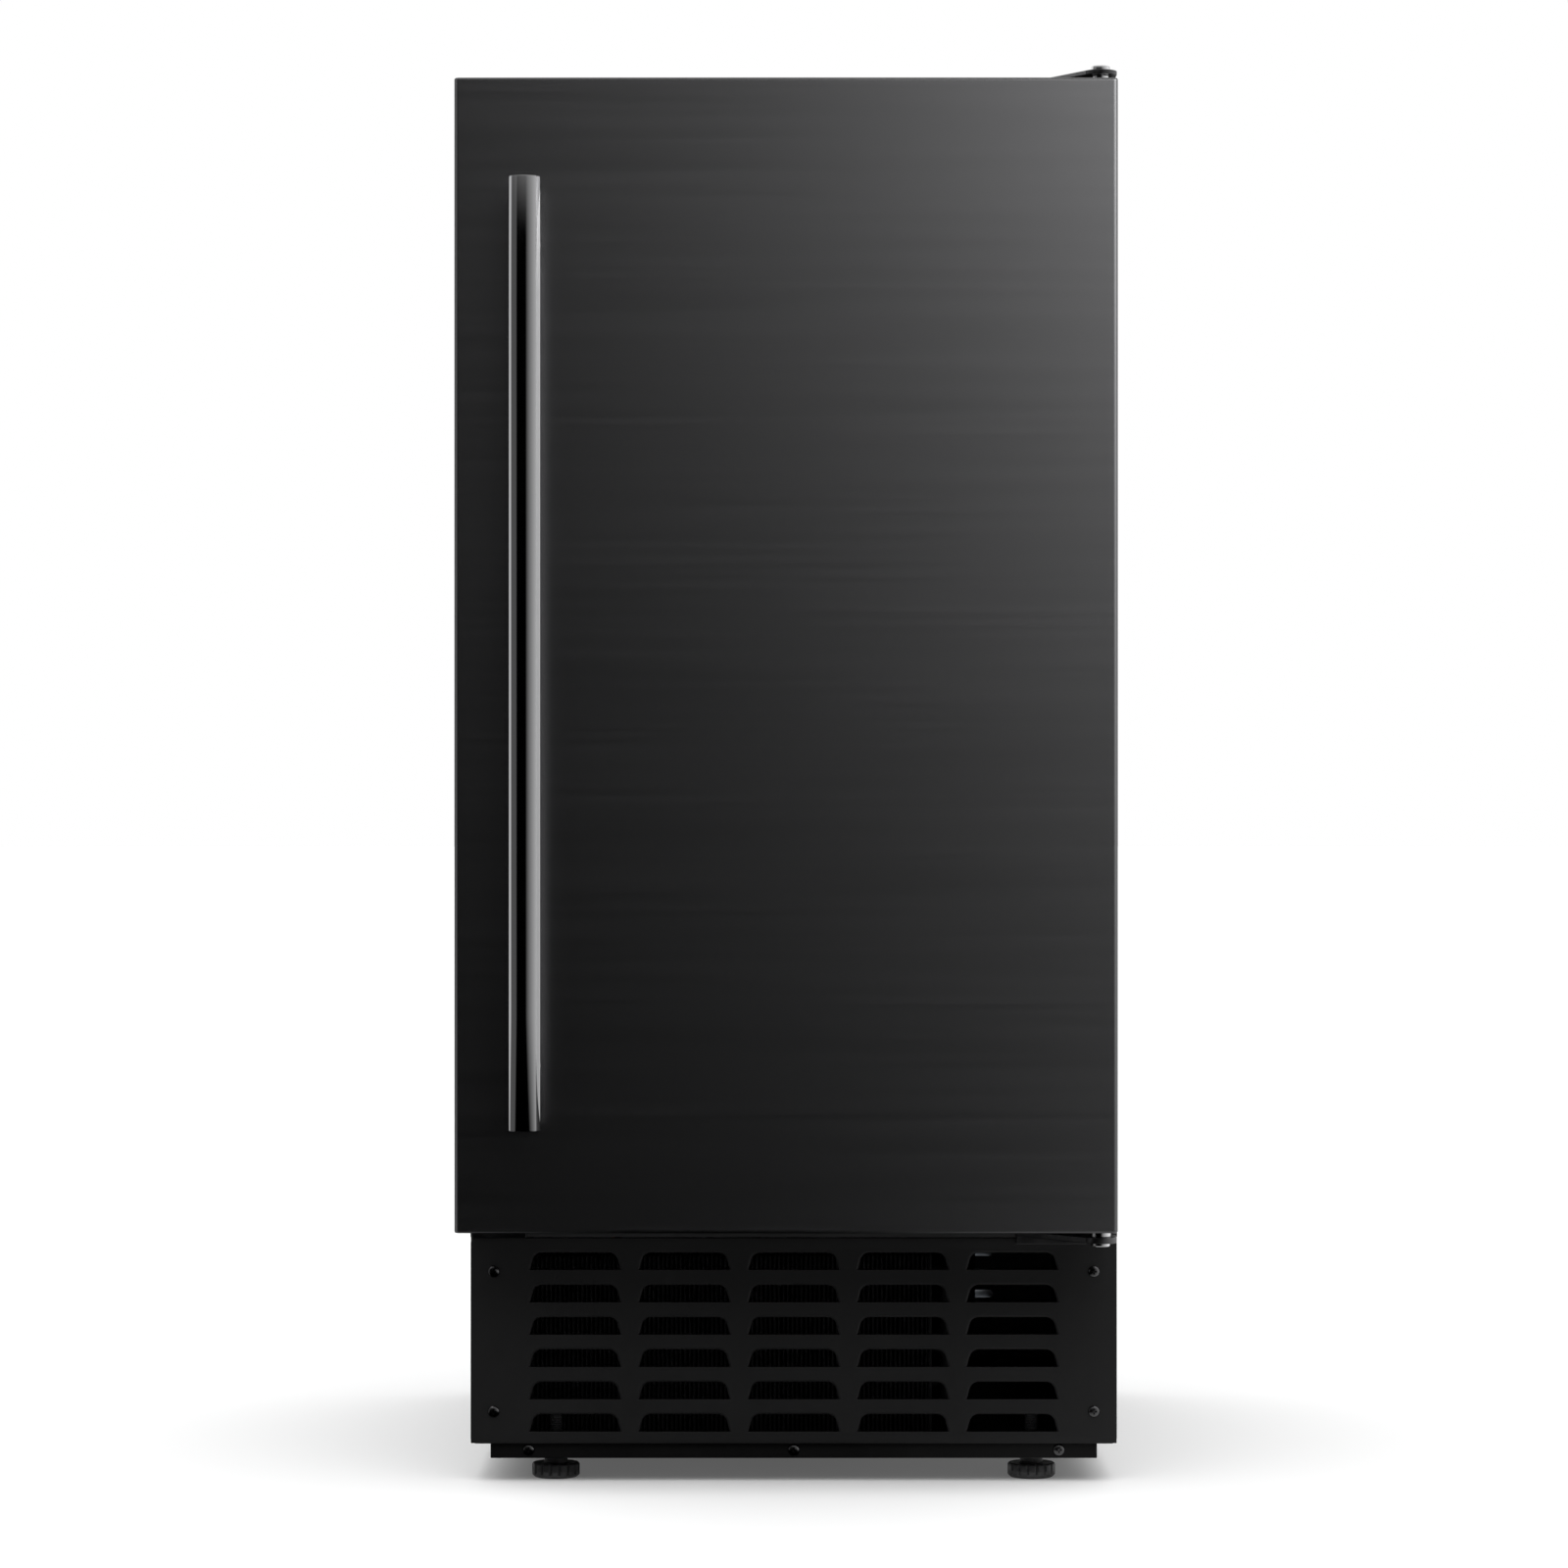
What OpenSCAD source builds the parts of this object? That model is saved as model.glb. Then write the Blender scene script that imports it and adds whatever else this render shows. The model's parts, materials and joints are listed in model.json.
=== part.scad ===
// Under-counter ice maker, 15 in class, right-hand door.
// Millimetres. Origin at the bottom centre of the outer box, +Z up, the door faces -Y.

/* [Cabinet] */
// Width of the steel cabinet
cab_w = 378; // [370:1:440]
// Depth of the cabinet from its front flange to its rear panel
cab_d = 455.5; // [440:0.5:540]
// Thickness of the cabinet's sheet steel
sheet_t = 1.2; // [0.8:0.1:2]
// Width of the front returns of the side panels
return_w = 15; // [12:0.5:18]
// Height between the door's top edge and the cabinet's top
top_gap = 3.6; // [3.2:0.1:6]
// How far fittings stand out behind the rear panel
rear_reach = 15; // [12:0.5:30]

/* [Base] */
// How far the base pan stands in from the cabinet's sides
base_inset = 11.5; // [7:0.5:18]
// Height of the base pan's front flange
plinth_h = 8.8; // [8:0.1:16]
// Thickness of the base pan's steel
base_t = 1.5; // [1.2:0.1:2.5]
// Distance of the feet from the base pan's sides
foot_side = 37.2; // [28:0.2:50]
// Distance of the front feet behind the cabinet's front flange
foot_inset = 31; // [29:0.5:45]
// Diameter of a foot's disc
foot_d = 28; // [24:0.5:36]
// Height of a foot's disc
foot_disc_h = 8.5; // [6:0.5:12]
// Height of a foot's neck below the base pan when screwed home
foot_neck_h = 5.6; // [5:0.1:10]
// Thread diameter of the feet
stud_d = 8; // [6:1:10]
// How far a foot screws out
foot_travel = 20; // [10:1:24]

/* [Door] */
// How much wider the door is than the cabinet
door_over = 2; // [0:0.5:6]
// Height of the door
door_h = 661.6; // [640:0.1:760]
// Thickness of the door without its gasket
door_t = 50; // [44:1:60]
// Thickness of the door's steel skin
skin_t = 1; // [0.6:0.1:1.5]
// Radius of the skin's upright front edges
door_edge_r = 2.5; // [2:0.1:5]
// Thickness of the door's plastic liner
door_liner_t = 2; // [1.5:0.1:3]
// How far the cabinet's side stands past the door's hinge edge
door_inset = 3.5; // [1:0.1:6]
// Height of the gap between the grille and the door
door_gap = 8.1; // [8.1:0.1:12]
// Depth of the space between door and cabinet that the gasket fills
seal_t = 13; // [11:0.5:16]
// Width of the gasket
gasket_w = 12; // [10:0.5:13]
// Width of the gasket's neck
gasket_neck_w = 6; // [4:0.5:8]
// Height of the raised panel on the door liner
dike_t = 11; // [8:0.5:12]

/* [Handle] */
// Diameter of the handle bar
handle_d = 18; // [14:0.5:22]
// Length of the handle bar
handle_l = 539; // [300:1:600]
// Distance of the bar's axis from the door's free edge
handle_inset = 42.1; // [30:0.1:60]
// Distance of the bar's axis in front of the door
handle_standoff = 37.5; // [34:0.5:50]
// Diameter of a handle post
post_d = 11; // [9:0.5:12]
// Distance of a post from the bar's end
post_inset = 35; // [20:1:60]
// Diameter of the base of a handle post
post_base_d = 15; // [13:0.5:17]

/* [Hinges] */
// Distance of the hinge axis from the door's hinge edge
hinge_inset = 9; // [8:0.5:11]
// Distance of the hinge axis behind the door's face
hinge_back = 20; // [16:0.5:24]
// Diameter of the hinge pins
pin_d = 7; // [5:0.5:8]
// Radius of the hinge plates around the pin
hinge_tip_r = 9.5; // [8:0.5:11]
// Thickness of the top hinge plate
top_plate_t = 2.5; // [2:0.1:4]
// Thickness of the bottom hinge bracket's tab
tab_t = 3.5; // [3:0.1:4]
// Gap between the bottom hinge tab and the door
hinge_gap = 3.5; // [3:0.1:3.8]
// Width of the bottom hinge bracket's upright flange
bracket_w = 40.6; // [36:0.2:50]
// Thickness of the bottom hinge bracket's upright flange
bracket_t = 3; // [2:0.1:3.5]
// Outer diameter of the door's hinge bushings
bushing_d = 12; // [11:0.5:14]
// Length of the door's hinge bushings
bushing_l = 15; // [12:1:25]

/* [Grille] */
// Height of the front grille
grille_h = 120.5; // [112:0.1:140]
// Thickness of the grille panel
grille_t = 2; // [1.5:0.1:3]
// Radius of the grille's corners
grille_r = 3.2; // [1:0.1:6]
// Number of louvre columns
louvre_cols = 5; // [3:1:5]
// Number of louvre rows
louvre_rows = 6; // [3:1:6]
// Width of a louvre's lower edge
louvre_w = 52.7; // [40:0.1:56]
// Height of a louvre
louvre_h = 10; // [8:0.1:11]
// Corner radius of a louvre's upper corners
louvre_r = 5.6; // [3:0.1:6]
// Slope of a louvre's sides from upright, in degrees
louvre_slope = 15; // [5:1:20]
// Distance between louvre columns
louvre_pitch_x = 63.9; // [60:0.1:66]
// Distance between louvre rows
louvre_pitch_z = 18.9; // [16:0.1:20]
// Height of the lowest louvre above the grille's lower edge
louvre_z = 7.1; // [5:0.1:9]
// How far a louvre's lip reaches behind the grille
lip_d = 3; // [2:0.5:5]
// Distance of the grille's screws from the cabinet's side
screw_inset = 13.5; // [12:0.5:16]
// Head diameter of the domed screws
screw_head_d = 6.9; // [6:0.1:8]
// Height of the domed screw heads
screw_head_h = 2; // [1.5:0.1:2.5]
// Shank diameter of the domed screws
screw_d = 3.8; // [3:0.1:4]

/* [Ice bin] */
// Thickness of the foam in the side walls
side_foam = 30.3; // [28:0.1:45]
// Thickness of the inner liner
liner_t = 2.5; // [2:0.1:4]
// Thickness of the foam in the rear wall
rear_foam = 40; // [34:1:50]
// Thickness of the foam under the ceiling
top_foam = 35; // [32:1:45]
// Thickness of the foam under the bin floor
floor_foam = 40.9; // [36:0.1:50]
// Height of the step over the compressor
hump_h = 100; // [90:1:120]
// Depth of the step over the compressor beyond the compressor's diameter
hump_room = 35; // [30:1:40]
// Height of the bin guard
guard_h = 140; // [60:1:160]
// Thickness of the bin guard
guard_t = 3; // [2:0.5:4]

/* [Ice making] */
// Gap between the evaporator frame and the bin's left wall
evap_gap = 15; // [8:1:20]
// Width kept free for the pump on the evaporator's right
pump_room = 75; // [70:1:90]
// Height of the evaporator
evap_h = 190; // [150:1:196]
// Depth of the ice cells
cell_d = 10; // [8:0.5:14]
// Thickness of the evaporator's back plate
plate_t = 3; // [2:0.5:4]
// Number of ice cells across
cell_cols = 7; // [4:1:8]
// Number of ice cells up
cell_rows = 6; // [4:1:7]
// Thickness of the walls between the ice cells
cell_wall = 2; // [1.5:0.1:3]
// Outer diameter of the evaporator's tube
coil_d = 8; // [6:0.5:10]
// Distance from the ceiling to the top of the evaporator
evap_drop = 78; // [76:1:90]
// Thickness of the evaporator frame
frame_t = 4; // [3:0.5:5]
// Height of the water trough
trough_h = 45; // [40:1:50]
// Outer diameter of the water distributor tube
spray_d = 16; // [12:0.5:18]
// Thickness of the ice curtain
curtain_t = 2.4; // [2:0.1:3]
// Diameter of the curtain's pivots
pivot_d = 6; // [5:0.5:7]

/* [Machine] */
// Diameter of the compressor's shell
comp_d = 150; // [130:1:156]
// Height of the compressor's shell
comp_h = 170; // [150:1:176]
// Width of the condenser
cond_w = 240; // [200:1:250]
// Height of the condenser
cond_h = 112; // [110:1:116]
// Depth of the condenser
cond_d = 44; // [38:1:50]
// Diameter of the fan blade
fan_d = 96; // [80:1:98]
// Outer diameter of the refrigerant lines
line_d = 8; // [6:0.5:9]

/* [Clearances] */
// Gap between pieces that move past each other
gap = 0.3; // [0.2:0.05:0.5]
// Radial clearance of a pin or shaft in its hole
run_fit = 0.05; // [0.02:0.01:0.1]
// Radial clearance of a fixed screw or tube in its hole
hole_fit = 0.2; // [0.1:0.05:0.4]

/* [Hidden] */
$fn = 48;

BLACK = "#17181a";
STEEL = "#2b2c2e";
ZINC = "#9a9da1";
CHROME = "#c8cacc";
WHITE = "#e6e8e8";
GREY = "#55585c";
COPPER = "#b4683a";
FOAM = "#d8c890";
RUBBER = "#101010";
GREEN = "#1f6b3a";
CLEAR = "#a8c4d0";

// --- main planes, across ---
door_w = cab_w + door_over;
overall_w = max(door_w + door_inset, cab_w);
cab_x1 = overall_w / 2;
cab_x0 = cab_x1 - cab_w;
cab_cx = (cab_x0 + cab_x1) / 2;
door_x1 = cab_x1 - door_inset;
door_x0 = door_x1 - door_w;
inner_x0 = cab_x0 + sheet_t;
inner_x1 = cab_x1 - sheet_t;
base_x0 = cab_x0 + base_inset;
base_x1 = cab_x1 - base_inset;
bin_w = cab_w - 2 * (sheet_t + side_foam + liner_t);
bin_x0 = cab_cx - bin_w / 2;
bin_x1 = cab_cx + bin_w / 2;

// --- main planes, front to back ---
handle_reach = handle_standoff + handle_d / 2;
overall_d = handle_reach + door_t + seal_t + cab_d + rear_reach;
door_y = -overall_d / 2 + handle_reach;
door_back_y = door_y + door_t;
cab_y = door_back_y + seal_t;
cab_back_y = cab_y + cab_d;
rear_y = cab_back_y - sheet_t;
fitting_y = cab_back_y + rear_reach;
grille_set = 2;
plinth_set = 1;
grille_y = cab_y + grille_set;
grille_back_y = grille_y + grille_t;
plinth_y = grille_back_y + plinth_set;
handle_y = door_y - handle_standoff;

// --- main planes, upwards ---
base_z = foot_disc_h + foot_neck_h;
floor_z = base_z + base_t;
grille_z = base_z + plinth_h;
grille_top = grille_z + grille_h;
door_z = grille_top + door_gap;
door_top = door_z + door_h;
cab_top = door_top + top_gap;
roof_z = cab_top - sheet_t;

// --- crossbar and deck ---
seam = 0.5;
cross_z = grille_top + seam;
cross_t = 1.5;
cross_h = 34;
cross_back = 25;
roof_flange_h = 31;
deck_z = cross_z + cross_t;
deck_top = deck_z + sheet_t;

// --- ice bin ---
bin_floor = deck_top + floor_foam + liner_t;
bin_top = roof_z - top_foam - liner_t;
bin_back_y = rear_y - sheet_t - rear_foam - liner_t;
hump_z = bin_floor + hump_h;
hump_y = bin_back_y - comp_d - hump_room;
flange_t = 1.5;
upper_deck_z = hump_z - liner_t - floor_foam - sheet_t;
riser_y = hump_y + liner_t + rear_foam - cross_t;
roof_flange_z = roof_z - roof_flange_h;

// --- hinges ---
pin_x = door_x1 - hinge_inset;
pin_y = door_y + hinge_back;
pin_r = pin_d / 2;
tab_z = door_z - hinge_gap - tab_t;
bracket_set = 6;
bracket_x1 = pin_x - bracket_set;
bracket_x0 = bracket_x1 - bracket_w;
bracket_y = cab_y - bracket_t;
bracket_drop = 4.5;
bracket_h = 22;
hinge_head_r = 5.5;
hinge_head_h = 2.8;
low_head_h = 2;
spacer_r = 4.75;
collar_r = 6;
pin_end_gap = 3;
top_plate_d = 58;
top_plate_w = 40;

// --- seal ---
seal_margin = 10;
seal_low = 8;
seal_high = 9.5;
dike_gap = 7;
seal_w = bin_w + 2 * seal_margin;
seal_x0 = cab_cx - seal_w / 2;
seal_x1 = cab_cx + seal_w / 2;
seal_z0 = cross_z + cross_h - seal_low;
seal_z1 = roof_flange_z + seal_high;
dike_edge = gasket_w / 2 + dike_gap;

// --- handle ---
handle_x = door_x0 + handle_inset;
handle_z0 = door_z + (door_h - handle_l) / 2;
handle_z1 = handle_z0 + handle_l;
post_zs = [handle_z0 + post_inset, handle_z1 - post_inset];
post_seat = 3;
handle_screw_r = 2.5;
handle_screw_head_r = 4.5;
handle_screw_head_h = 3;
handle_screw_l = 12;

// --- screws ---
screw_r = screw_d / 2;
grille_screw_xs = [cab_x0 + screw_inset, cab_x1 - screw_inset];
grille_screw_l = 10;
plinth_screw_l = 8;
rear_screw_l = 8;
hinge_screw_l = 7;
bracket_screw_l = 10;
pan_head_r = 4;
pan_head_h = 2;
grille_screw_low = 18.9;
grille_screw_high = 19.8;
plinth_screw_inset = 22.3;
plinth_screw_drop = 3.9;
rear_screw_inset = 7;
rear_screw_end = 30;
rear_screw_gaps = 3;
hinge_screw_far = 30;
hinge_screw_near = 8;
hinge_screw_front = 30;
hinge_screw_back = 48;
bracket_screw_inset = 9;
bracket_screw_up = 13;
grille_screw_zs = [grille_z + grille_screw_low, grille_top - grille_screw_high];
plinth_screw_reach = (base_x1 - base_x0) / 2 - plinth_screw_inset;
plinth_screw_xs = [cab_cx - plinth_screw_reach, cab_cx, cab_cx + plinth_screw_reach];
plinth_screw_z = grille_z - plinth_screw_drop;
rear_screw_xs = [cab_x0 + rear_screw_inset, cab_x1 - rear_screw_inset];
rear_screw_pitch = (roof_z - grille_z - 2 * rear_screw_end) / rear_screw_gaps;
rear_screw_zs = [for (i = [0:rear_screw_gaps]) grille_z + rear_screw_end + i * rear_screw_pitch];
hinge_screw_xs = [pin_x - hinge_screw_far, pin_x - hinge_screw_near];
hinge_screw_y = cab_y + hinge_screw_front;
hinge_screw_y2 = cab_y + hinge_screw_back;
bracket_screw_xs = [bracket_x0 + bracket_screw_inset, bracket_x1 - bracket_screw_inset];
bracket_screw_z = tab_z + bracket_screw_up;
blank_inset = 1;
blank_w = 31.5;
blank_h = 20.3;

// --- feet ---
foot_xs = [base_x0 + foot_side, base_x1 - foot_side];
rear_foot_inset = 30;
foot_ys = [cab_y + foot_inset, cab_back_y - rear_foot_inset];
stud_r = stud_d / 2;
nut_h = 7;

// --- evaporator, trough and pump ---
evap_w = bin_w - evap_gap - pump_room - 2 * frame_t;
evap_back = 66;
spray_in = 6;
spray_up = 22;
pivot_out = 22;
pivot_drop = 48;
frame_out = 12;
frame_drop = 36;
frame_w = evap_w + 2 * frame_t;
evap_cx = bin_x0 + evap_gap + frame_w / 2;
evap_x0 = evap_cx - evap_w / 2;
evap_x1 = evap_cx + evap_w / 2;
evap_top = bin_top - evap_drop;
evap_z = evap_top - evap_h;
evap_y = bin_back_y - evap_back;
plate_y = evap_y + cell_d;
coil_y = plate_y + plate_t + coil_d / 2 + run_fit;
spray_y = evap_y + spray_in;
spray_z = evap_top + spray_up;
pivot_y = evap_y - pivot_out;
pivot_z = bin_top - pivot_drop;
pivot_r = pivot_d / 2;
frame_top = bin_top - frame_drop;
frame_y = pivot_y - frame_out;
trough_drop = 20;
trough_out = 20;
trough_gap = 3;
trough_top = evap_z - trough_drop;
trough_z = trough_top - trough_h;
trough_y = pivot_y - trough_out;
trough_t = 2.5;
trough_x0 = evap_x0 - frame_t;
trough_x1 = bin_x1 - trough_gap;
pump_inset = 34;
pump_back = 7;
pump_x = trough_x1 - pump_inset;
pump_r = 20;
pump_y = bin_back_y - pump_r - pump_back;
pump_z = trough_z + trough_t;
pump_volute_h = 22;
pump_neck_r = 9;
pump_motor_up = 14;
pump_motor_h = 52;
pump_cap_h = 5;
hose_r = 6;
hose_grip = 12;
spray_end = 8;
nipple_r = 4;
hose_z = pump_z + pump_volute_h / 2;
float_in = 18;
float_up = 8;
float_x = pump_x;
float_y = trough_y + float_in;
float_r = 11;
float_h = 14;
float_z = pump_z + float_up;
stem_r = 3;
stem_drop = 2;

// --- controls ---
panel_w = 200;
panel_in = 12;
panel_d = 88;
panel_x0 = cab_cx - panel_w / 2;
panel_x1 = cab_cx + panel_w / 2;
panel_y = cab_y + panel_in;
panel_y1 = panel_y + panel_d;
panel_h = 42;
panel_z = bin_top - panel_h;
panel_t = 2.5;
button_r = 6;
button_travel = 1.5;
button_z = panel_z + panel_h / 2;
button_pitch = 24;
button_last = 30;
button_xs = [for (i = [2:-1:0]) cab_cx - button_last - i * button_pitch];
button_proud = 2;
button_skirt_r = 7.5;
button_skirt_t = 1.2;
button_stem_r = 2;
board_in = 16;
switch_in = 11.5;
board_y = panel_y + board_in;
board_t = 1.6;
switch_y = panel_y + switch_in;
display_gap = 10;
display_w = 70;
display_h = 18;
display_lip = 1.5;
display_x0 = cab_cx + display_gap;
display_x1 = display_x0 + display_w;
display_z0 = button_z - display_h / 2;
display_z1 = button_z + display_h / 2;
lamp_w = 44;
lamp_d = 24;
lamp_in = 50;
lamp_lip = 2;
lamp_y = panel_y + lamp_in;

// --- machine compartment ---
cond_side = 26;
cond_in = 22;
fin_lift = 6;
cond_x0 = inner_x0 + cond_side;
cond_x1 = cond_x0 + cond_w;
cond_y = foot_ys[0] + cond_in;
cond_back_y = cond_y + cond_d;
cond_z = floor_z + fin_lift;
cond_rows = 5;
cond_pitch = 21;
fin_count = 30;
fin_t = 1;
cond_tube_lift = 10;
cond_tube_z = cond_z + cond_tube_lift;
cond_tube_out = 8;
cond_tube_ys = [cond_y + cond_d * 0.28, cond_y + cond_d * 0.72];
fan_lift = 4;
fan_in = 6;
fan_x = cond_x0 + cond_w / 2;
fan_z = floor_z + cond_h / 2 + fan_lift;
shroud_y = cond_back_y;
shroud_t = 1.5;
ring_d = 20;
fan_clear = 3;
fan_y = shroud_y + fan_in;
fan_hub_r = 15;
fan_hub_l = 16;
motor_gap = 8;
motor_y = fan_y + fan_hub_l + motor_gap;
motor_l = 40;
motor_r = 26;
shaft_r = 2.5;
shaft_in = 4;
comp_side = 68;
comp_rear = 12;
comp_lift = 14;
comp_foot_in = 36;
comp_x = inner_x1 - comp_d / 2 - comp_side;
comp_y = rear_y - comp_d / 2 - comp_rear;
comp_base_z = floor_z + comp_lift;
comp_seam_z = comp_base_z + comp_h / 2;
comp_foot_w = comp_d - comp_foot_in;
comp_foot_t = 3;
comp_ledge = 12;
port_side = 20;
port_reach = comp_d / 2 * 1.05;
port_y = comp_y - port_reach;
port_depth = 12;
port_plug = 8;
suction_port_up = 20;
discharge_port_down = 30;
suction_port_z = comp_seam_z + suction_port_up;
discharge_port_z = comp_seam_z - discharge_port_down;
line_bend = 14;
line_gap = 8;
line_turn_y = port_y - line_bend;
grommet_r = 9;
bolt_r = 3;
bolt_h = 19;
line_r = line_d / 2;
drier_side = 42;
drier_in = 60;
drier_lift = 14;
drier_x = inner_x0 + drier_side;
drier_y = cond_back_y + drier_in;
drier_z = floor_z + drier_lift;
drier_r = 11;
drier_l = 100;
drier_end_l = 10;
valve_side = 28;
valve_lift = 120;
valve_x = inner_x0 + valve_side;
valve_z = floor_z + valve_lift;
valve_thread_r = 13.2;
valve_neck_r = 11;
valve_back = 10;
valve_outlet = 13;
drain_side = 12;
drain_in = 40;
drain_turn = 50;
drain_lift = 26;
drain_x = cab_cx - drain_side;
drain_y = hump_y - drain_in;
drain_r = 8;
strainer_rim = 8;
drain_out_x = drain_x - drain_turn;
drain_out_z = floor_z + drain_lift;
gland_side = 62;
gland_lift = 70;
gland_x = inner_x0 + gland_side;
gland_z = floor_z + gland_lift;
cord_r = 3.6;
gland_r = 9;
gland_neck_r = 7.5;
riser_pipe_y = rear_y - sheet_t - rear_foam / 2;
coil_inset = 18;
coil_margin = 20;
fill_gap = 4.5;
fill_up = 30;
suction_x = evap_x1 - coil_inset;
gas_pipe_x = evap_x0 + coil_inset;
coil_low_z = evap_z + coil_margin;
coil_high_z = evap_top - coil_margin;
fill_x = evap_x1 + frame_t + line_r + fill_gap;
fill_z = trough_top + fill_up;
screw_hole_depth = 8;

// --- helpers ---
module block(x0, x1, y0, y1, z0, z1) {
    translate([x0, y0, z0]) cube([x1 - x0, y1 - y0, z1 - z0]);
}

module rod_x(x0, x1, y, z, r) {
    translate([x0, y, z]) rotate([0, 90, 0]) cylinder(h = x1 - x0, r = r);
}

module rod_y(x, y0, y1, z, r) {
    translate([x, y0, z]) rotate([-90, 0, 0]) cylinder(h = y1 - y0, r = r);
}

module rod_z(x, y, z0, z1, r) {
    translate([x, y, z0]) cylinder(h = z1 - z0, r = r);
}

// A tube or solid line of straight runs along the axes, rounded at its corners
module run(points, r) {
    for (i = [0:len(points) - 2]) {
        a = points[i];
        b = points[i + 1];
        low = [min(a[0], b[0]), min(a[1], b[1]), min(a[2], b[2])];
        high = [max(a[0], b[0]), max(a[1], b[1]), max(a[2], b[2])];
        if (high[0] > low[0]) rod_x(low[0], high[0], a[1], a[2], r);
        if (high[1] > low[1]) rod_y(a[0], low[1], high[1], a[2], r);
        if (high[2] > low[2]) rod_z(a[0], a[1], low[2], high[2], r);
        if (i > 0) translate(a) sphere(r = r);
    }
}

// Domed head seen from -Y, lying on the plane y
module dome_y(x, y, z, r, h) {
    ball_r = (r * r + h * h) / (2 * h);
    intersection() {
        translate([x, y - h + ball_r, z]) sphere(r = ball_r);
        block(x - r, x + r, y - h, y, z - r, z + r);
    }
}

// Domed screw driven along +Y
module screw_y(x, y, z, l) {
    dome_y(x, y, z, screw_head_d / 2, screw_head_h);
    rod_y(x, y, y + l, z, screw_r);
}

// Arc points about a centre
function arc(c, r, a0, a1, n) = [
    for (i = [0:n]) let (a = a0 + (a1 - a0) * i / n) [c[0] + r * cos(a), c[1] + r * sin(a)]
];

// Half width of a louvre at height z, before its corners are rounded
function louvre_side(z) = louvre_w / 2 - z * tan(louvre_slope);

// Outline of a louvre about the middle of its lower edge, grown outwards by g
function louvre_outline(g) =
    let (
        r = louvre_r + g,
        cz = louvre_h - louvre_r,
        cx = louvre_side(cz) - louvre_r / cos(louvre_slope),
        foot = louvre_side(0) + g / cos(louvre_slope),
        right = arc([cx, cz], r, louvre_slope, 90, 6),
        left = [for (i = [len(right) - 1:-1:0]) [-right[i][0], right[i][1]]]
    )
    concat([[-foot, 0], [foot, 0]], right, left);

// Places its children at every louvre
module at_louvres() {
    for (i = [0:louvre_cols - 1], j = [0:louvre_rows - 1])
        translate([
            cab_cx + (i - (louvre_cols - 1) / 2) * louvre_pitch_x,
            grille_z + louvre_z + j * louvre_pitch_z
        ]) children();
}

// Stands a flat drawing of X and Z up, between two Y planes
module upright(y0, y1) {
    translate([0, y1, 0]) rotate([90, 0, 0]) linear_extrude(height = y1 - y0) children();
}

module rect(x0, x1, y0, y1) {
    translate([x0, y0]) square([x1 - x0, y1 - y0]);
}

module round_rect(x0, x1, y0, y1, r) {
    rect(x0 + r, x1 - r, y0, y1);
    rect(x0, x1, y0 + r, y1 - r);
    for (x = [x0 + r, x1 - r], y = [y0 + r, y1 - r]) translate([x, y]) circle(r = r);
}

// --- base and feet ---
module base_pan() {
    y0 = plinth_y;
    y1 = rear_y;
    nut_r = stud_r * 1.9;
    color(STEEL) difference() {
        union() {
            block(base_x0, base_x1, y0, y1, base_z, grille_z);
            for (x = foot_xs, y = foot_ys)
                translate([x, y, floor_z]) cylinder(h = nut_h, r = nut_r, $fn = 6);
        }
        difference() {
            block(base_x0 + base_t, base_x1 - base_t, y0 + base_t, y1 - base_t, floor_z, grille_z + 1);
            for (x = foot_xs, y = foot_ys)
                translate([x, y, base_z]) cylinder(h = base_t + nut_h, r = nut_r, $fn = 6);
            comp_bolts(floor_z, bolt_r, bolt_h);
        }
        for (x = foot_xs, y = foot_ys)
            rod_z(x, y, base_z - 1, floor_z + nut_h + 1, stud_r + run_fit);
        for (x = plinth_screw_xs)
            rod_y(x, y0 - 1, y0 + base_t + 1, plinth_screw_z, screw_r + hole_fit);
    }
    color(STEEL) comp_bolts(floor_z, bolt_r, bolt_h);
}

module comp_bolts(z, r, h) {
    for (sx = [-1, 1], sy = [-1, 1])
        rod_z(comp_x + sx * comp_foot_w / 2, comp_y + sy * comp_foot_w / 2, z, z + h, r);
}

module lower_crossbar() {
    x0 = base_x0 + base_t;
    x1 = base_x1 - base_t;
    y0 = plinth_y + base_t;
    web_up = 3;
    shelf_d = 12;
    web_top = grille_z + web_up;
    color(ZINC) difference() {
        union() {
            block(x0, x1, y0, y0 + base_t, floor_z, web_top);
            block(x0, x1, y0, y0 + shelf_d, web_top - base_t, web_top);
        }
        for (x = plinth_screw_xs)
            rod_y(x, y0 - 1, y0 + base_t + 1, plinth_screw_z, screw_r + hole_fit);
    }
}

module foot(x, y) {
    grip_count = 16;
    grip_r = 1.6;
    grip_out = 0.6;
    grip_z = 2.2;
    chamfer = 1.5;
    foot_r = foot_d / 2;
    neck_r = foot_r * 0.486;
    color(BLACK) translate([x, y, 0]) {
        difference() {
            union() {
                cylinder(h = chamfer, r1 = foot_r - chamfer, r2 = foot_r);
                translate([0, 0, chamfer]) cylinder(h = foot_disc_h - chamfer, r = foot_r);
            }
            for (i = [0:grip_count - 1]) rotate(i * 360 / grip_count)
                translate([foot_r + grip_out, 0, grip_z]) cylinder(h = foot_disc_h, r = grip_r);
        }
        translate([0, 0, foot_disc_h]) cylinder(h = foot_neck_h - gap, r = neck_r);
        translate([0, 0, foot_disc_h + 1])
            cylinder(h = foot_neck_h + base_t + nut_h + foot_travel, r = stud_r);
    }
}

module foot_front_left() { foot(foot_xs[0], foot_ys[0]); }
module foot_front_right() { foot(foot_xs[1], foot_ys[0]); }
module foot_rear_left() { foot(foot_xs[0], foot_ys[1]); }
module foot_rear_right() { foot(foot_xs[1], foot_ys[1]); }

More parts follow.
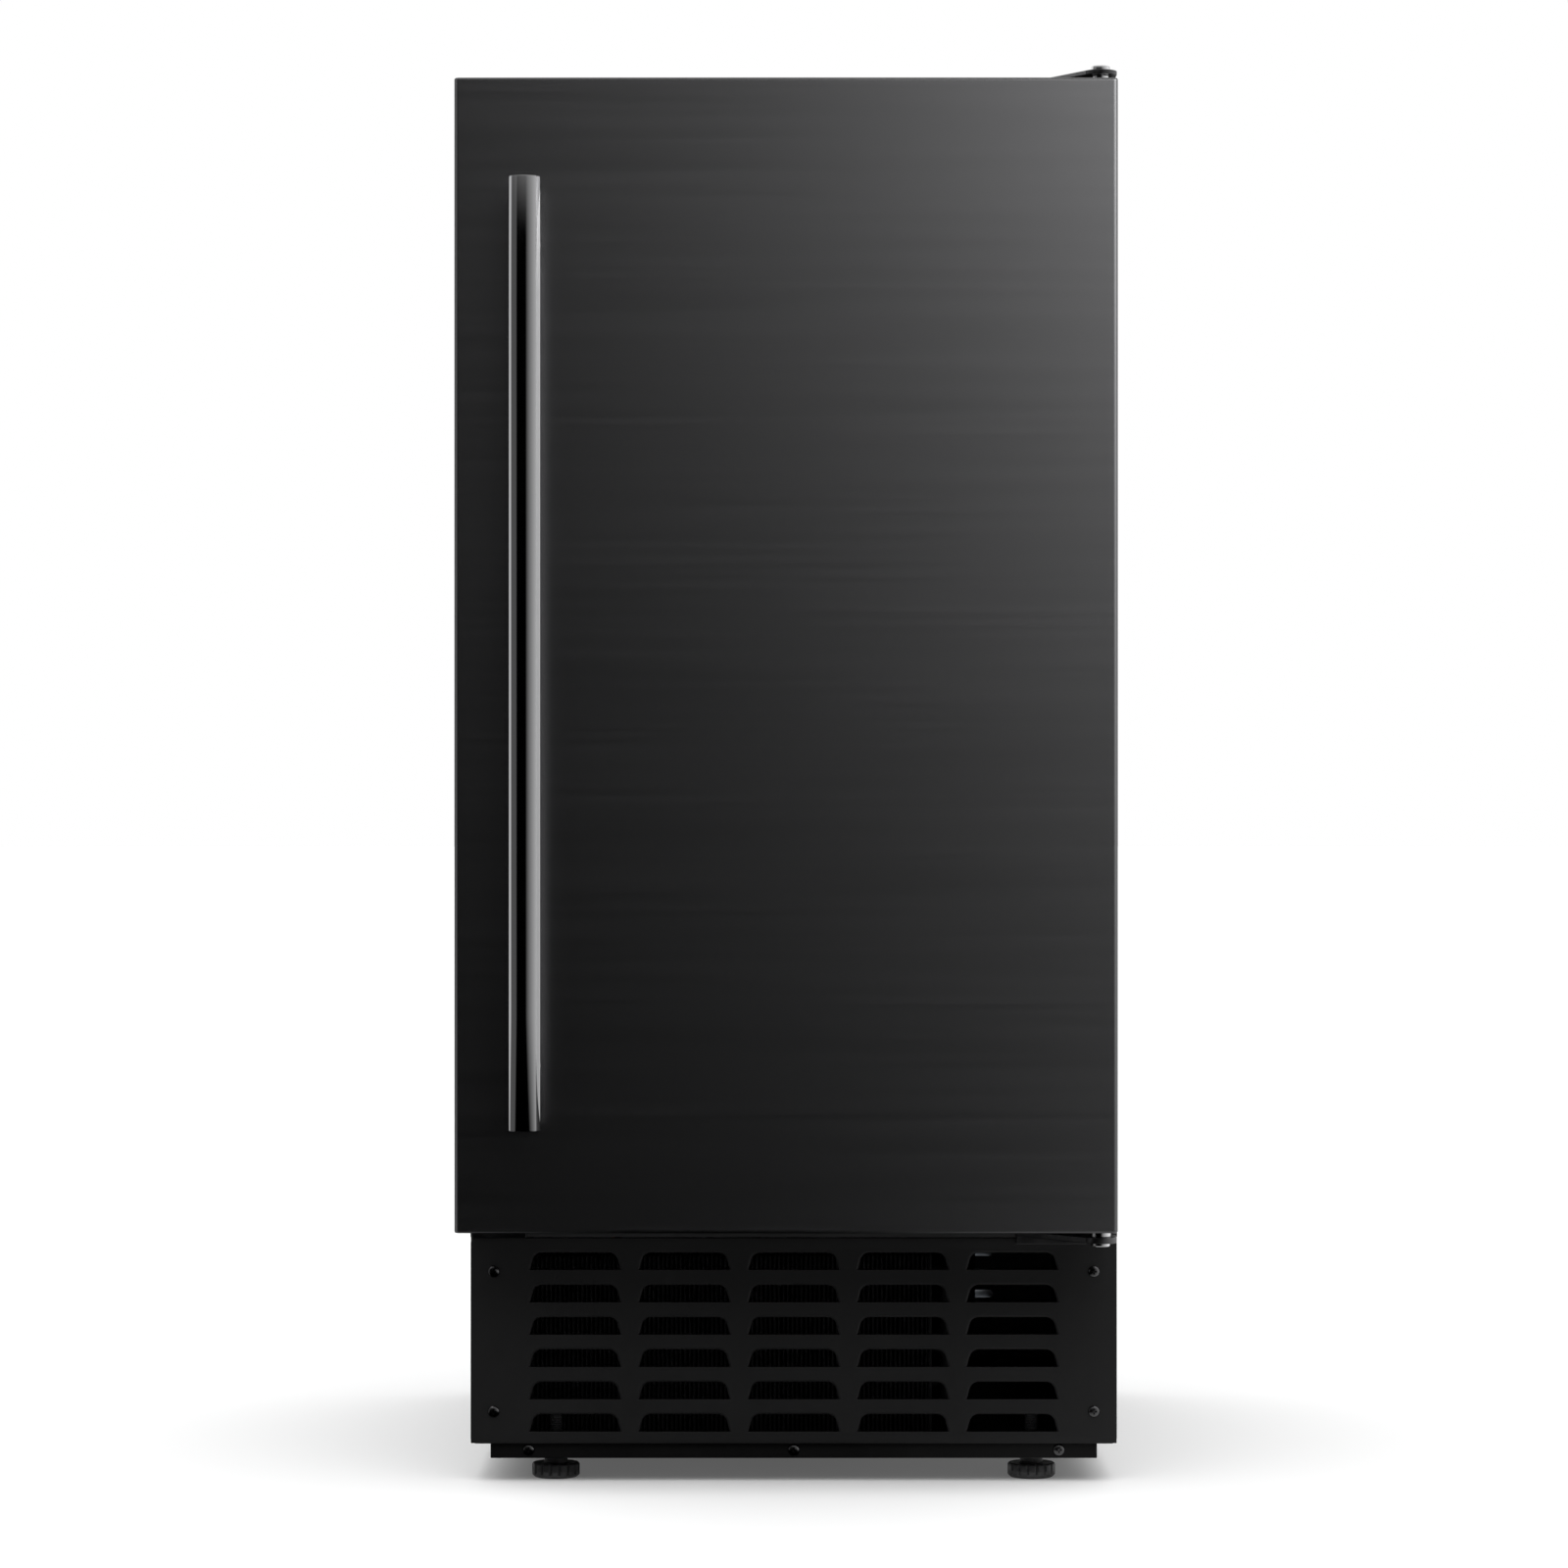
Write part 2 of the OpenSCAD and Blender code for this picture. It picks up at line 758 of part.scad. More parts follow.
// --- cabinet ---
// The left side panel; the right one is its mirror image
module side_panel() {
    x0 = cab_x0;
    xi = x0 + sheet_t;
    low_return = screw_inset + 11;
    ledge = base_inset + base_t;
    difference() {
        union() {
            block(x0, xi, cab_y, rear_y, cross_z, roof_z);
            block(x0, xi, grille_back_y, rear_y, grille_z, cross_z);
            block(x0, x0 + return_w, cab_y, cab_y + sheet_t, cross_z, roof_z);
            block(x0, x0 + low_return, grille_back_y, grille_back_y + sheet_t, grille_z, cross_z);
            block(x0, x0 + ledge, grille_back_y, rear_y, grille_z, grille_z + sheet_t);
            block(x0, x0 + return_w, rear_y - sheet_t, rear_y, grille_z, roof_z);
        }
        for (z = grille_screw_zs)
            rod_y(x0 + screw_inset, grille_back_y - 1, grille_back_y + 3, z, screw_r + hole_fit);
        for (z = rear_screw_zs)
            rod_y(rear_screw_xs[0], rear_y - 3, rear_y + 1, z, screw_r + hole_fit);
    }
}

module side_panel_left() {
    color(BLACK) side_panel();
}

module side_panel_right() {
    color(BLACK) translate([cab_cx, 0, 0]) mirror([1, 0, 0]) translate([-cab_cx, 0, 0]) side_panel();
}

module top_panel() {
    x0 = cab_x0 + return_w;
    x1 = cab_x1 - return_w;
    color(BLACK) difference() {
        union() {
            block(cab_x0, cab_x1, cab_y, rear_y, roof_z, cab_top);
            block(x0, x1, cab_y, cab_y + sheet_t, roof_flange_z, roof_z);
        }
        hinge_screw_holes(roof_z - 1, cab_top + 1);
    }
}

module hinge_screw_holes(z0, z1) {
    for (x = hinge_screw_xs) rod_z(x, hinge_screw_y, z0, z1, screw_r + hole_fit);
    rod_z(hinge_screw_xs[0], hinge_screw_y2, z0, z1, screw_r + hole_fit);
}

module rear_panel() {
    slot_count = 9;
    slot_pitch = 14;
    slot_w = 84;
    slot_h = 5;
    slot_gap = 6;
    slot_low = 40;
    slot_z = grille_z + slot_low;
    color(ZINC) difference() {
        block(cab_x0, cab_x1, rear_y, cab_back_y, grille_z, cab_top);
        for (z = [slot_z:slot_pitch:slot_z + (slot_count - 1) * slot_pitch + 1],
            x = [comp_x - slot_w - slot_gap, comp_x + slot_gap])
            block(x, x + slot_w, rear_y - 1, cab_back_y + 1, z, z + slot_h);
        for (x = rear_screw_xs, z = rear_screw_zs)
            rod_y(x, rear_y - 1, cab_back_y + 1, z, screw_r + hole_fit);
        rod_y(valve_x, rear_y - 1, cab_back_y + 1, valve_z, valve_thread_r + hole_fit);
        rod_y(drain_out_x, rear_y - 1, cab_back_y + 1, drain_out_z, drain_r + hole_fit);
        rod_y(gland_x, rear_y - 1, cab_back_y + 1, gland_z, gland_neck_r + hole_fit);
    }
}

// Pan-head screws that hold the rear panel and both hinges
module panel_screws() {
    plate_top = cab_top + top_plate_t;
    color(ZINC) {
        for (x = rear_screw_xs, z = rear_screw_zs) {
            rod_y(x, cab_back_y, cab_back_y + pan_head_h, z, pan_head_r);
            rod_y(x, cab_back_y - rear_screw_l, cab_back_y, z, screw_r);
        }
        for (p = [[hinge_screw_xs[0], hinge_screw_y], [hinge_screw_xs[1], hinge_screw_y],
                [hinge_screw_xs[0], hinge_screw_y2]]) {
            rod_z(p[0], p[1], plate_top, plate_top + pan_head_h, pan_head_r);
            rod_z(p[0], p[1], cab_top - hinge_screw_l, plate_top, screw_r);
        }
        for (x = bracket_screw_xs) {
            rod_y(x, bracket_y - pan_head_h, bracket_y, bracket_screw_z, pan_head_r);
            rod_y(x, bracket_y, bracket_y + bracket_screw_l, bracket_screw_z, screw_r);
        }
    }
}

module front_crossbar() {
    x0 = cab_x0 + return_w;
    x1 = cab_x1 - return_w;
    color(STEEL) difference() {
        union() {
            block(x0, x1, cab_y, cab_y + cross_t, cross_z, cross_z + cross_h);
            block(x0, x1, cab_y, cab_y + cross_back, cross_z, deck_z);
        }
        for (x = bracket_screw_xs)
            rod_y(x, cab_y - 1, cab_y + cross_t + 1, bracket_screw_z, screw_r + hole_fit);
    }
}

// Stepped steel deck that closes the machine compartment from above
module machine_deck() {
    color(ZINC) difference() {
        union() {
            block(inner_x0, inner_x1, cab_y + cross_t, riser_y + sheet_t, deck_z, deck_top);
            block(inner_x0, inner_x1, riser_y, riser_y + sheet_t, deck_z, upper_deck_z + sheet_t);
            block(inner_x0, inner_x1, riser_y, rear_y - sheet_t, upper_deck_z, upper_deck_z + sheet_t);
        }
        line_holes(line_r + hole_fit);
        rod_z(drain_x, drain_y, deck_z - 1, deck_top + 1, drain_r + hole_fit);
    }
}

// The three lines that rise through the rear foam
module line_holes(r) {
    for (x = [suction_x, gas_pipe_x, fill_x])
        rod_z(x, riser_pipe_y, upper_deck_z - 1, upper_deck_z + sheet_t + 1, r);
}

module front_grille() {
    lip_t = 1.2;
    color(STEEL) union() {
        difference() {
            upright(grille_y, grille_back_y) difference() {
                round_rect(cab_x0, cab_x1, grille_z, grille_top, grille_r);
                at_louvres() polygon(louvre_outline(0));
            }
            for (x = grille_screw_xs, z = grille_screw_zs)
                rod_y(x, grille_y - 1, grille_back_y + 1, z, screw_r + hole_fit);
        }
        upright(grille_back_y, grille_back_y + lip_d) difference() {
            at_louvres() polygon(louvre_outline(lip_t));
            at_louvres() polygon(louvre_outline(0));
        }
    }
}

// Domed screws of the grille and of the base pan's front flange
module front_screws() {
    color(CHROME) {
        for (x = grille_screw_xs, z = grille_screw_zs) screw_y(x, grille_y, z, grille_screw_l);
        for (x = plinth_screw_xs) screw_y(x, plinth_y, plinth_screw_z, plinth_screw_l);
    }
}

// --- hinges ---
module hinge_blank_plate() {
    x0 = cab_x0 + blank_inset;
    z0 = cross_z - gap;
    color(ZINC) block(x0, x0 + blank_w, cab_y - sheet_t, cab_y, z0, z0 + blank_h);
}

module top_hinge_plate() {
    back_y = cab_y + top_plate_d;
    neck_in = 2;
    neck_y = cab_y + neck_in;
    x0 = pin_x - top_plate_w;
    x1 = pin_x + hinge_tip_r;
    color(BLACK) difference() {
        translate([0, 0, cab_top]) linear_extrude(height = top_plate_t) union() {
            translate([pin_x, pin_y]) circle(r = hinge_tip_r);
            polygon([
                [x1, pin_y], [x1, back_y], [x0, back_y], [x0, neck_y],
                [pin_x - hinge_tip_r * 0.87, pin_y - hinge_tip_r * 0.5]
            ]);
        }
        hinge_screw_holes(cab_top - 1, cab_top + top_plate_t + 1);
        rod_z(pin_x, pin_y, cab_top - 1, cab_top + top_plate_t + 1, pin_r + run_fit);
    }
}

module bottom_hinge_bracket() {
    tip_x = pin_x - hinge_tip_r * 0.87;
    tip_y = pin_y - hinge_tip_r * 0.5;
    side_l = 12;
    side_y = pin_y + side_l;
    color(STEEL) difference() {
        union() {
            block(bracket_x0, bracket_x1, bracket_y, cab_y,
                tab_z - bracket_drop, tab_z - bracket_drop + bracket_h);
            translate([0, 0, tab_z]) linear_extrude(height = tab_t) union() {
                translate([pin_x, pin_y]) circle(r = hinge_tip_r);
                polygon([
                    [pin_x + hinge_tip_r, pin_y], [pin_x + hinge_tip_r, side_y],
                    [bracket_x1, bracket_y], [bracket_x0, bracket_y], [tip_x, tip_y]
                ]);
            }
        }
        for (x = bracket_screw_xs)
            rod_y(x, bracket_y - 1, cab_y + 1, bracket_screw_z, screw_r + hole_fit);
        rod_z(pin_x, pin_y, tab_z - 1, tab_z + tab_t + 1, pin_r + run_fit);
    }
}

module ring_z(x, y, z0, z1, r, bore_r) {
    difference() {
        rod_z(x, y, z0, z1, r);
        rod_z(x, y, z0 - 1, z1 + 1, bore_r);
    }
}

// Both pins, the top spacer washer and the bottom collar
module hinge_pins() {
    plate_top = cab_top + top_plate_t;
    depth = bushing_l - pin_end_gap;
    color(CHROME) {
        rod_z(pin_x, pin_y, plate_top, plate_top + hinge_head_h, hinge_head_r);
        rod_z(pin_x, pin_y, door_top - depth, plate_top, pin_r);
        ring_z(pin_x, pin_y, door_top + gap, cab_top, spacer_r, pin_r + run_fit);
        rod_z(pin_x, pin_y, tab_z - low_head_h, tab_z, hinge_head_r);
        rod_z(pin_x, pin_y, tab_z, door_z + depth, pin_r);
        ring_z(pin_x, pin_y, tab_z + tab_t, door_z - gap, collar_r, pin_r + run_fit);
    }
}

// --- liner, foam and bin ---
// The space inside the ice bin, grown by g, with its step over the compressor
module bin_space(y0, g) {
    block(bin_x0 - g, bin_x1 + g, y0, bin_back_y + g, hump_z - g, bin_top + g);
    block(bin_x0 - g, bin_x1 + g, y0, hump_y + g, bin_floor - g, bin_top + g);
}

// Holes through the liner's back and floor for tubes
module liner_holes(r_extra) {
    y0 = bin_back_y - 1;
    y1 = riser_pipe_y;
    rod_y(suction_x, y0, y1, coil_high_z, line_r + r_extra);
    rod_y(gas_pipe_x, y0, y1, coil_low_z, line_r + r_extra);
    rod_y(fill_x, y0, y1, fill_z, line_r + r_extra);
    rod_z(drain_x, drain_y, deck_top - 1, bin_floor + 1, drain_r + r_extra);
}

module inner_liner() {
    x0 = cab_x0 + return_w;
    x1 = cab_x1 - return_w;
    color(WHITE) difference() {
        union() {
            bin_space(cab_y, liner_t);
            block(x0, x1, cab_y, cab_y + flange_t, cross_z + cross_h, roof_flange_z);
        }
        bin_space(cab_y - 1, 0);
        liner_holes(hole_fit);
        rod_z(drain_x, drain_y, bin_floor - 1, bin_floor + 1, drain_r + strainer_rim + hole_fit);
    }
}

module cabinet_foam() {
    y0 = cab_y + cross_t;
    y1 = rear_y - sheet_t;
    color(FOAM) difference() {
        union() {
            block(inner_x0, inner_x1, y0, y1, upper_deck_z + sheet_t, roof_z);
            block(inner_x0, inner_x1, y0, riser_y, deck_top, roof_z);
        }
        bin_space(y0 - 1, liner_t);
        liner_holes(hole_fit);
        for (p = [[suction_x, coil_high_z], [gas_pipe_x, coil_low_z], [fill_x, fill_z]])
            rod_z(p[0], riser_pipe_y, upper_deck_z, p[1] + line_r + hole_fit, line_r + hole_fit);
        hinge_screw_holes(roof_z - screw_hole_depth, roof_z + 1);
        for (x = bracket_screw_xs)
            rod_y(x, y0 - 1, y0 + screw_hole_depth, bracket_screw_z, screw_r + hole_fit);
        for (x = rear_screw_xs, z = rear_screw_zs)
            rod_y(x, y1 - screw_hole_depth, y1 + 1, z, screw_r + hole_fit);
    }
}

module bin_guard() {
    inset = 6;
    lip = 8;
    y0 = cab_y + inset;
    top = bin_floor + guard_h;
    color(CLEAR) union() {
        block(bin_x0, bin_x1, y0, y0 + guard_t, bin_floor, top);
        block(bin_x0, bin_x1, y0 + guard_t, y0 + guard_t + lip, top - guard_t, top);
    }
}

// Strainer in the bin floor, with the pipe that carries melt water to the rear
module drain_pipe() {
    inner_r = drain_r - 2;
    hole_r = 1.4;
    hole_count = 6;
    cap_t = 0.5;
    seat_t = 1;
    collar = 3;
    collar_l = 2;
    turn_z = drain_out_z;
    color(GREY) difference() {
        union() {
            rod_z(drain_x, drain_y, bin_floor - seat_t, bin_floor + cap_t, drain_r + strainer_rim);
            run([[drain_x, drain_y, bin_floor], [drain_x, drain_y, turn_z],
                [drain_out_x, drain_y, turn_z], [drain_out_x, fitting_y, turn_z]], drain_r);
            rod_y(drain_out_x, cab_back_y, cab_back_y + collar_l, turn_z, drain_r + collar);
        }
        run([[drain_x, drain_y, bin_floor - 2], [drain_x, drain_y, turn_z],
            [drain_out_x, drain_y, turn_z], [drain_out_x, fitting_y + 1, turn_z]], inner_r);
        for (i = [0:hole_count - 1]) rotate_about(drain_x, drain_y, i * 360 / hole_count)
            rod_z(drain_x + inner_r * 0.55, drain_y, bin_floor - 3, bin_floor + 1, hole_r);
    }
}

module rotate_about(x, y, a) {
    translate([x, y, 0]) rotate(a) translate([-x, -y, 0]) children();
}

// --- ice making ---
// Two cheeks, a roof and a rear strip that carry the evaporator, curtain and distributor tube
module evaporator_frame() {
    x0 = evap_x0 - frame_t;
    x1 = evap_x1 + frame_t;
    strip_h = 24;
    color(WHITE) difference() {
        union() {
            block(x0, evap_x0, frame_y, bin_back_y, trough_top, frame_top);
            block(evap_x1, x1, frame_y, bin_back_y, trough_top, frame_top);
            block(x0, x1, plate_y, bin_back_y, frame_top - frame_t, frame_top);
            block(x0, x1, bin_back_y - frame_t, bin_back_y, frame_top - strip_h, frame_top);
        }
        rod_x(x0 - 1, x1 + 1, pivot_y, pivot_z, pivot_r + run_fit);
        rod_x(x0 - 1, x1 + 1, spray_y, spray_z, spray_d / 2 + hole_fit);
    }
}

module evaporator_plate() {
    pitch_x = (evap_w - cell_wall) / cell_cols;
    pitch_z = (evap_h - cell_wall) / cell_rows;
    color(CHROME) difference() {
        block(evap_x0, evap_x1, evap_y, plate_y + plate_t, evap_z, evap_top);
        for (i = [0:cell_cols - 1], j = [0:cell_rows - 1])
            translate([evap_x0 + cell_wall + i * pitch_x, evap_y - 1, evap_z + cell_wall + j * pitch_z])
                cube([pitch_x - cell_wall, cell_d + 1, pitch_z - cell_wall]);
    }
}

// Serpentine tube behind the plate, with both ends turned back through the liner
module evaporator_coil() {
    rows = 6;
    r = coil_d / 2;
    z0 = coil_low_z;
    pitch = (coil_high_z - coil_low_z) / (rows - 1);
    far = suction_x;
    near = gas_pipe_x;
    color(COPPER) union() {
        for (i = [0:rows - 1]) rod_x(near, far, coil_y, z0 + i * pitch, r);
        for (i = [0:rows - 2])
            rod_z(i % 2 == 0 ? far : near, coil_y, z0 + i * pitch, z0 + (i + 1) * pitch, r);
        for (i = [0:rows - 1], x = [near, far]) translate([x, coil_y, z0 + i * pitch]) sphere(r = r);
        rod_y(near, coil_y, bin_back_y, z0, r);
        rod_y(far, coil_y, bin_back_y, coil_high_z, r);
    }
}

module distributor_tube() {
    x0 = evap_x0 - frame_t;
    x1 = evap_x1 + frame_t + spray_end;
    r = spray_d / 2;
    wall = 2;
    end_wall = 3;
    hole_count = 14;
    hole_r = 1.2;
    color(WHITE) difference() {
        rod_x(x0, x1, spray_y, spray_z, r);
        rod_x(x0 + end_wall, x1 - wall, spray_y, spray_z, r - wall);
        rod_x(x1 - hose_grip, x1 + 1, spray_y, spray_z, nipple_r);
        for (i = [0:hole_count - 1])
            rod_z(evap_x0 + (i + 0.5) * evap_w / hole_count, spray_y, spray_z - r - 1, spray_z, hole_r);
    }
}

// Open trough under the evaporator, with the stem that guides the float
module water_trough() {
    y1 = bin_back_y;
    stem_top = trough_top - stem_drop;
    stem_seat = 2;
    color(WHITE) union() {
        difference() {
            block(trough_x0, trough_x1, trough_y, y1, trough_z, trough_top);
            block(trough_x0 + trough_t, trough_x1 - trough_t, trough_y + trough_t, y1 - trough_t,
                pump_z, trough_top + 1);
        }
        rod_z(float_x, float_y, pump_z - 1, stem_top, stem_r);
        rod_z(float_x, float_y, pump_z - 1, float_z - gap, stem_r + stem_seat);
    }
}

module level_float() {
    color(CLEAR) ring_z(float_x, float_y, float_z, float_z + float_h, float_r, stem_r + run_fit);
}

module water_pump() {
    motor_z = trough_top + pump_motor_up;
    cap_z = motor_z + pump_motor_h;
    color(GREY) union() {
        rod_z(pump_x, pump_y, pump_z, pump_z + pump_volute_h, pump_r);
        rod_z(pump_x, pump_y, pump_z, motor_z + 1, pump_neck_r);
        rod_z(pump_x, pump_y, motor_z, cap_z, pump_r);
        rod_z(pump_x, pump_y, cap_z, cap_z + pump_cap_h, pump_r - pump_cap_h);
        rod_y(pump_x, spray_y + hose_r, pump_y, hose_z, nipple_r);
    }
}

// Hose from the pump up to the distributor tube
module pump_hose() {
    end_x = evap_x1 + frame_t + spray_end;
    color(CLEAR) difference() {
        run([[pump_x, spray_y + hose_grip, hose_z], [pump_x, spray_y, hose_z],
            [pump_x, spray_y, spray_z], [end_x, spray_y, spray_z]], hose_r);
        rod_y(pump_x, spray_y + hose_r, spray_y + hose_grip + 1, hose_z, nipple_r + run_fit);
    }
}

// Flap in front of the evaporator that drops water back and lets ice out
module ice_curtain() {
    side_gap = 2;
    rib_t = 2;
    rib_d = 4;
    x0 = evap_x0 + side_gap;
    x1 = evap_x1 - side_gap;
    y0 = pivot_y - curtain_t / 2;
    overhang = 6;
    boss_t = 2;
    low_z = evap_z - overhang;
    boss_r = pivot_r + boss_t;
    pivot_end = frame_t - 0.5;
    color(CLEAR) union() {
        block(x0, x1, y0, y0 + curtain_t, low_z, pivot_z);
        rod_x(x0, x1, pivot_y, pivot_z, boss_r);
        rod_x(evap_x0 - pivot_end, evap_x1 + pivot_end, pivot_y, pivot_z, pivot_r);
        for (x = [x0, evap_cx - rib_t / 2, x1 - rib_t])
            block(x, x + rib_t, y0 - rib_d, y0, low_z, pivot_z);
    }
}

// --- controls ---
module control_housing() {
    boss_inset = 8;
    boss_r = 3;
    boss_xs = [panel_x0 + boss_inset, panel_x1 - boss_inset];
    color(GREY) union() {
        difference() {
            block(panel_x0, panel_x1, panel_y, panel_y1, panel_z, bin_top);
            block(panel_x0 + panel_t, panel_x1 - panel_t, panel_y + panel_t, panel_y1 - panel_t,
                panel_z + panel_t, bin_top + 1);
            for (x = button_xs)
                rod_y(x, panel_y - 1, panel_y + panel_t + 1, button_z, button_r + gap);
            block(display_x0, display_x1, panel_y - 1, panel_y + panel_t + 1, display_z0, display_z1);
            block(cab_cx - lamp_w / 2, cab_cx + lamp_w / 2, lamp_y, lamp_y + lamp_d,
                panel_z - 1, panel_z + panel_t + 1);
        }
        for (x = boss_xs) rod_y(x, panel_y + panel_t - 0.5, board_y, button_z, boss_r);
    }
}

module control_board() {
    edge = 4;
    low_edge = 5;
    switch_half = 3;
    board_back_y = board_y + board_t;
    part_edge = 6;
    part_z = panel_z + 8;
    supply_w = 36;
    supply_d = 24.4;
    supply_h = 24;
    relay_w = 40;
    relay_d = 16.4;
    relay_h = 18;
    relay_edge = 16;
    x0 = panel_x0 + edge;
    x1 = panel_x1 - edge;
    supply_x = x0 + part_edge;
    relay_x = x1 - relay_edge;
    color(GREEN) union() {
        block(x0, x1, board_y, board_back_y, panel_z + low_edge, bin_top - edge);
        for (x = button_xs)
            block(x - switch_half, x + switch_half, switch_y, board_y,
                button_z - switch_half, button_z + switch_half);
        block(display_x0, display_x1, panel_y + panel_t + display_lip + 0.5, board_y,
            display_z0, display_z1);
        block(supply_x, supply_x + supply_w, board_back_y, board_back_y + supply_d,
            part_z, part_z + supply_h);
        block(relay_x - relay_w, relay_x, board_back_y, board_back_y + relay_d,
            part_z, part_z + relay_h);
    }
}

module display_lens() {
    color(BLACK) union() {
        block(display_x0, display_x1, panel_y, panel_y + panel_t, display_z0, display_z1);
        block(display_x0, display_x1, panel_y + panel_t, panel_y + panel_t + display_lip + 0.5,
            display_z0 - display_lip, display_z1 + display_lip);
    }
}

module button(x) {
    color(WHITE) union() {
        rod_y(x, panel_y - button_proud, panel_y + panel_t + 1, button_z, button_r);
        rod_y(x, panel_y + panel_t + gap, panel_y + panel_t + gap + button_skirt_t, button_z,
            button_skirt_r);
        rod_y(x, panel_y, switch_y - button_travel - gap, button_z, button_stem_r);
    }
}

module power_button() { button(button_xs[0]); }
module clean_button() { button(button_xs[1]); }
module light_button() { button(button_xs[2]); }

module bin_lamp() {
    x0 = cab_cx - lamp_w / 2;
    x1 = cab_cx + lamp_w / 2;
    color(CLEAR) union() {
        block(x0, x1, lamp_y, lamp_y + lamp_d, panel_z - lamp_lip, panel_z + panel_t);
        block(x0 - lamp_lip, x1 + lamp_lip, lamp_y - lamp_lip, lamp_y + lamp_d + lamp_lip,
            panel_z + panel_t, panel_z + panel_t + 3);
    }
}

// --- machine compartment ---
// Welded shell with its feet, ports and relay box
module compressor() {
    r = comp_d / 2;
    low_r = 30;
    top_r = 45;
    rim = 4;
    rim_h = 3;
    top_r_gap = 1;
    relay_out = 26;
    relay_in = 8;
    relay_half = 26;
    relay_low = 50;
    relay_high = 22;
    port_wall = 2;
    seam_z = comp_seam_z;
    top_z = comp_base_z + comp_h;
    half = comp_foot_w / 2 + comp_ledge;
    ports = [[comp_x - port_side, suction_port_z], [comp_x + port_side, discharge_port_z]];
    color(BLACK) difference() {
        union() {
            translate([comp_x, comp_y, 0]) rotate_extrude() polygon(concat(
                [[0, comp_base_z]], arc([r - low_r, comp_base_z + low_r], low_r, -90, 0, 8),
                [[r, seam_z - rim_h], [r + rim, seam_z - rim_h], [r + rim, seam_z + rim_h],
                    [r - top_r_gap, seam_z + rim_h]],
                arc([r - top_r_gap - top_r, top_z - top_r], top_r, 0, 90, 10), [[0, top_z]]));
            block(comp_x - half, comp_x + half, comp_y - half, comp_y + half,
                comp_base_z, comp_base_z + comp_foot_t);
            block(comp_x - r - relay_out, comp_x - r + relay_in, comp_y - relay_half,
                comp_y + relay_half, seam_z - relay_low, seam_z + relay_high);
            for (p = ports) rod_y(p[0], port_y, comp_y, p[1], line_r + port_wall);
        }
        comp_bolts(comp_base_z - 1, bolt_r + 3 + hole_fit, comp_foot_t + 2);
        for (p = ports) rod_y(p[0], port_y - 1, port_y + port_depth, p[1], line_r + run_fit);
    }
}

module compressor_grommets() {
    color(RUBBER) difference() {
        union() {
            comp_bolts(floor_z, grommet_r, comp_base_z - floor_z);
            comp_bolts(comp_base_z, bolt_r + 3, comp_foot_t);
        }
        comp_bolts(floor_z - 1, bolt_r + hole_fit, bolt_h);
    }
}

// Finned block with its tubes and end plates
module condenser() {
    fin_pitch = (cond_w - fin_t) / (fin_count - 1);
    end_t = 2;
    x0 = cond_x0 - cond_tube_out;
    x1 = cond_x1 + cond_tube_out;
    z0 = cond_tube_z;
    color(ZINC) union() {
        for (i = [0:fin_count - 1])
            block(cond_x0 + i * fin_pitch, cond_x0 + i * fin_pitch + fin_t,
                cond_y, cond_back_y, cond_z, floor_z + cond_h);
        for (x = [cond_x0, cond_x1 - end_t])
            block(x, x + end_t, cond_y, cond_back_y, floor_z, floor_z + cond_h + end_t);
        for (y = cond_tube_ys, j = [0:cond_rows - 1])
            rod_x(x0, x1, y, z0 + j * cond_pitch, line_r);
        for (y = cond_tube_ys, j = [0:cond_rows - 2])
            rod_z(j % 2 == 0 ? x1 : x0, y, z0 + j * cond_pitch, z0 + (j + 1) * cond_pitch, line_r);
    }
}

// Sheet behind the condenser with the fan's ring and the arms that hold its motor
module fan_shroud() {
    ring_r = fan_d / 2 + fan_clear;
    arm_t = 2;
    arm_half = 8;
    leg_half = 3;
    leg_out = ring_r + 5;
    arm_y = motor_y - arm_t;
    color(BLACK) difference() {
        union() {
            block(cond_x0, cond_x1, shroud_y, shroud_y + shroud_t, floor_z, floor_z + cond_h);
            rod_y(fan_x, shroud_y, shroud_y + ring_d, fan_z, ring_r + shroud_t);
            for (x = [fan_x - leg_out, fan_x + leg_out])
                block(x - leg_half, x + leg_half, shroud_y, motor_y, fan_z - arm_half, fan_z + arm_half);
            block(fan_x - leg_out - leg_half, fan_x + leg_out + leg_half, arm_y, motor_y,
                fan_z - arm_half, fan_z + arm_half);
            rod_y(fan_x, arm_y, motor_y, fan_z, motor_r - 4);
        }
        rod_y(fan_x, shroud_y - 1, shroud_y + ring_d + 0.1, fan_z, ring_r);
        rod_y(fan_x, arm_y - 1, motor_y + 1, fan_z, shaft_r + 3);
    }
}

module fan_motor() {
    cap_l = 4;
    stand_half = 20;
    stand_in = 10;
    color(GREY) union() {
        rod_y(fan_x, motor_y, motor_y + motor_l, fan_z, motor_r);
        rod_y(fan_x, motor_y + motor_l, motor_y + motor_l + cap_l, fan_z, motor_r - 2 * cap_l);
        rod_y(fan_x, fan_y + shaft_in, motor_y, fan_z, shaft_r);
        block(fan_x - stand_half, fan_x + stand_half, motor_y + stand_in, motor_y + motor_l - stand_in,
            floor_z, fan_z - motor_r / 2);
    }
}

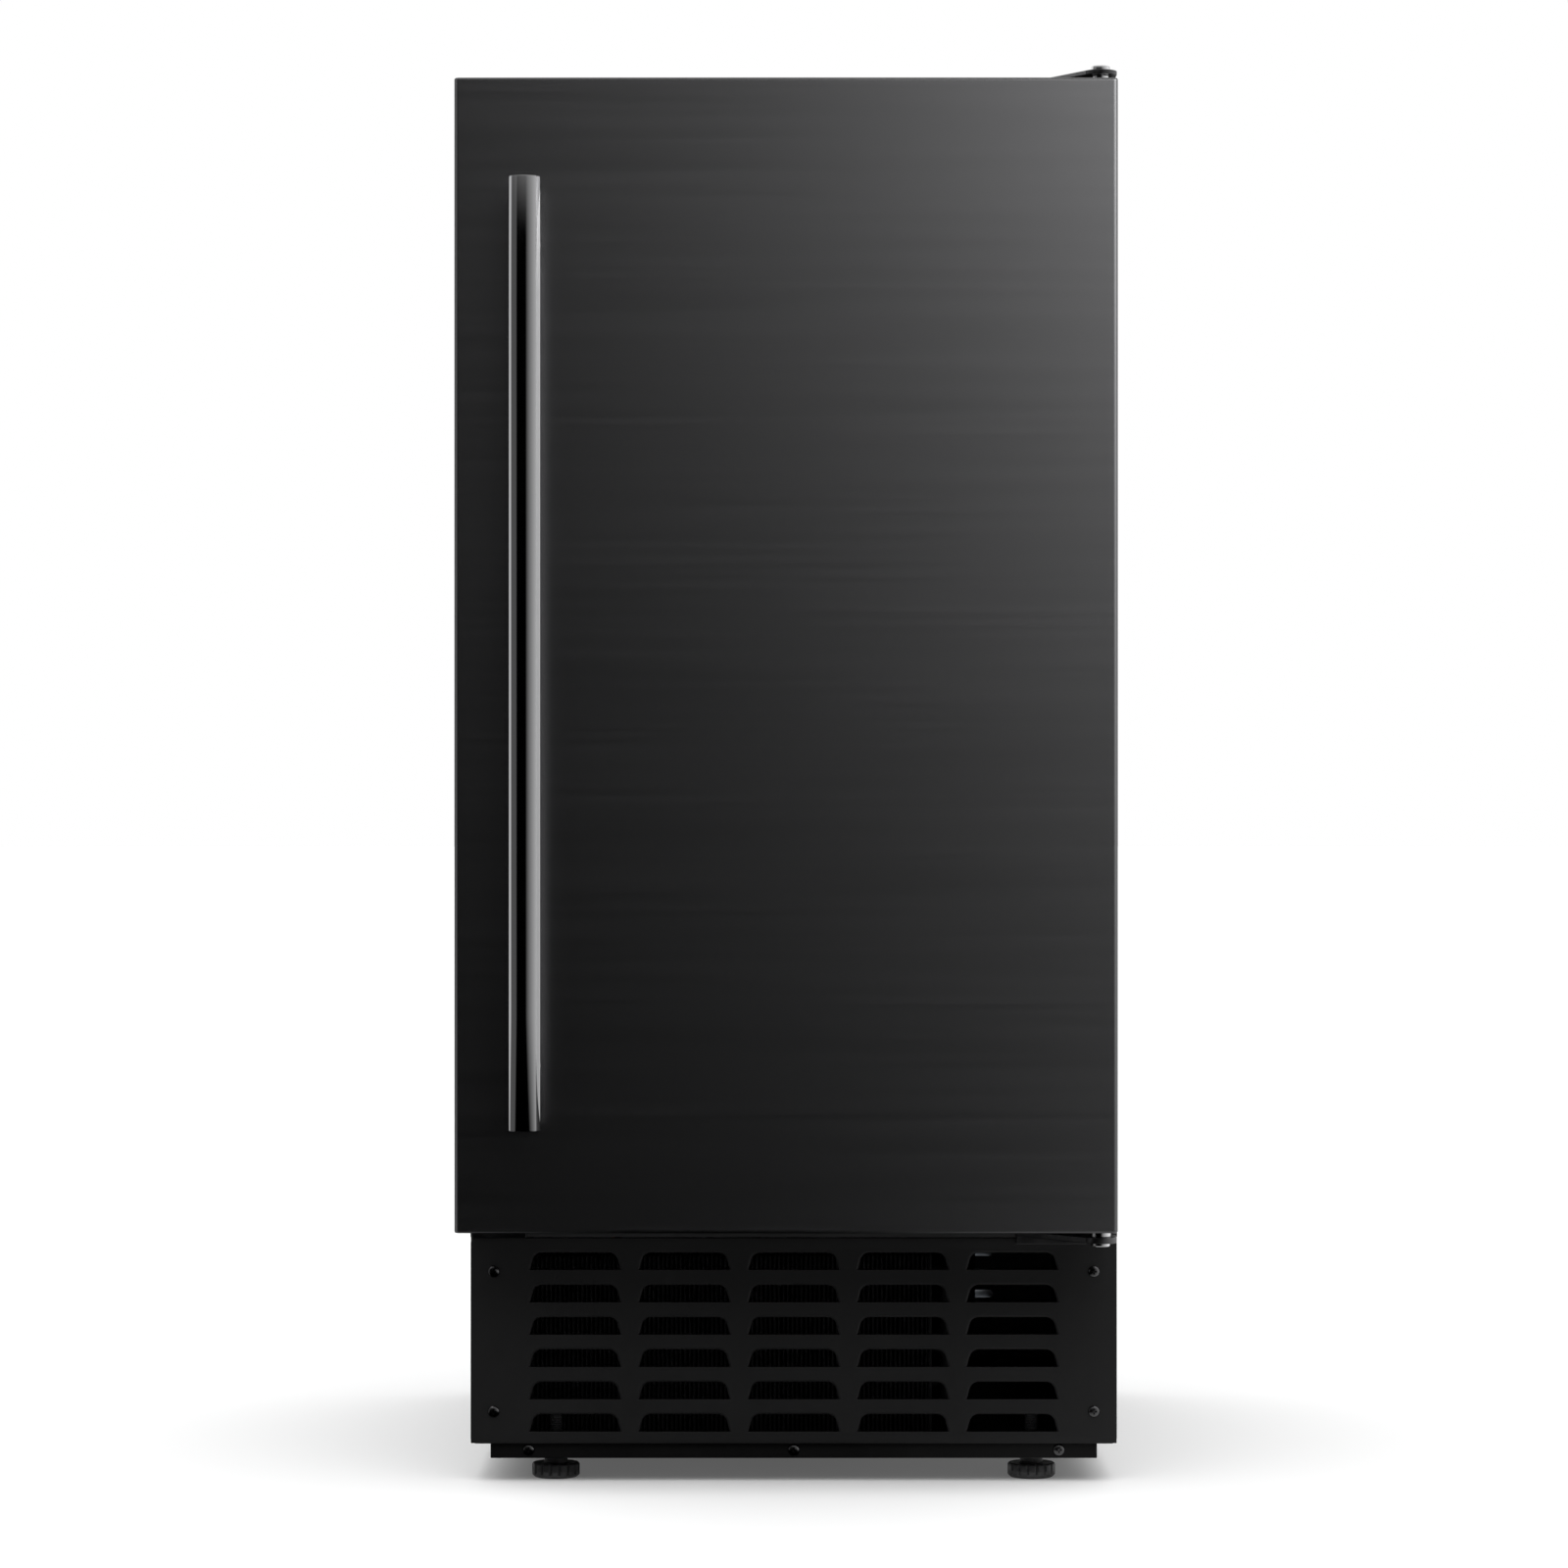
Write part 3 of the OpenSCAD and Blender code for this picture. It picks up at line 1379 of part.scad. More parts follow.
module fan_blade() {
    blade_count = 5;
    blade_t = 1.6;
    pitch_angle = 32;
    blade_w = 13;
    color(BLACK) difference() {
        union() {
            rod_y(fan_x, fan_y, fan_y + fan_hub_l, fan_z, fan_hub_r);
            translate([fan_x, fan_y + fan_hub_l / 2, fan_z]) intersection() {
                for (i = [0:blade_count - 1]) rotate([0, i * 360 / blade_count, 0])
                    rotate([0, 0, pitch_angle])
                        translate([-blade_w, -blade_t / 2, fan_hub_r * 0.6])
                            cube([2 * blade_w, blade_t, fan_d / 2]);
                rod_y(0, -fan_hub_l / 2, fan_hub_l / 2, 0, fan_d / 2);
            }
        }
        rod_y(fan_x, fan_y + shaft_in - gap, fan_y + fan_hub_l + 1, fan_z, shaft_r + run_fit);
    }
}

module filter_drier() {
    clip_half = 3;
    clip_half_l = 8;
    mid_y = drier_y + drier_l / 2;
    color(COPPER) union() {
        rod_y(drier_x, drier_y, drier_y + drier_l, drier_z, drier_r);
        for (y = [drier_y - drier_end_l, drier_y + drier_l])
            rod_y(drier_x, y, y + drier_end_l, drier_z, line_r + 1);
        block(drier_x - clip_half, drier_x + clip_half, mid_y - clip_half_l, mid_y + clip_half_l,
            floor_z, drier_z);
    }
}

// Discharge line to the condenser and liquid line on to the drier
module condenser_lines() {
    line_out = 6;
    z0 = cond_tube_z;
    y_back = cond_tube_ys[1];
    top_z = z0 + (cond_rows - 1) * cond_pitch;
    port_x = comp_x + port_side;
    port_z = discharge_port_z;
    low_x = cond_x0 - cond_tube_out - line_r;
    low_out_x = low_x - line_out;
    high_x = cond_x1 + cond_tube_out + line_r;
    out_x = high_x + line_gap;
    step_y = cond_back_y + drier_in / 2;
    color(COPPER) {
        run([[port_x, port_y + port_plug, port_z], [port_x, line_turn_y, port_z],
            [out_x, line_turn_y, port_z], [out_x, line_turn_y, top_z],
            [out_x, y_back, top_z], [high_x, y_back, top_z]], line_r);
        run([[low_x, y_back, z0], [low_out_x, y_back, z0], [low_out_x, step_y, z0],
            [low_out_x, step_y, drier_z], [drier_x, step_y, drier_z],
            [drier_x, drier_y - drier_end_l, drier_z]], line_r);
    }
}

// From the evaporator down the rear foam to the compressor
module suction_line() {
    under_z = upper_deck_z - line_bend;
    low_z = suction_port_z;
    port_x = comp_x - port_side;
    color(COPPER) run([[suction_x, bin_back_y, coil_high_z], [suction_x, riser_pipe_y, coil_high_z],
        [suction_x, riser_pipe_y, under_z], [suction_x, line_turn_y, under_z],
        [suction_x, line_turn_y, low_z], [port_x, line_turn_y, low_z],
        [port_x, port_y + port_plug, low_z]], line_r);
}

// Valve and line that warm the evaporator at harvest
module hot_gas_valve() {
    x = gas_pipe_x;
    y = riser_pipe_y;
    body_drop = 100;
    body_r = 10;
    body_h = 24;
    coil_half_w = 15;
    coil_half_d = 14;
    coil_h = 30;
    body_z = upper_deck_z - body_drop;
    coil_z = body_z + body_h;
    end_y = drier_y + drier_l + drier_end_l;
    turn_y = end_y + line_gap;
    color(COPPER) union() {
        run([[x, bin_back_y, coil_low_z], [x, y, coil_low_z], [x, y, drier_z],
            [x, turn_y, drier_z], [drier_x, turn_y, drier_z], [drier_x, end_y, drier_z]], line_r);
        rod_z(x, y, body_z, coil_z, body_r);
        block(x - coil_half_w, x + coil_half_w, y - coil_half_d, y + coil_half_d,
            coil_z, coil_z + coil_h);
    }
}

module water_inlet_valve() {
    y = rear_y - valve_back;
    neck_l = 20;
    body_w = 24;
    body_d = 16;
    body_h = 36;
    solenoid_r = 9;
    solenoid_z = valve_z + 10;
    solenoid_h = 36;
    color(WHITE) union() {
        rod_y(valve_x, rear_y - neck_l, cab_back_y, valve_z, valve_neck_r);
        rod_y(valve_x, cab_back_y, fitting_y, valve_z, valve_thread_r);
        block(valve_x - body_w / 2, valve_x + body_w / 2, rear_y - body_d, rear_y,
            valve_z - body_h / 2, valve_z + body_h / 2);
        rod_z(valve_x, y, solenoid_z, solenoid_z + solenoid_h, solenoid_r);
        rod_x(valve_x, valve_x + valve_outlet, y, valve_z, line_r);
    }
}

// From the inlet valve up the rear foam to the trough
module water_fill_tube() {
    y = rear_y - valve_back;
    fill_drop = 30;
    spout_l = 14;
    outlet_run = 5;
    under_z = upper_deck_z - fill_drop;
    rise_x = valve_x + valve_outlet + outlet_run;
    color(WHITE) run([[valve_x + valve_outlet, y, valve_z], [rise_x, y, valve_z],
        [rise_x, y, under_z], [fill_x, y, under_z], [fill_x, riser_pipe_y, under_z],
        [fill_x, riser_pipe_y, fill_z], [fill_x, bin_back_y - spout_l, fill_z]], line_r);
}

// Strain relief that the power cord passes through
module cord_gland() {
    in_y = rear_y - 6;
    out_y = cab_back_y + 4;
    nut_l = 3;
    tail_l = 8;
    tail_r = 6;
    color(BLACK) difference() {
        union() {
            rod_y(gland_x, in_y, cab_back_y, gland_z, gland_neck_r);
            rod_y(gland_x, cab_back_y, out_y, gland_z, gland_r);
            rod_y(gland_x, out_y, out_y + tail_l, gland_z, tail_r);
            rod_y(gland_x, in_y - nut_l, in_y, gland_z, gland_r);
        }
        rod_y(gland_x, in_y - nut_l - 1, fitting_y, gland_z, cord_r);
    }
}

// --- door ---
// Door outline in X and Y with rounded front edges, shrunk inwards by g
module door_outline(g, y1) {
    r = door_edge_r - min(g, door_edge_r - 0.5);
    x0 = door_x0 + g;
    x1 = door_x1 - g;
    y0 = door_y + g;
    rect(x0, x1, y0 + r, y1);
    rect(x0 + r, x1 - r, y0, y1);
    for (x = [x0 + r, x1 - r]) translate([x, y0 + r]) circle(r = r);
}

module door_solid(g, y1) {
    translate([0, 0, door_z + g]) linear_extrude(height = door_h - 2 * g) door_outline(g, y1);
}

// Both hinge bushings, grown by g
module bushing_holes(g) {
    rod_z(pin_x, pin_y, door_z - 1, door_z + bushing_l + g, bushing_d / 2 + g);
    rod_z(pin_x, pin_y, door_top - bushing_l - g, door_top + 1, bushing_d / 2 + g);
}

module door_skin() {
    skin_y1 = door_back_y - door_liner_t;
    color(STEEL) difference() {
        door_solid(0, skin_y1);
        door_solid(skin_t, skin_y1 + 1);
        bushing_holes(hole_fit);
        for (z = post_zs)
            rod_y(handle_x, door_y - 1, door_y + skin_t + 1, z, handle_screw_r + hole_fit);
    }
}

// Space inside the raised panel of the door liner, shrunk by g
module dike(g, y0) {
    block(seal_x0 + dike_edge + g, seal_x1 - dike_edge - g, y0, door_back_y + dike_t - g,
        seal_z0 + dike_edge + g, seal_z1 - dike_edge - g);
}

module door_liner() {
    y0 = door_back_y - door_liner_t;
    color(WHITE) difference() {
        union() {
            block(door_x0 + skin_t, door_x1 - skin_t, y0, door_back_y, door_z + skin_t, door_top - skin_t);
            dike(0, y0);
        }
        dike(door_liner_t, y0 - 1);
    }
}

module door_foam() {
    color(FOAM) difference() {
        union() {
            door_solid(skin_t, door_back_y - door_liner_t);
            dike(door_liner_t, door_back_y - door_liner_t - 1);
        }
        bushing_holes(hole_fit);
        for (z = post_zs)
            rod_y(handle_x, door_y, door_y + skin_t + handle_screw_head_h + hole_fit, z,
                handle_screw_head_r + hole_fit);
    }
}

// Rectangular ring in X and Z, centred on the seal line
module seal_ring(y0, y1, w) {
    upright(y0, y1) difference() {
        round_rect(seal_x0 - w / 2, seal_x1 + w / 2, seal_z0 - w / 2, seal_z1 + w / 2, w / 2 + 2);
        rect(seal_x0 + w / 2, seal_x1 - w / 2, seal_z0 + w / 2, seal_z1 - w / 2);
    }
}

module door_gasket() {
    y0 = door_back_y;
    y1 = cab_y - gap;
    foot_l = 3;
    magnet_l = 5;
    color(RUBBER) union() {
        seal_ring(y0, y0 + foot_l, gasket_w);
        seal_ring(y0 + foot_l - 1, y1 - magnet_l + 1, gasket_neck_w);
        seal_ring(y1 - magnet_l, y1, gasket_w);
    }
}

module handle_bar() {
    r = handle_d / 2;
    edge = 0.6;
    color(STEEL) difference() {
        translate([handle_x, handle_y, 0]) union() {
            translate([0, 0, handle_z0]) cylinder(h = edge, r1 = r - edge, r2 = r);
            translate([0, 0, handle_z0 + edge]) cylinder(h = handle_l - 2 * edge, r = r);
            translate([0, 0, handle_z1 - edge]) cylinder(h = edge, r1 = r, r2 = r - edge);
        }
        for (z = post_zs)
            rod_y(handle_x, handle_y + post_seat, handle_y + r + 1, z, post_d / 2 + run_fit);
    }
}

module handle_posts() {
    base_t2 = 1.5;
    color(STEEL) for (z = post_zs) difference() {
        union() {
            rod_y(handle_x, handle_y + post_seat, door_y, z, post_d / 2);
            rod_y(handle_x, door_y - base_t2, door_y, z, post_base_d / 2);
        }
        rod_y(handle_x, door_y - handle_screw_l - 2, door_y + 1, z, handle_screw_r + run_fit);
    }
}

module handle_screws() {
    head_y = door_y + skin_t;
    color(ZINC) for (z = post_zs) {
        rod_y(handle_x, head_y, head_y + handle_screw_head_h, z, handle_screw_head_r);
        rod_y(handle_x, door_y - handle_screw_l, head_y, z, handle_screw_r);
    }
}

module door_bushings() {
    color(WHITE) {
        ring_z(pin_x, pin_y, door_z, door_z + bushing_l, bushing_d / 2, pin_r + run_fit);
        ring_z(pin_x, pin_y, door_top - bushing_l, door_top, bushing_d / 2, pin_r + run_fit);
    }
}

base_pan();
lower_crossbar();
side_panel_left();
side_panel_right();
top_panel();
rear_panel();
panel_screws();
front_crossbar();
machine_deck();
front_grille();
front_screws();
hinge_blank_plate();
top_hinge_plate();
bottom_hinge_bracket();
hinge_pins();
cabinet_foam();
inner_liner();
bin_guard();
drain_pipe();
evaporator_frame();
evaporator_plate();
evaporator_coil();
distributor_tube();
water_trough();
water_pump();
pump_hose();
control_housing();
control_board();
display_lens();
bin_lamp();
compressor();
compressor_grommets();
condenser();
fan_shroud();
fan_motor();
filter_drier();
condenser_lines();
suction_line();
hot_gas_valve();
water_inlet_valve();
water_fill_tube();
cord_gland();
foot_front_left();
foot_front_right();
foot_rear_left();
foot_rear_right();
level_float();
ice_curtain();
power_button();
clean_button();
light_button();
fan_blade();
door_skin();
door_liner();
door_foam();
door_gasket();
handle_bar();
handle_posts();
handle_screws();
door_bushings();
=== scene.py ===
"""Finished look of an under-counter ice maker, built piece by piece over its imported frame."""

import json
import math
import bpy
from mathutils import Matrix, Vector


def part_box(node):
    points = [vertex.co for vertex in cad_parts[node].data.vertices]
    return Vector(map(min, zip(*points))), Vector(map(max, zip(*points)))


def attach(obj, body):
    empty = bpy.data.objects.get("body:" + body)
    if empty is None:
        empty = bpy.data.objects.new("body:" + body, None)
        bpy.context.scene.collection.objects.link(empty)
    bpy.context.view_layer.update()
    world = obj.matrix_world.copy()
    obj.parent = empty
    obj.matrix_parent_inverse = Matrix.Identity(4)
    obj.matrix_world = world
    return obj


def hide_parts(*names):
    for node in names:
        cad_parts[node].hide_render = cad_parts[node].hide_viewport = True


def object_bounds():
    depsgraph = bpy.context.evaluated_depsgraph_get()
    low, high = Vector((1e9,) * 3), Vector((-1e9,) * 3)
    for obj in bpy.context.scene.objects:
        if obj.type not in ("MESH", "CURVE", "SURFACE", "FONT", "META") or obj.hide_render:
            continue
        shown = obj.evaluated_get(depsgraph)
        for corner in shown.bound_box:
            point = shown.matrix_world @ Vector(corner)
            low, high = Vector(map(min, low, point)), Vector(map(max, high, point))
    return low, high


bl_info = {
    "name": "Under-counter Ice Maker",
    "version": (1, 0, 0),
    "blender": (4, 5, 0),
    "location": "View3D > Sidebar > Ice Maker",
    "description": "Dresses the frame of an under-counter ice maker in finished pieces",
    "category": "Object",
}

import bmesh
import bpy
from bpy.props import FloatProperty, FloatVectorProperty, PointerProperty
from mathutils import Vector

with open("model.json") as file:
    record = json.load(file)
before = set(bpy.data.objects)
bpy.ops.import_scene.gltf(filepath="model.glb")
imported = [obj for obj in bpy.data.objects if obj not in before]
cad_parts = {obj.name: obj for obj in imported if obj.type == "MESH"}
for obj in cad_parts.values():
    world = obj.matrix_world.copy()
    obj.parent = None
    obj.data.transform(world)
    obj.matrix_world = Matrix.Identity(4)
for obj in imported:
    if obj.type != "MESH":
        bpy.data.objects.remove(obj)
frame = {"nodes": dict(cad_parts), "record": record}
bare_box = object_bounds()
owner = {n: b for b, ns in frame["record"]["behaviour"]["bodies"].items() for n in ns}
door_lo, door_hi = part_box("door_skin")
body_lo, body_hi = bare_box
MM = 0.001
SHARP = math.radians(35)


# ---------------------------------------------------------------- outlines and solids


def round_rect(u0, v0, u1, v1, radius, steps=5):
    """Closed outline of a rectangle with round corners."""
    radius = max(min(radius, (u1 - u0) / 2.001, (v1 - v0) / 2.001), 1e-6)
    outline = []
    for u, v, start in (
        (u1 - radius, v0 + radius, -90),
        (u1 - radius, v1 - radius, 0),
        (u0 + radius, v1 - radius, 90),
        (u0 + radius, v0 + radius, 180),
    ):
        outline += arc(u, v, radius, [start + 90 * i / steps for i in range(steps + 1)])
    return outline


def arc(u, v, radius, turns):
    """Points of a circle at these angles, in degrees."""
    turns = [math.radians(t) for t in turns]
    return [(u + radius * math.cos(t), v + radius * math.sin(t)) for t in turns]


def circle(u, v, radius, steps=32):
    """Closed outline of a circle."""
    return arc(u, v, radius, [360 * i / steps for i in range(steps)])


def inset(lo, hi, step, radius, axis="Y", steps=5):
    """A box's outline seen along an axis, moved inwards by a step, with round corners."""
    u, v = {"X": (1, 2), "Y": (0, 2), "Z": (0, 1)}[axis]
    return round_rect(lo[u] + step, lo[v] + step, hi[u] - step, hi[v] - step, radius, steps)


def scaled(profile, base=0.0):
    """A profile of pairs in millimetres, its second numbers counted from a base."""
    return [(r * MM, base + d * MM) for r, d in profile]


def at(outline, axis, along):
    """The outline's points in the frame, at a distance along X, Y or Z."""
    if axis == "X":
        return [Vector((along, u, v)) for u, v in outline]
    if axis == "Y":
        return [Vector((u, along, v)) for u, v in outline]
    return [Vector((u, v, along)) for u, v in outline]


def skin(bm, rings, first=True, last=True):
    """Skins a stack of equal rings and closes its ends."""
    rows = [[bm.verts.new(p) for p in ring] for ring in rings]
    count = len(rows[0])
    for low, high in zip(rows, rows[1:]):
        for i in range(count):
            j = (i + 1) % count
            bm.faces.new((low[i], low[j], high[j], high[i]))
    if first:
        bm.faces.new(list(reversed(rows[0])))
    if last:
        bm.faces.new(rows[-1])
    return rows


def quilt(bm, rows):
    """Fills the cells of a grid of vertices."""
    for low, high in zip(rows, rows[1:]):
        for a, b, c, d in zip(low, low[1:], high[1:], high):
            bm.faces.new((a, b, c, d))


def circles(profile, centre, axis, steps):
    """The circles of a profile of (radius, distance) pairs round an axis through a point."""
    flat = {"X": (centre[1], centre[2]), "Y": (centre[0], centre[2])}
    u, v = flat.get(axis, (centre[0], centre[1]))
    start = centre["XYZ".index(axis)]
    return [at(circle(u, v, max(r, 0.02 * MM), steps), axis, start + d) for r, d in profile]


def turned(bm, profile, centre, axis="Z", steps=48):
    """Turns a profile round an axis, as a solid."""
    skin(bm, circles(profile, centre, axis, steps))


def turned_ring(bm, profile, centre, axis="Z", steps=40):
    """Turns a closed profile round an axis, as a ring with an open bore."""
    rings = circles(profile, centre, axis, steps)
    skin(bm, rings + rings[:1], first=False, last=False)


def drum(bm, centre, radius, low, high, axis="Z", edge=0.0005, steps=48):
    """A turned cylinder between two distances, with round edges."""
    edge = min(edge, (high - low) / 2.1, radius * 0.9)
    foot = arc(radius - edge, low + edge, edge, (-90, -60, -30, 0))
    head = [(r, low + high - d) for r, d in reversed(foot)]
    turned(bm, foot + head, centre, axis, steps)


def slab(bm, low, high, edge=0.0006, segments=2):
    """A block between two corners, with round edges."""
    made = bmesh.ops.create_cube(bm, size=1.0)["verts"]
    low, high = Vector(low), Vector(high)
    for v in made:
        v.co = Vector([low[i] if v.co[i] < 0 else high[i] for i in range(3)])
    edges = list(dict.fromkeys(e for v in made for e in v.link_edges))
    edge = min([edge] + [s * 0.45 for s in high - low])
    bmesh.ops.bevel(bm, geom=edges, offset=edge, segments=segments, profile=0.5, affect="EDGES")


def rounding(start, corner, end, steps):
    """Points of the circular arc that touches both sides of a corner."""
    weight = math.sin((start - corner).angle(end - corner) / 2)
    arc = []
    for i in range(steps + 1):
        t = i / steps
        a, b, c = (1 - t) ** 2, 2 * weight * t * (1 - t), t * t
        arc.append((start * a + corner * b + end * c) / (a + b + c))
    return arc


def bent(points, bend, steps=6):
    """A line through the points with its corners rounded to a bend radius."""
    points = [Vector(p) for p in points]
    line = [points[0]]
    for before, corner, after in zip(points, points[1:], points[2:]):
        come, leave = (before - corner), (after - corner)
        angle = come.angle(leave)
        reach = min(bend / math.tan(angle / 2), come.length * 0.5, leave.length * 0.5)
        start, end = corner + come.normalized() * reach, corner + leave.normalized() * reach
        line += rounding(start, corner, end, steps)
    line.append(points[-1])
    return line


def tube(bm, points, radius, bend=0.012, steps=14, corner_steps=6):
    """A round pipe along a route, with round bends."""
    line = bent(points, bend, corner_steps)
    line = [p for i, p in enumerate(line) if i == 0 or (p - line[i - 1]).length > 1e-6]
    heading = (line[1] - line[0]).normalized()
    side = heading.orthogonal().normalized()
    rings = []
    for i, p in enumerate(line):
        ahead = (line[min(i + 1, len(line) - 1)] - line[max(i - 1, 0)]).normalized()
        side = (heading.rotation_difference(ahead) @ side).normalized()
        heading = ahead
        other = heading.cross(side)
        turns = [math.tau * k / steps for k in range(steps)]
        rings.append([p + (side * math.cos(t) + other * math.sin(t)) * radius for t in turns])
    skin(bm, rings)


def route(start, *turns):
    """A line along one axis at a time: after its start, pairs of an axis and where it goes."""
    line = [Vector(start)]
    for axis, value in zip(turns[::2], turns[1::2]):
        corner = line[-1].copy()
        corner["xyz".index(axis)] = value
        line.append(corner)
    return line


def plate(bm, outline, holes, axis, low, high, edge=0.0003, resolution=1):
    """A flat plate cut to an outline with holes, its edges eased on both faces."""
    curve = bpy.data.curves.new("outline", "CURVE")
    curve.dimensions = "2D"
    curve.fill_mode = "BOTH"
    curve.extrude = (high - low) / 2 - edge
    if edge:
        curve.bevel_depth = edge
        curve.bevel_resolution = resolution
        curve.offset = -edge
    for loop in (outline, *holes):
        spline = curve.splines.new("POLY")
        spline.points.add(len(loop) - 1)
        spline.use_cyclic_u = True
        for point, (u, v) in zip(spline.points, loop):
            point.co = (u, v, 0.0, 1.0)
    carrier = bpy.data.objects.new("outline", curve)
    flat = bmesh.new()
    flat.from_mesh(carrier.to_mesh())
    bmesh.ops.remove_doubles(flat, verts=flat.verts, dist=1e-6)
    middle = (low + high) / 2
    for v in flat.verts:
        u, w, d = v.co
        v.co = at([(u, w)], axis, middle + d)[0]
    bmesh.ops.recalc_face_normals(flat, faces=flat.faces)
    done = bpy.data.meshes.new("plate")
    flat.to_mesh(done)
    flat.free()
    bm.from_mesh(done)
    bpy.data.meshes.remove(done)
    bpy.data.objects.remove(carrier)
    bpy.data.curves.remove(curve)


def eased(bm, width, segments=2):
    """Rounds the sharp edges of a solid."""
    sharp = [e for e in bm.edges if e.is_manifold and e.calc_face_angle(0.0) > SHARP]
    bmesh.ops.bevel(
        bm, geom=sharp, offset=width, segments=segments, profile=0.5, affect="EDGES", clamp_overlap=False
    )


def shown(name, bm):
    """Makes an object of a solid and puts it in the scene."""
    mesh = bpy.data.meshes.new(name)
    bm.to_mesh(mesh)
    bm.free()
    made = bpy.data.objects.new(name, mesh)
    bpy.context.scene.collection.objects.link(made)
    return made


def piece(name, bm, node, finish, smooth=32.0, solid=True, sheet=0.0, side=-1.0):
    """Makes a piece of a solid or a sheet: it rides on its node's body and stands for the node."""
    if solid:
        bmesh.ops.remove_doubles(bm, verts=bm.verts, dist=1e-7)
        bmesh.ops.recalc_face_normals(bm, faces=bm.faces)
    made = shown(name, bm)
    made.data.materials.append(finishes[finish])
    if sheet:
        wall = made.modifiers.new("sheet", "SOLIDIFY")
        wall.thickness = sheet
        wall.offset = side
        wall.use_even_offset = True
    settled(made, smooth)
    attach(made, owner[node])
    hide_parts(node)
    return made


def settled(made, smooth=32.0):
    """Turns a piece's modifiers into its mesh, smooth but crisp where it turns sharply."""
    if made.modifiers:
        bpy.context.view_layer.update()
        shape = made.evaluated_get(bpy.context.evaluated_depsgraph_get())
        made.data = bpy.data.meshes.new_from_object(shape)
        made.modifiers.clear()
    made.data.shade_smooth()
    made.data.set_sharp_from_angle(angle=math.radians(smooth))


def softened(node, finish, width, segments=1):
    """The CAD node's own shape with its sharp edges rounded, as a piece."""
    bm = bmesh.new()
    bm.from_mesh(frame["nodes"][node].data)
    bmesh.ops.remove_doubles(bm, verts=bm.verts, dist=2e-6)
    bmesh.ops.dissolve_limit(bm, angle_limit=math.radians(0.8), verts=bm.verts, edges=bm.edges)
    if width:
        eased(bm, width, segments=segments)
    return level_flats(piece(node + "_formed", bm, node, finish, solid=False))


def level_flats(made):
    """Lets the wide faces of a piece set its shading, so that they look flat."""
    flats = made.modifiers.new("flats", "WEIGHTED_NORMAL")
    flats.keep_sharp = True
    return made


def carve(made, cutter):
    """Cuts a solid away from a piece."""
    bmesh.ops.recalc_face_normals(cutter, faces=cutter.faces)
    tool = shown("cutter", cutter)
    cut = made.modifiers.new("cut", "BOOLEAN")
    cut.object = tool
    cut.operation = "DIFFERENCE"
    cut.solver = "EXACT"
    settled(made)
    bpy.data.objects.remove(tool)


def axis_box(node, inset):
    """The corners of a node's box moved inwards, where the axes of its outer pipes run."""
    lo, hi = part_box(node)
    step = Vector((inset, inset, inset))
    return lo + step, hi - step


def screw(bm, cutter, seat, outward, head, rise, shank, length, recess=0.0):
    """A domed screw on a surface, and the cutter of its cross recess."""
    turn = outward.to_track_quat("Z", "Y").to_matrix().to_4x4()
    turn.translation = seat
    tool = bmesh.new()
    profile = [(0, -length), (shank - 0.3 * MM, -length), (shank, 0.4 * MM - length), (shank, 0)]
    profile += [(head - 0.1 * MM, 0), (head, 0.25 * MM)]
    for i in range(1, 9):
        lean = math.radians(90 * i / 8)
        profile.append((head * math.cos(lean), 0.25 * MM + (rise - 0.25 * MM) * math.sin(lean)))
    turned(tool, profile, (0, 0, 0), "Z", 32)
    merged(bm, tool, turn)
    if recess:
        long, thin = recess / 2, recess * 0.14
        arms = [(long, -thin), (long, thin), (thin, thin), (thin, long), (-thin, long), (-thin, thin)]
        arms += [(-u, -v) for u, v in arms]
        tool = bmesh.new()
        levels = ((rise + MM, 1.0), (rise - 0.35 * MM, 1.0), (rise - 1.35 * MM, 0.5))
        skin(tool, [at([(u * k, v * k) for u, v in arms], "Z", z) for z, k in levels])
        merged(cutter, tool, turn)


def merged(bm, part, matrix):
    """Adds a part to a solid, placed by a matrix."""
    bmesh.ops.transform(part, matrix=matrix, verts=part.verts)
    mesh = bpy.data.meshes.new("part")
    part.to_mesh(mesh)
    part.free()
    bm.from_mesh(mesh)
    bpy.data.meshes.remove(mesh)


# ---------------------------------------------------------------- finishes


SPECKS, CELLS = "ShaderNodeTexNoise", "ShaderNodeTexVoronoi"
EVEN = (1, 1, 1)
RANGE = ("From Min", "From Max", "To Min", "To Max")


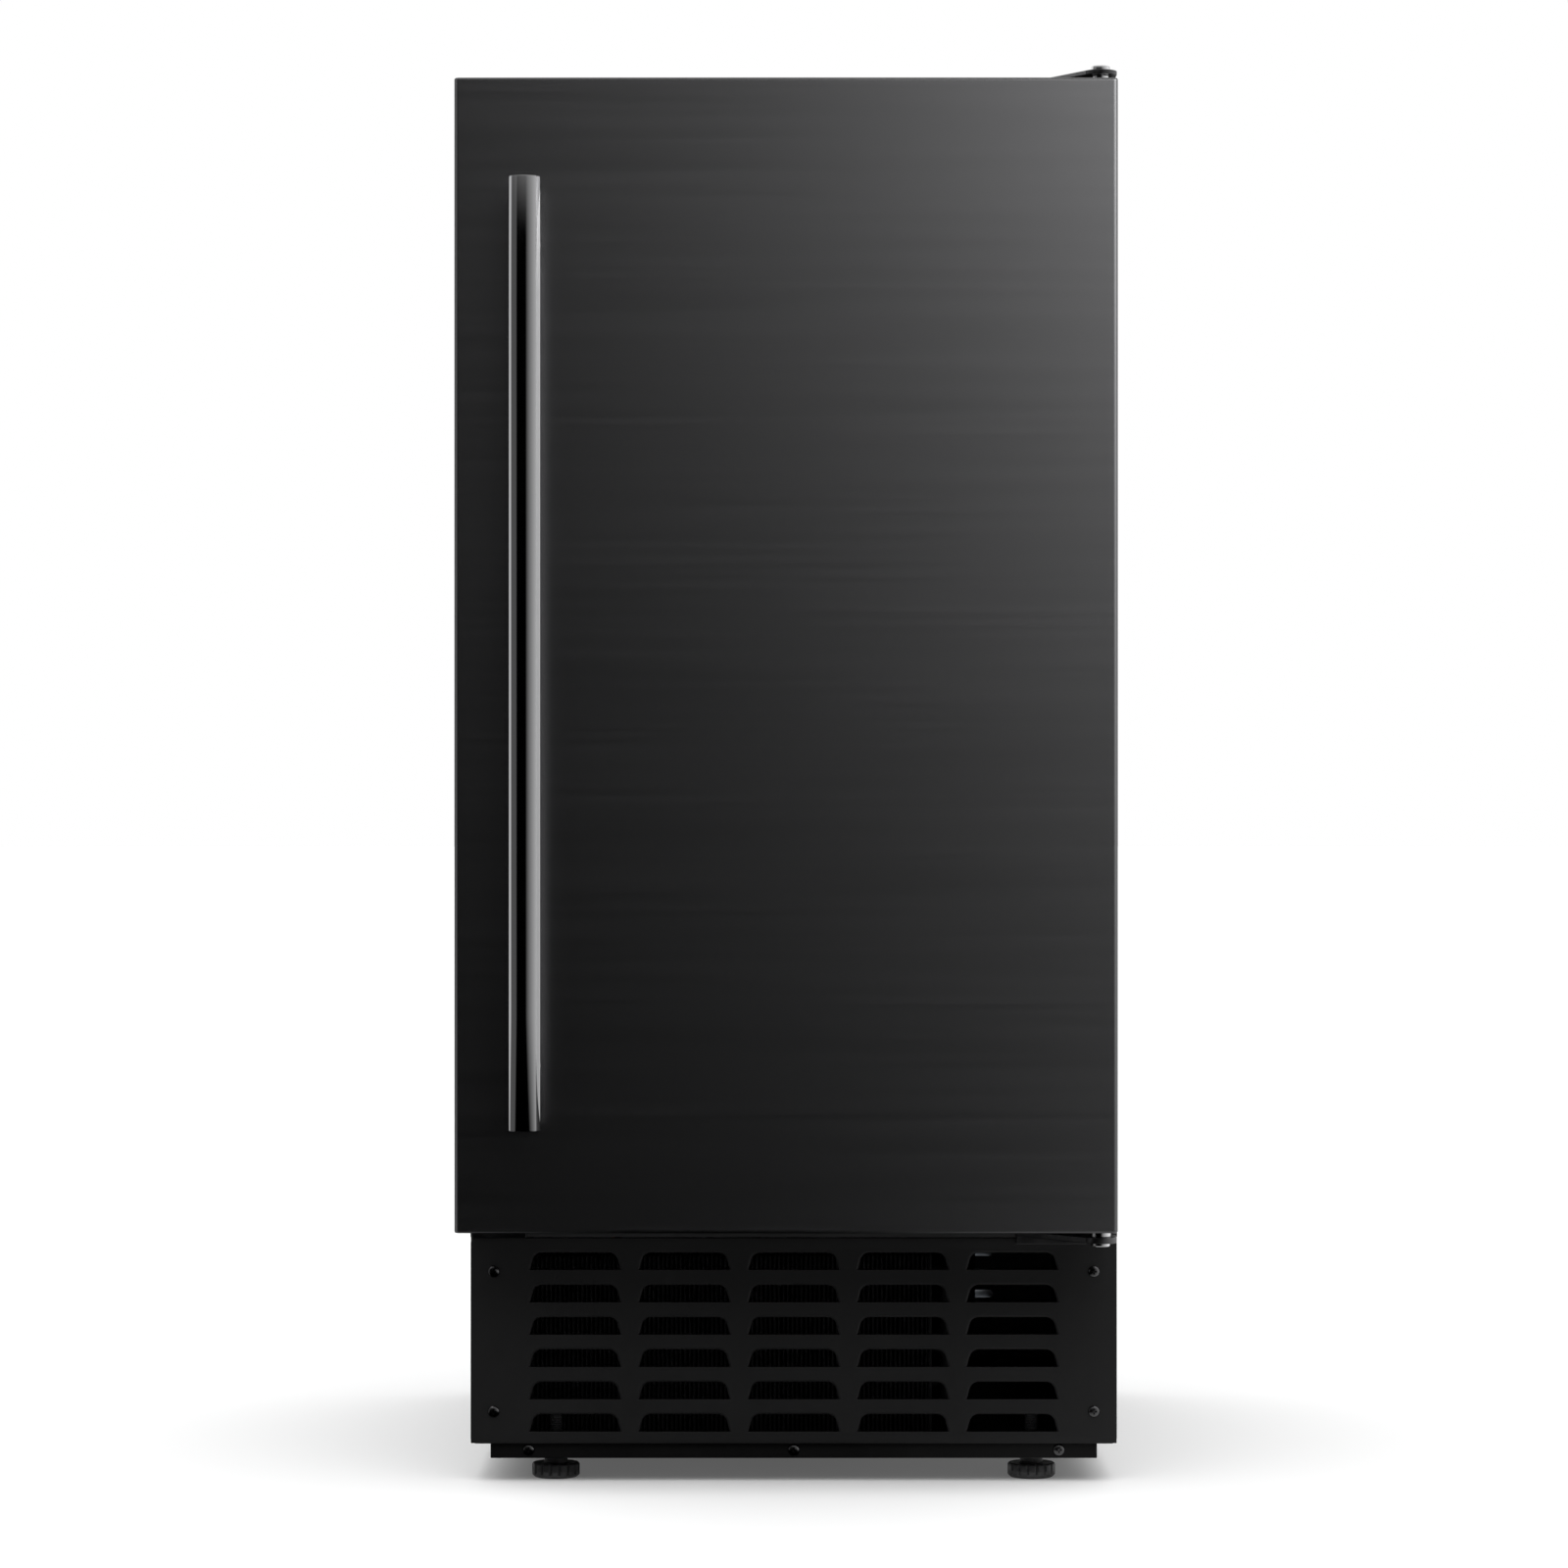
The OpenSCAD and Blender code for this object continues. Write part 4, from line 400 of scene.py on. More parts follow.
class Finish:
    """A node material in the making: a base, then grain, clouding and wear."""

    def __init__(self, name, colour, rough, metal=0.0):
        self.material = bpy.data.materials.new(name)
        self.material.use_nodes = True
        self.nodes = self.material.node_tree.nodes
        self.links = self.material.node_tree.links
        self.shader = self.nodes["Principled BSDF"]
        self.colour = (*colour, 1.0)
        self.shader.inputs["Base Color"].default_value = self.colour
        self.shader.inputs["Roughness"].default_value = rough
        self.shader.inputs["Metallic"].default_value = metal
        self.place = self.nodes.new("ShaderNodeTexCoord").outputs["Object"]
        self.rough = rough

    def noise(self, size, stretch, kind=SPECKS):
        """A noise whose grains are about this size, in metres, stretched along X, Y or Z."""
        mapping = self.nodes.new("ShaderNodeMapping")
        mapping.inputs["Scale"].default_value = [1 / s for s in stretch]
        self.links.new(self.place, mapping.inputs["Vector"])
        texture = self.nodes.new(kind)
        texture.inputs["Scale"].default_value = 1 / size
        if "Detail" in texture.inputs:
            texture.inputs["Detail"].default_value = 3.0
        self.links.new(mapping.outputs[0], texture.inputs["Vector"])
        return texture.outputs[0]

    def spread(self, value, low, high):
        """Spreads the middle range of a noise between two values."""
        node = self.nodes.new("ShaderNodeMapRange")
        for name, number in zip(RANGE, (0.3, 0.7, low, high)):
            node.inputs[name].default_value = number
        self.links.new(value, node.inputs["Value"])
        return node.outputs["Result"]

    def cloud(self, size, other, share, stretch=EVEN, kind=SPECKS):
        """Clouds the colour towards another one."""
        source = self.noise(size, stretch, kind)
        mix = self.nodes.new("ShaderNodeMix")
        mix.data_type = "RGBA"
        self.links.new(self.spread(source, 0.0, share), mix.inputs["Factor"])
        mix.inputs["A"].default_value = self.colour
        mix.inputs["B"].default_value = (*other, 1.0)
        self.links.new(mix.outputs["Result"], self.shader.inputs["Base Color"])

    def patchy(self, size, swing, stretch=EVEN):
        """Lets the roughness drift either side of its value."""
        source = self.noise(size, stretch)
        value = self.spread(source, self.rough - swing, self.rough + swing)
        self.links.new(value, self.shader.inputs["Roughness"])

    def grain(self, size, depth, strength=1.0, stretch=EVEN, kind=SPECKS):
        """Raises a fine relief of this grain size and depth, in metres."""
        bump = self.nodes.new("ShaderNodeBump")
        bump.inputs["Distance"].default_value = depth
        bump.inputs["Strength"].default_value = strength
        self.links.new(self.noise(size, stretch, kind), bump.inputs["Height"])
        self.links.new(bump.outputs["Normal"], self.shader.inputs["Normal"])


finishes = {}

# Each finish: a colour or the name of a colour property, roughness and metal; its clouding (size,
# colour, share), the drift of its roughness (size, swing) and its relief (size, depth), in metres.
FINISHES = {
    "black_steel": (
        "door", 0.21, 1.0, None, (0.004, 0.012, (60, 1, 1)), (0.0009, 0.000003, 0.25, (40, 1, 1)),
    ),
    "black_powder_coat": (
        "cabinet", 0.42, 0.0, (0.05, (0.022, 0.022, 0.023), 0.5), (0.012, 0.05), (0.0016, 0.00008),
    ),
    "grille_coat": (
        "grille", 0.46, 0.0, (0.06, (0.0105, 0.0105, 0.0108), 0.5), (0.01, 0.04), (0.0012, 0.00005),
    ),
    "plinth_coat": (
        (0.0025, 0.0025, 0.0026), 0.42, 0.0, (0.06, (0.004, 0.004, 0.0041), 0.5),
        (0.01, 0.04), (0.0012, 0.00005),
    ),
    "dark_plated_steel": (
        (0.14, 0.14, 0.143), 0.34, 1.0, (0.02, (0.05, 0.05, 0.052), 0.6), (0.006, 0.08), (0.0006, 0.00002),
    ),
    "polished_bar": (
        "handle", 0.09, 1.0, None, (0.003, 0.02, (1, 1, 30)), (0.0004, 0.000001, 0.3, (1, 1, 60)),
    ),
    "blackened_screw": (
        (0.16, 0.16, 0.163), 0.2, 1.0, (0.002, (0.1, 0.1, 0.1), 0.5), (0.001, 0.05), (0.0003, 0.000004),
    ),
    "bright_nickel": (
        (0.74, 0.74, 0.75), 0.16, 1.0, (0.01, (0.6, 0.6, 0.6), 0.5), (0.003, 0.05), (0.0005, 0.000006),
    ),
    "galvanised_sheet": (
        (0.52, 0.54, 0.56), 0.38, 0.9, (0.009, (0.36, 0.38, 0.4), 0.8, EVEN, CELLS),
        (0.006, 0.08), (0.002, 0.00003),
    ),
    # Condenser fins: a dark coat, kept near black as painted shade so that the inside reads black behind the
    # louvres.
    "dark_fins_and_painted_shade": (
        (0.03, 0.03, 0.032), 0.5, 0.6, (0.012, (0.07, 0.07, 0.072), 0.7), (0.004, 0.1), (0.0008, 0.00005),
    ),
    # Black coat of the condenser, its lines and the fan shroud: a real coat, kept near black as painted shade
    # behind the louvres.
    "black_coat_and_painted_shade": (
        (0.006, 0.006, 0.0062), 0.5, 0.0, (0.02, (0.012, 0.012, 0.0124), 0.6),
        (0.006, 0.08), (0.0014, 0.00006),
    ),
    "zinc_screw": (
        (0.6, 0.61, 0.63), 0.28, 1.0, (0.003, (0.45, 0.46, 0.48), 0.6), (0.002, 0.06), (0.0004, 0.000008),
    ),
    "valve_brass": (
        (0.68, 0.47, 0.2), 0.28, 1.0, (0.008, (0.5, 0.32, 0.12), 0.6), (0.003, 0.07), (0.0006, 0.00001),
    ),
    "nickel_evaporator": (
        (0.62, 0.64, 0.66), 0.27, 1.0, (0.014, (0.48, 0.5, 0.52), 0.7), (0.005, 0.07), (0.0009, 0.00003),
    ),
    "copper_pipe": (
        (0.72, 0.33, 0.18), 0.27, 1.0, (0.015, (0.42, 0.17, 0.09), 0.8), (0.005, 0.1), (0.0012, 0.00003),
    ),
    "white_liner_plastic": (
        "liner", 0.36, 0.0, (0.08, (0.68, 0.69, 0.69), 0.6), (0.02, 0.05), (0.0011, 0.00003),
    ),
    "grey_moulded_plastic": (
        (0.3, 0.31, 0.325), 0.44, 0.0, (0.04, (0.25, 0.26, 0.27), 0.6), (0.01, 0.06), (0.0008, 0.00005),
    ),
    "black_moulded_plastic": (
        (0.02, 0.02, 0.021), 0.48, 0.0, (0.03, (0.034, 0.034, 0.036), 0.6), (0.008, 0.07), (0.0007, 0.00006),
    ),
    "clear_curtain_plastic": (
        (0.8, 0.86, 0.88), 0.14, 0.0, (0.03, (0.72, 0.79, 0.82), 0.6), (0.01, 0.05), (0.003, 0.00008),
    ),
    "clear_guard_plastic": (
        (0.86, 0.9, 0.92), 0.08, 0.0, (0.05, (0.8, 0.86, 0.89), 0.5), (0.02, 0.03), (0.006, 0.00002),
    ),
    "clear_vinyl_hose": (
        (0.74, 0.78, 0.78), 0.24, 0.0, (0.02, (0.66, 0.71, 0.72), 0.6), (0.008, 0.06), (0.002, 0.00004),
    ),
    "float_plastic": (
        (0.72, 0.75, 0.76), 0.35, 0.0, (0.008, (0.64, 0.68, 0.7), 0.5), (0.004, 0.05), (0.0009, 0.00004),
    ),
    "white_button_plastic": (
        (0.66, 0.67, 0.68), 0.38, 0.0, (0.01, (0.6, 0.61, 0.62), 0.5), (0.004, 0.06), (0.0006, 0.00004),
    ),
    "black_rubber": (
        (0.014, 0.014, 0.014), 0.68, 0.0, (0.02, (0.03, 0.03, 0.031), 0.6), (0.006, 0.08), (0.0006, 0.00009),
    ),
    "poured_foam": (
        (0.76, 0.66, 0.4), 0.85, 0.0, (0.01, (0.62, 0.5, 0.26), 0.7), None, (0.002, 0.0006, 1.0, EVEN, CELLS),
    ),
    "circuit_board": (
        (0.012, 0.16, 0.06), 0.4, 0.0, (0.0022, (0.05, 0.3, 0.12), 0.9, (3, 1, 1)),
        (0.004, 0.1), (0.002, 0.0001),
    ),
    "smoked_lens": (
        (0.006, 0.007, 0.009), 0.08, 0.0, (0.02, (0.012, 0.014, 0.018), 0.5), (0.01, 0.03), (0.004, 0.00001),
    ),
    "frosted_lamp": (
        (0.9, 0.92, 0.94), 0.3, 0.0, (0.005, (0.8, 0.86, 0.92), 0.6), (0.004, 0.06), (0.0012, 0.00015),
    ),
}
SOCKETS = {
    "grille_coat": {"Specular IOR Level": 0.25},
    "plinth_coat": {"Specular IOR Level": 0.2},
    "clear_curtain_plastic": {"Transmission Weight": 0.75, "IOR": 1.45},
    "clear_guard_plastic": {"Transmission Weight": 0.9, "IOR": 1.49},
    "clear_vinyl_hose": {"Transmission Weight": 0.5},
    "float_plastic": {"Transmission Weight": 0.35},
}


def mix_finishes():
    """Makes every finish that the pieces use."""
    paint = bpy.context.scene.ice_maker_colours
    for name, (colour, rough, metal, clouding, drift, relief) in FINISHES.items():
        colour = getattr(paint, colour) if isinstance(colour, str) else colour
        made = Finish(name, colour, rough, metal)
        for socket, value in SOCKETS.get(name, {}).items():
            made.shader.inputs[socket].default_value = value
        for lay, numbers in ((made.cloud, clouding), (made.patchy, drift), (made.grain, relief)):
            if numbers:
                lay(*numbers)
        finishes[name] = made.material


# ---------------------------------------------------------------- what a user would change


LENGTH = {"subtype": "DISTANCE", "unit": "LENGTH"}
TINT = {"min": 0.0, "max": 1.0, "subtype": "COLOR"}


class IceMakerSizes(bpy.types.PropertyGroup):
    """Sizes of the visible details."""

    door_edge: FloatProperty(
        name="Door edge", description="Radius of the door's formed edges",
        default=2.1 * MM, min=0.5 * MM, max=6 * MM, **LENGTH,
    )
    door_crown: FloatProperty(
        name="Door crown", description="How far the door's face stands out in its middle",
        default=1.1 * MM, min=0.0, max=4 * MM, **LENGTH,
    )
    louvre_roll: FloatProperty(
        name="Louvre roll", description="Radius of the rolled edge round a louvre",
        default=1.5 * MM, min=0.2 * MM, max=3 * MM, **LENGTH,
    )
    screw_recess: FloatProperty(
        name="Screw recess", description="Width of the cross recess in a screw head",
        default=3.4 * MM, min=1 * MM, max=5 * MM, **LENGTH,
    )
    liner_corner: FloatProperty(
        name="Liner corner", description="Inside corner radius of the ice bin",
        default=12 * MM, min=3 * MM, max=30 * MM, **LENGTH,
    )
    pipe_bend: FloatProperty(
        name="Pipe bend", description="Bend radius of the copper pipes",
        default=13 * MM, min=6 * MM, max=20 * MM, **LENGTH,
    )
    sheet_edge: FloatProperty(
        name="Sheet edge", description="Ease on the edges of folded and moulded parts",
        default=0.3 * MM, min=0.05 * MM, max=1 * MM, **LENGTH,
    )


class IceMakerColours(bpy.types.PropertyGroup):
    """Colours of the main finishes."""

    door: FloatVectorProperty(
        name="Door", description="Reflected colour of the door's dark steel",
        default=(0.15, 0.15, 0.153), **TINT,
    )
    cabinet: FloatVectorProperty(
        name="Cabinet", description="Powder coat of the cabinet's panels",
        default=(0.012, 0.012, 0.0125), **TINT,
    )
    grille: FloatVectorProperty(
        name="Grille", description="Powder coat of the front grille and the plinth",
        default=(0.0085, 0.0085, 0.0088), **TINT,
    )
    handle: FloatVectorProperty(
        name="Handle", description="Reflected colour of the polished bar",
        default=(0.38, 0.38, 0.385), **TINT,
    )
    liner: FloatVectorProperty(
        name="Liner", description="Plastic of the ice bin and the inside of the door",
        default=(0.74, 0.75, 0.75), **TINT,
    )


class IceMakerStudio(bpy.types.PropertyGroup):
    """The studio that the ice maker stands in."""

    key: FloatProperty(
        name="Key", description="Level of the lamp high on the right", default=1.5, min=0.0,
    )
    fill: FloatProperty(
        name="Fill", description="Level of the lamp high on the left", default=1.1, min=0.0,
    )
    back: FloatProperty(
        name="Back", description="Level of the two lamps behind", default=0.7, min=0.0,
    )
    ambient: FloatProperty(
        name="Ambient", description="Level of the light from all round", default=0.35, min=0.0,
    )
    floor_tone: FloatProperty(
        name="Floor tone", description="Share of light that the floor returns", default=0.85,
        min=0.0, max=1.0, subtype="FACTOR",
    )
    floor_lift: FloatProperty(
        name="Floor lift", description="Light added to the floor for a white ground", default=0.1,
        min=0.0,
    )
    sheen: FloatProperty(
        name="Door sheen", description="Level of the graded card that the door mirrors", default=0.058,
        min=0.0,
    )
    lens: FloatProperty(
        name="Lens", description="Focal length of the camera", default=117.0, min=10.0,
        subtype="DISTANCE_CAMERA", unit="CAMERA",
    )


def sizes():
    """The sizes that the user may have changed."""
    return bpy.context.scene.ice_maker_sizes


# ---------------------------------------------------------------- the door


class ICEMAKER_OT_door_skin(bpy.types.Operator):
    """Form the door's steel pan with its crowned face and rolled edges"""

    bl_idname = "icemaker.door_skin"
    bl_label = "Door skin"

    def execute(self, context):
        lo, hi = door_lo, door_hi
        bend, crown = sizes().door_edge, sizes().door_crown
        centre, half = (lo.x + hi.x) / 2, (hi.x - lo.x) / 2
        middle, rise = (lo.z + hi.z) / 2, (hi.z - lo.z) / 2
        lip, hold = 1.2 * MM, 0.5 * MM

        def section(z, step):
            """The pan's outline at a height: round at the edges and crowned between them."""
            sag = crown * 0.4 * ((z - middle) / rise) ** 2
            front, near, far = lo.y + step, lo.x + step + bend, hi.x - step - bend
            loop = [(lo.x + step, hi.y), *arc(near, front + bend, bend, range(180, 271, 15))]
            loop.append((near + hold, front))
            loop += [(near + (far - near) * i / 32, front) for i in range(1, 32)]
            loop.append((far - hold, front))
            loop += [*arc(far, front + bend, bend, range(-90, 1, 15)), (hi.x - step, hi.y)]
            loop = at(loop, "Z", z)
            for p in loop[1:-1]:
                p.y += crown * 0.6 * ((p.x - centre) / half) ** 2 + sag
            return loop

        levels = arc(lo.z + lip, lip, lip, (180, 202.5, 225, 247.5, 270))
        levels.append((lo.z + lip + hold, 0.0))
        levels += [(lo.z + lip + (hi.z - lo.z - 2 * lip) * i / 24, 0.0) for i in range(1, 24)]
        levels += [(hi.z - (z - lo.z), step) for z, step in reversed(levels[:6])]
        bm = bmesh.new()
        rows = [[bm.verts.new(p) for p in section(z, step)] for z, step in levels]
        quilt(bm, rows)
        bm.faces.new(list(reversed(rows[0])))
        bm.faces.new(rows[-1])
        bmesh.ops.recalc_face_normals(bm, faces=bm.faces)
        pan = piece("door_skin_pan", bm, "door_skin", "black_steel", solid=False, sheet=MM)
        hole_lo, hole_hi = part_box("door_bushings")
        pin = (hole_lo + hole_hi) / 2
        cutter = bmesh.new()
        drum(cutter, (pin.x, pin.y, 0), (hole_hi.x - hole_lo.x) / 2, hole_lo.z - MM, hole_hi.z + MM)
        carve(pan, cutter)
        return {"FINISHED"}


class ICEMAKER_OT_door_inside(bpy.types.Operator):
    """Mould the door's liner, pour its foam and fit its gasket and bushings"""

    bl_idname = "icemaker.door_inside"
    bl_label = "Door liner, foam, gasket and bushings"

    def execute(self, context):
        lo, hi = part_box("door_liner")
        raised_lo, raised_hi = lo + Vector((41.5, 0, 31.4)) * MM, hi - Vector((32.5, 0, 32.1)) * MM
        face, back, crest = lo.y, lo.y + 2 * MM, hi.y
        bm = bmesh.new()
        edge = [(0, face, 3), (0, back - 0.6 * MM, 3), (0.6, back, 3)]
        rings = [at(inset(lo, hi, i * MM, r * MM), "Y", y) for i, y, r in edge]
        depth = crest - back
        for k in range(9):
            turn = math.radians(180 * k / 8)
            run = -1.5 + 5.0 * k / 8
            y = back + depth * (1 - math.cos(turn)) / 2
            rings.append(at(inset(raised_lo, raised_hi, run * MM, (14 - run) * MM), "Y", y))
        dish = 26 * MM
        floor = crest - 6 * MM
        for k in range(7):
            run = dish + 5 * MM * k / 6
            y = crest - (crest - floor) * (1 - math.cos(math.radians(180 * k / 6))) / 2
            rings.append(at(inset(raised_lo, raised_hi, run, 10 * MM), "Y", y))
        skin(bm, rings)
        piece("door_liner_formed", bm, "door_liner", "white_liner_plastic")

        line_lo, line_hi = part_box("door_gasket")
        seat, seal = line_lo.y, line_hi.y
        middle = 6 * MM
        profile = [
            (-6, 0), (-6, 2.2), (-3.6, 3), (-2.6, 4.6), (-3.4, 6.2), (-5.6, 7.2), (-6, 8.6), (-5.6, 11.2),
            (-4, 12.7), (4, 12.7), (5.6, 11.2), (6, 8.6), (5.6, 7.2), (3.4, 6.2), (2.6, 4.6), (3.6, 3),
            (6, 2.2), (6, 0),
        ]
        reach = (seal - seat) / (12.7 * MM)
        bm = bmesh.new()
        rings = []
        for across, out in profile:
            side = middle - across * MM
            outline = inset(line_lo, line_hi, side, max(9 * MM - side / 2, 2 * MM))
            rings.append(at(outline, "Y", seat + out * MM * reach))
        rows = skin(bm, rings, first=False, last=False)
        for a, b, c, d in zip(rows[-1], rows[-1][1:] + rows[-1][:1], rows[0][1:] + rows[0][:1], rows[0]):
            bm.faces.new((a, b, c, d))
        piece("door_gasket_profile", bm, "door_gasket", "black_rubber", smooth=50)
        foam = bmesh.new()
        foam_lo, foam_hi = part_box("door_foam")
        back = face - 0.1 * MM
        rear = (foam_hi.x - 1.5 * MM, back, foam_hi.z - 1.5 * MM)
        slab(foam, foam_lo + Vector((1.5, 3, 1.5)) * MM, rear, MM)
        slab(
            foam, (raised_lo.x + 4 * MM, back - MM, raised_lo.z + 4 * MM),
            (raised_hi.x - 4 * MM, floor - 2 * MM, raised_hi.z - 4 * MM), 2 * MM,
        )
        piece("door_foam_block", foam, "door_foam", "poured_foam")
        bushing_lo, bushing_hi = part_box("door_bushings")
        bm = bmesh.new()
        pin = (bushing_lo + bushing_hi) / 2
        deep = 15 * MM
        for foot in (bushing_lo.z, bushing_hi.z - deep):
            outer, bore = (bushing_hi.x - bushing_lo.x) / 2, 3.6 * MM
            wall = [
                (bore + 0.4 * MM, 0), (outer - 0.4 * MM, 0), (outer, 0.4 * MM), (outer, deep - 0.4 * MM),
                (outer - 0.4 * MM, deep), (bore + 0.4 * MM, deep), (bore, deep - 0.4 * MM), (bore, 0.4 * MM),
            ]
            turned_ring(bm, wall, (pin.x, pin.y, foot))
        piece("door_bushing_pair", bm, "door_bushings", "black_moulded_plastic")
        return {"FINISHED"}


class ICEMAKER_OT_handle(bpy.types.Operator):
    """Turn the handle's bar, its two posts and the screws that hold them"""

    bl_idname = "icemaker.handle"
    bl_label = "Handle"

    def execute(self, context):
        lo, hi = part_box("handle_bar")
        middle = (lo + hi) / 2
        radius, reach = (hi.x - lo.x) / 2, 0.55 * MM
        low, high = lo.z, hi.z
        bm = bmesh.new()
        profile = [
            (0, low + 0.12 * MM), (radius - 1.6 * MM, low + 0.05 * MM), (radius - reach, low),
            (radius - 0.18 * MM, low + 0.2 * MM), (radius, low + reach),
        ]
        profile += [(radius, low + (high - low) * i / 8) for i in range(1, 8)]
        profile += [(r, low + high - z) for r, z in reversed(profile[:5])]
        turned(bm, profile, (middle.x, middle.y, 0), "Z", 96)
        piece("handle_bar_turned", bm, "handle_bar", "polished_bar")
        post_lo, post_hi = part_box("handle_posts")
        base = (post_hi.x - post_lo.x) / 2
        shank = base - 2 * MM
        front, seat = post_lo.y, post_hi.y
        bm = bmesh.new()
        for z in (post_lo.z + base, post_hi.z - base):
            ease = 1.2 * MM
            profile = [
                (shank, front), (shank, seat - 4 * MM),
                *arc(shank + ease, seat - 2.7 * MM, ease, (157.5, 135, 112.5, 90)),
                (base - 0.3 * MM, seat - 1.4 * MM), (base, seat - 1.1 * MM), (base, seat),
            ]
            turned(bm, profile, (middle.x, 0, z), "Y", 56)
        piece("handle_posts_turned", bm, "handle_posts", "polished_bar")
        softened("handle_screws", "bright_nickel", 0.3 * MM)
        return {"FINISHED"}


# ---------------------------------------------------------------- hinges


class ICEMAKER_OT_hinges(bpy.types.Operator):
    """Press the hinge plates and turn the pins, the spacer and the collar"""

    bl_idname = "icemaker.hinges"
    bl_label = "Hinges"

    def execute(self, context):
        plates = {"top_hinge_plate": 0.4, "bottom_hinge_bracket": 0.4, "hinge_blank_plate": 0.3}
        for node, ease in plates.items():
            softened(node, "dark_plated_steel", ease * MM, segments=2)
        lo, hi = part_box("hinge_pins")
        middle = (lo + hi) / 2
        plate_lo, plate_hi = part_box("top_hinge_plate")
        head = 5.5 * MM
        pin = 3.5 * MM
        bm = bmesh.new()
        centre = (middle.x, middle.y, 0)
        top = plate_hi.z
        turned(
            bm,
            [
                (pin - 0.5 * MM, door_hi.z - 12 * MM), (pin, door_hi.z - 11.5 * MM), (pin, top),
                (head - 0.2 * MM, top), (head, top + 0.2 * MM), (head, hi.z - 0.7 * MM),
                (head - 0.25 * MM, hi.z - 0.2 * MM), (head - 0.8 * MM, hi.z), (0, hi.z),
            ],
            centre,
        )
        low_head = lo.z
        tab = low_head + 2 * MM
        turned(
            bm,
            [
                (0, low_head), (head - 0.5 * MM, low_head), (head, low_head + 0.5 * MM), (head, tab),
                (pin, tab), (pin, door_lo.z + 11.5 * MM), (pin - 0.5 * MM, door_lo.z + 12 * MM),
            ],
            centre,
        )
        collar_low, collar_high = tab + 3.5 * MM, door_lo.z - 0.3 * MM
        spacer_low, spacer_high = door_hi.z + 0.3 * MM, plate_lo.z
        for low, high, outer in ((collar_low, collar_high, 6 * MM), (spacer_low, spacer_high, 4.75 * MM)):
            ease, bore = 0.35 * MM, 3.7 * MM
            wall = [
                (outer - ease, low), (outer, low + ease), (outer, high - ease), (outer - ease, high),
                (bore, high), (bore, low),
            ]
            turned_ring(bm, wall, centre)
        pins = piece("hinge_pins_turned", bm, "hinge_pins", "bright_nickel")
        cutter = bmesh.new()
        for turn in (0, 90):
            along, across = (3.2 * MM, 0.7 * MM) if turn else (0.7 * MM, 3.2 * MM)
            slab(
                cutter,
                (middle.x - along, middle.y - across, hi.z - 1.5 * MM),
                (middle.x + along, middle.y + across, hi.z + MM),
                0.15 * MM,
            )
        carve(pins, cutter)
        return {"FINISHED"}


# ---------------------------------------------------------------- grille, plinth and feet


def louvre_outline(x, z, width, height, slope, corner, grow):
    """A louvre's opening: flat below, with sloped sides and round upper corners."""
    half, top = width / 2 + grow, z + height + grow
    lean = (top - z) * math.tan(math.radians(slope))
    outline = [Vector((x - half, z, 0)), Vector((x + half, z, 0))]
    for side in (1, -1):
        tip = Vector((x + side * (half - lean), top, 0))
        down = (Vector((x + side * half, z, 0)) - tip).normalized()
        over = Vector((-side, 0, 0))
        reach = (corner + grow) / math.tan(down.angle(over) / 2)
        bend = rounding(tip + down * reach, tip, tip + over * reach, 8)
        outline += bend if side == 1 else bend[::-1]
    return [(p.x, p.y) for p in outline]


class ICEMAKER_OT_grille(bpy.types.Operator):
    """Press the louvred grille panel with rolled edges round its openings"""

    bl_idname = "icemaker.grille"
    bl_label = "Front grille"

    def execute(self, context):
        lo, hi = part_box("front_grille")
        roll = sizes().louvre_roll
        middle = (lo.x + hi.x) / 2
        back, lip = lo.y + 2 * MM, hi.y
        columns, rows = 5, 6
        across, up, low = 63.9 * MM, 18.9 * MM, lo.z + 7.1 * MM
        opening = (52.7 * MM, 10 * MM, 15.0, 5.4 * MM)
        holes, bm = [], bmesh.new()
        for i in range(columns):
            for j in range(rows):
                x, z = middle + (i - (columns - 1) / 2) * across, low + up * j
                mouth = louvre_outline(x, z, *opening, roll)
                throat = louvre_outline(x, z, *opening, 0.0)
                shell = louvre_outline(x, z, *opening, 1.2 * MM)
                holes.append(mouth)
                rings = []
                for k in range(6):
                    turn = math.radians(90 * k / 5)
                    share = math.sin(turn)
                    ring = [
                        (m[0] + (t[0] - m[0]) * share, m[1] + (t[1] - m[1]) * share)
                        for m, t in zip(mouth, throat)
                    ]
                    rings.append(at(ring, "Y", lo.y + roll * (1 - math.cos(turn))))
                eased_throat = louvre_outline(x, z, *opening, 0.3 * MM)
                for ring, y in (
                    (throat, lip - 0.3 * MM), (eased_throat, lip), (shell, lip), (shell, back), (mouth, back),
                ):
                    rings.append(at(ring, "Y", y))
                skin(bm, rings + rings[:1], first=False, last=False)
        bmesh.ops.remove_doubles(bm, verts=bm.verts, dist=1e-7)
        bmesh.ops.recalc_face_normals(bm, faces=bm.faces)
        plate(bm, inset(lo, hi, 0, 3.2 * MM, steps=8), holes, "Y", lo.y, back, 0.0)
        rim = [
            e for e in bm.edges
            if abs(e.verts[0].co.y - e.verts[1].co.y) < 1e-7 and e.calc_face_angle(0.0) > 1.2
            and all(
                min(v.co.x - lo.x, hi.x - v.co.x, v.co.z - lo.z, hi.z - v.co.z) < 2.2 * MM for v in e.verts
            )
        ]
        bmesh.ops.bevel(bm, geom=rim, offset=0.7 * MM, segments=3, profile=0.5, affect="EDGES")
        piece("front_grille_pressed", bm, "front_grille", "grille_coat", 40, solid=False)
        return {"FINISHED"}


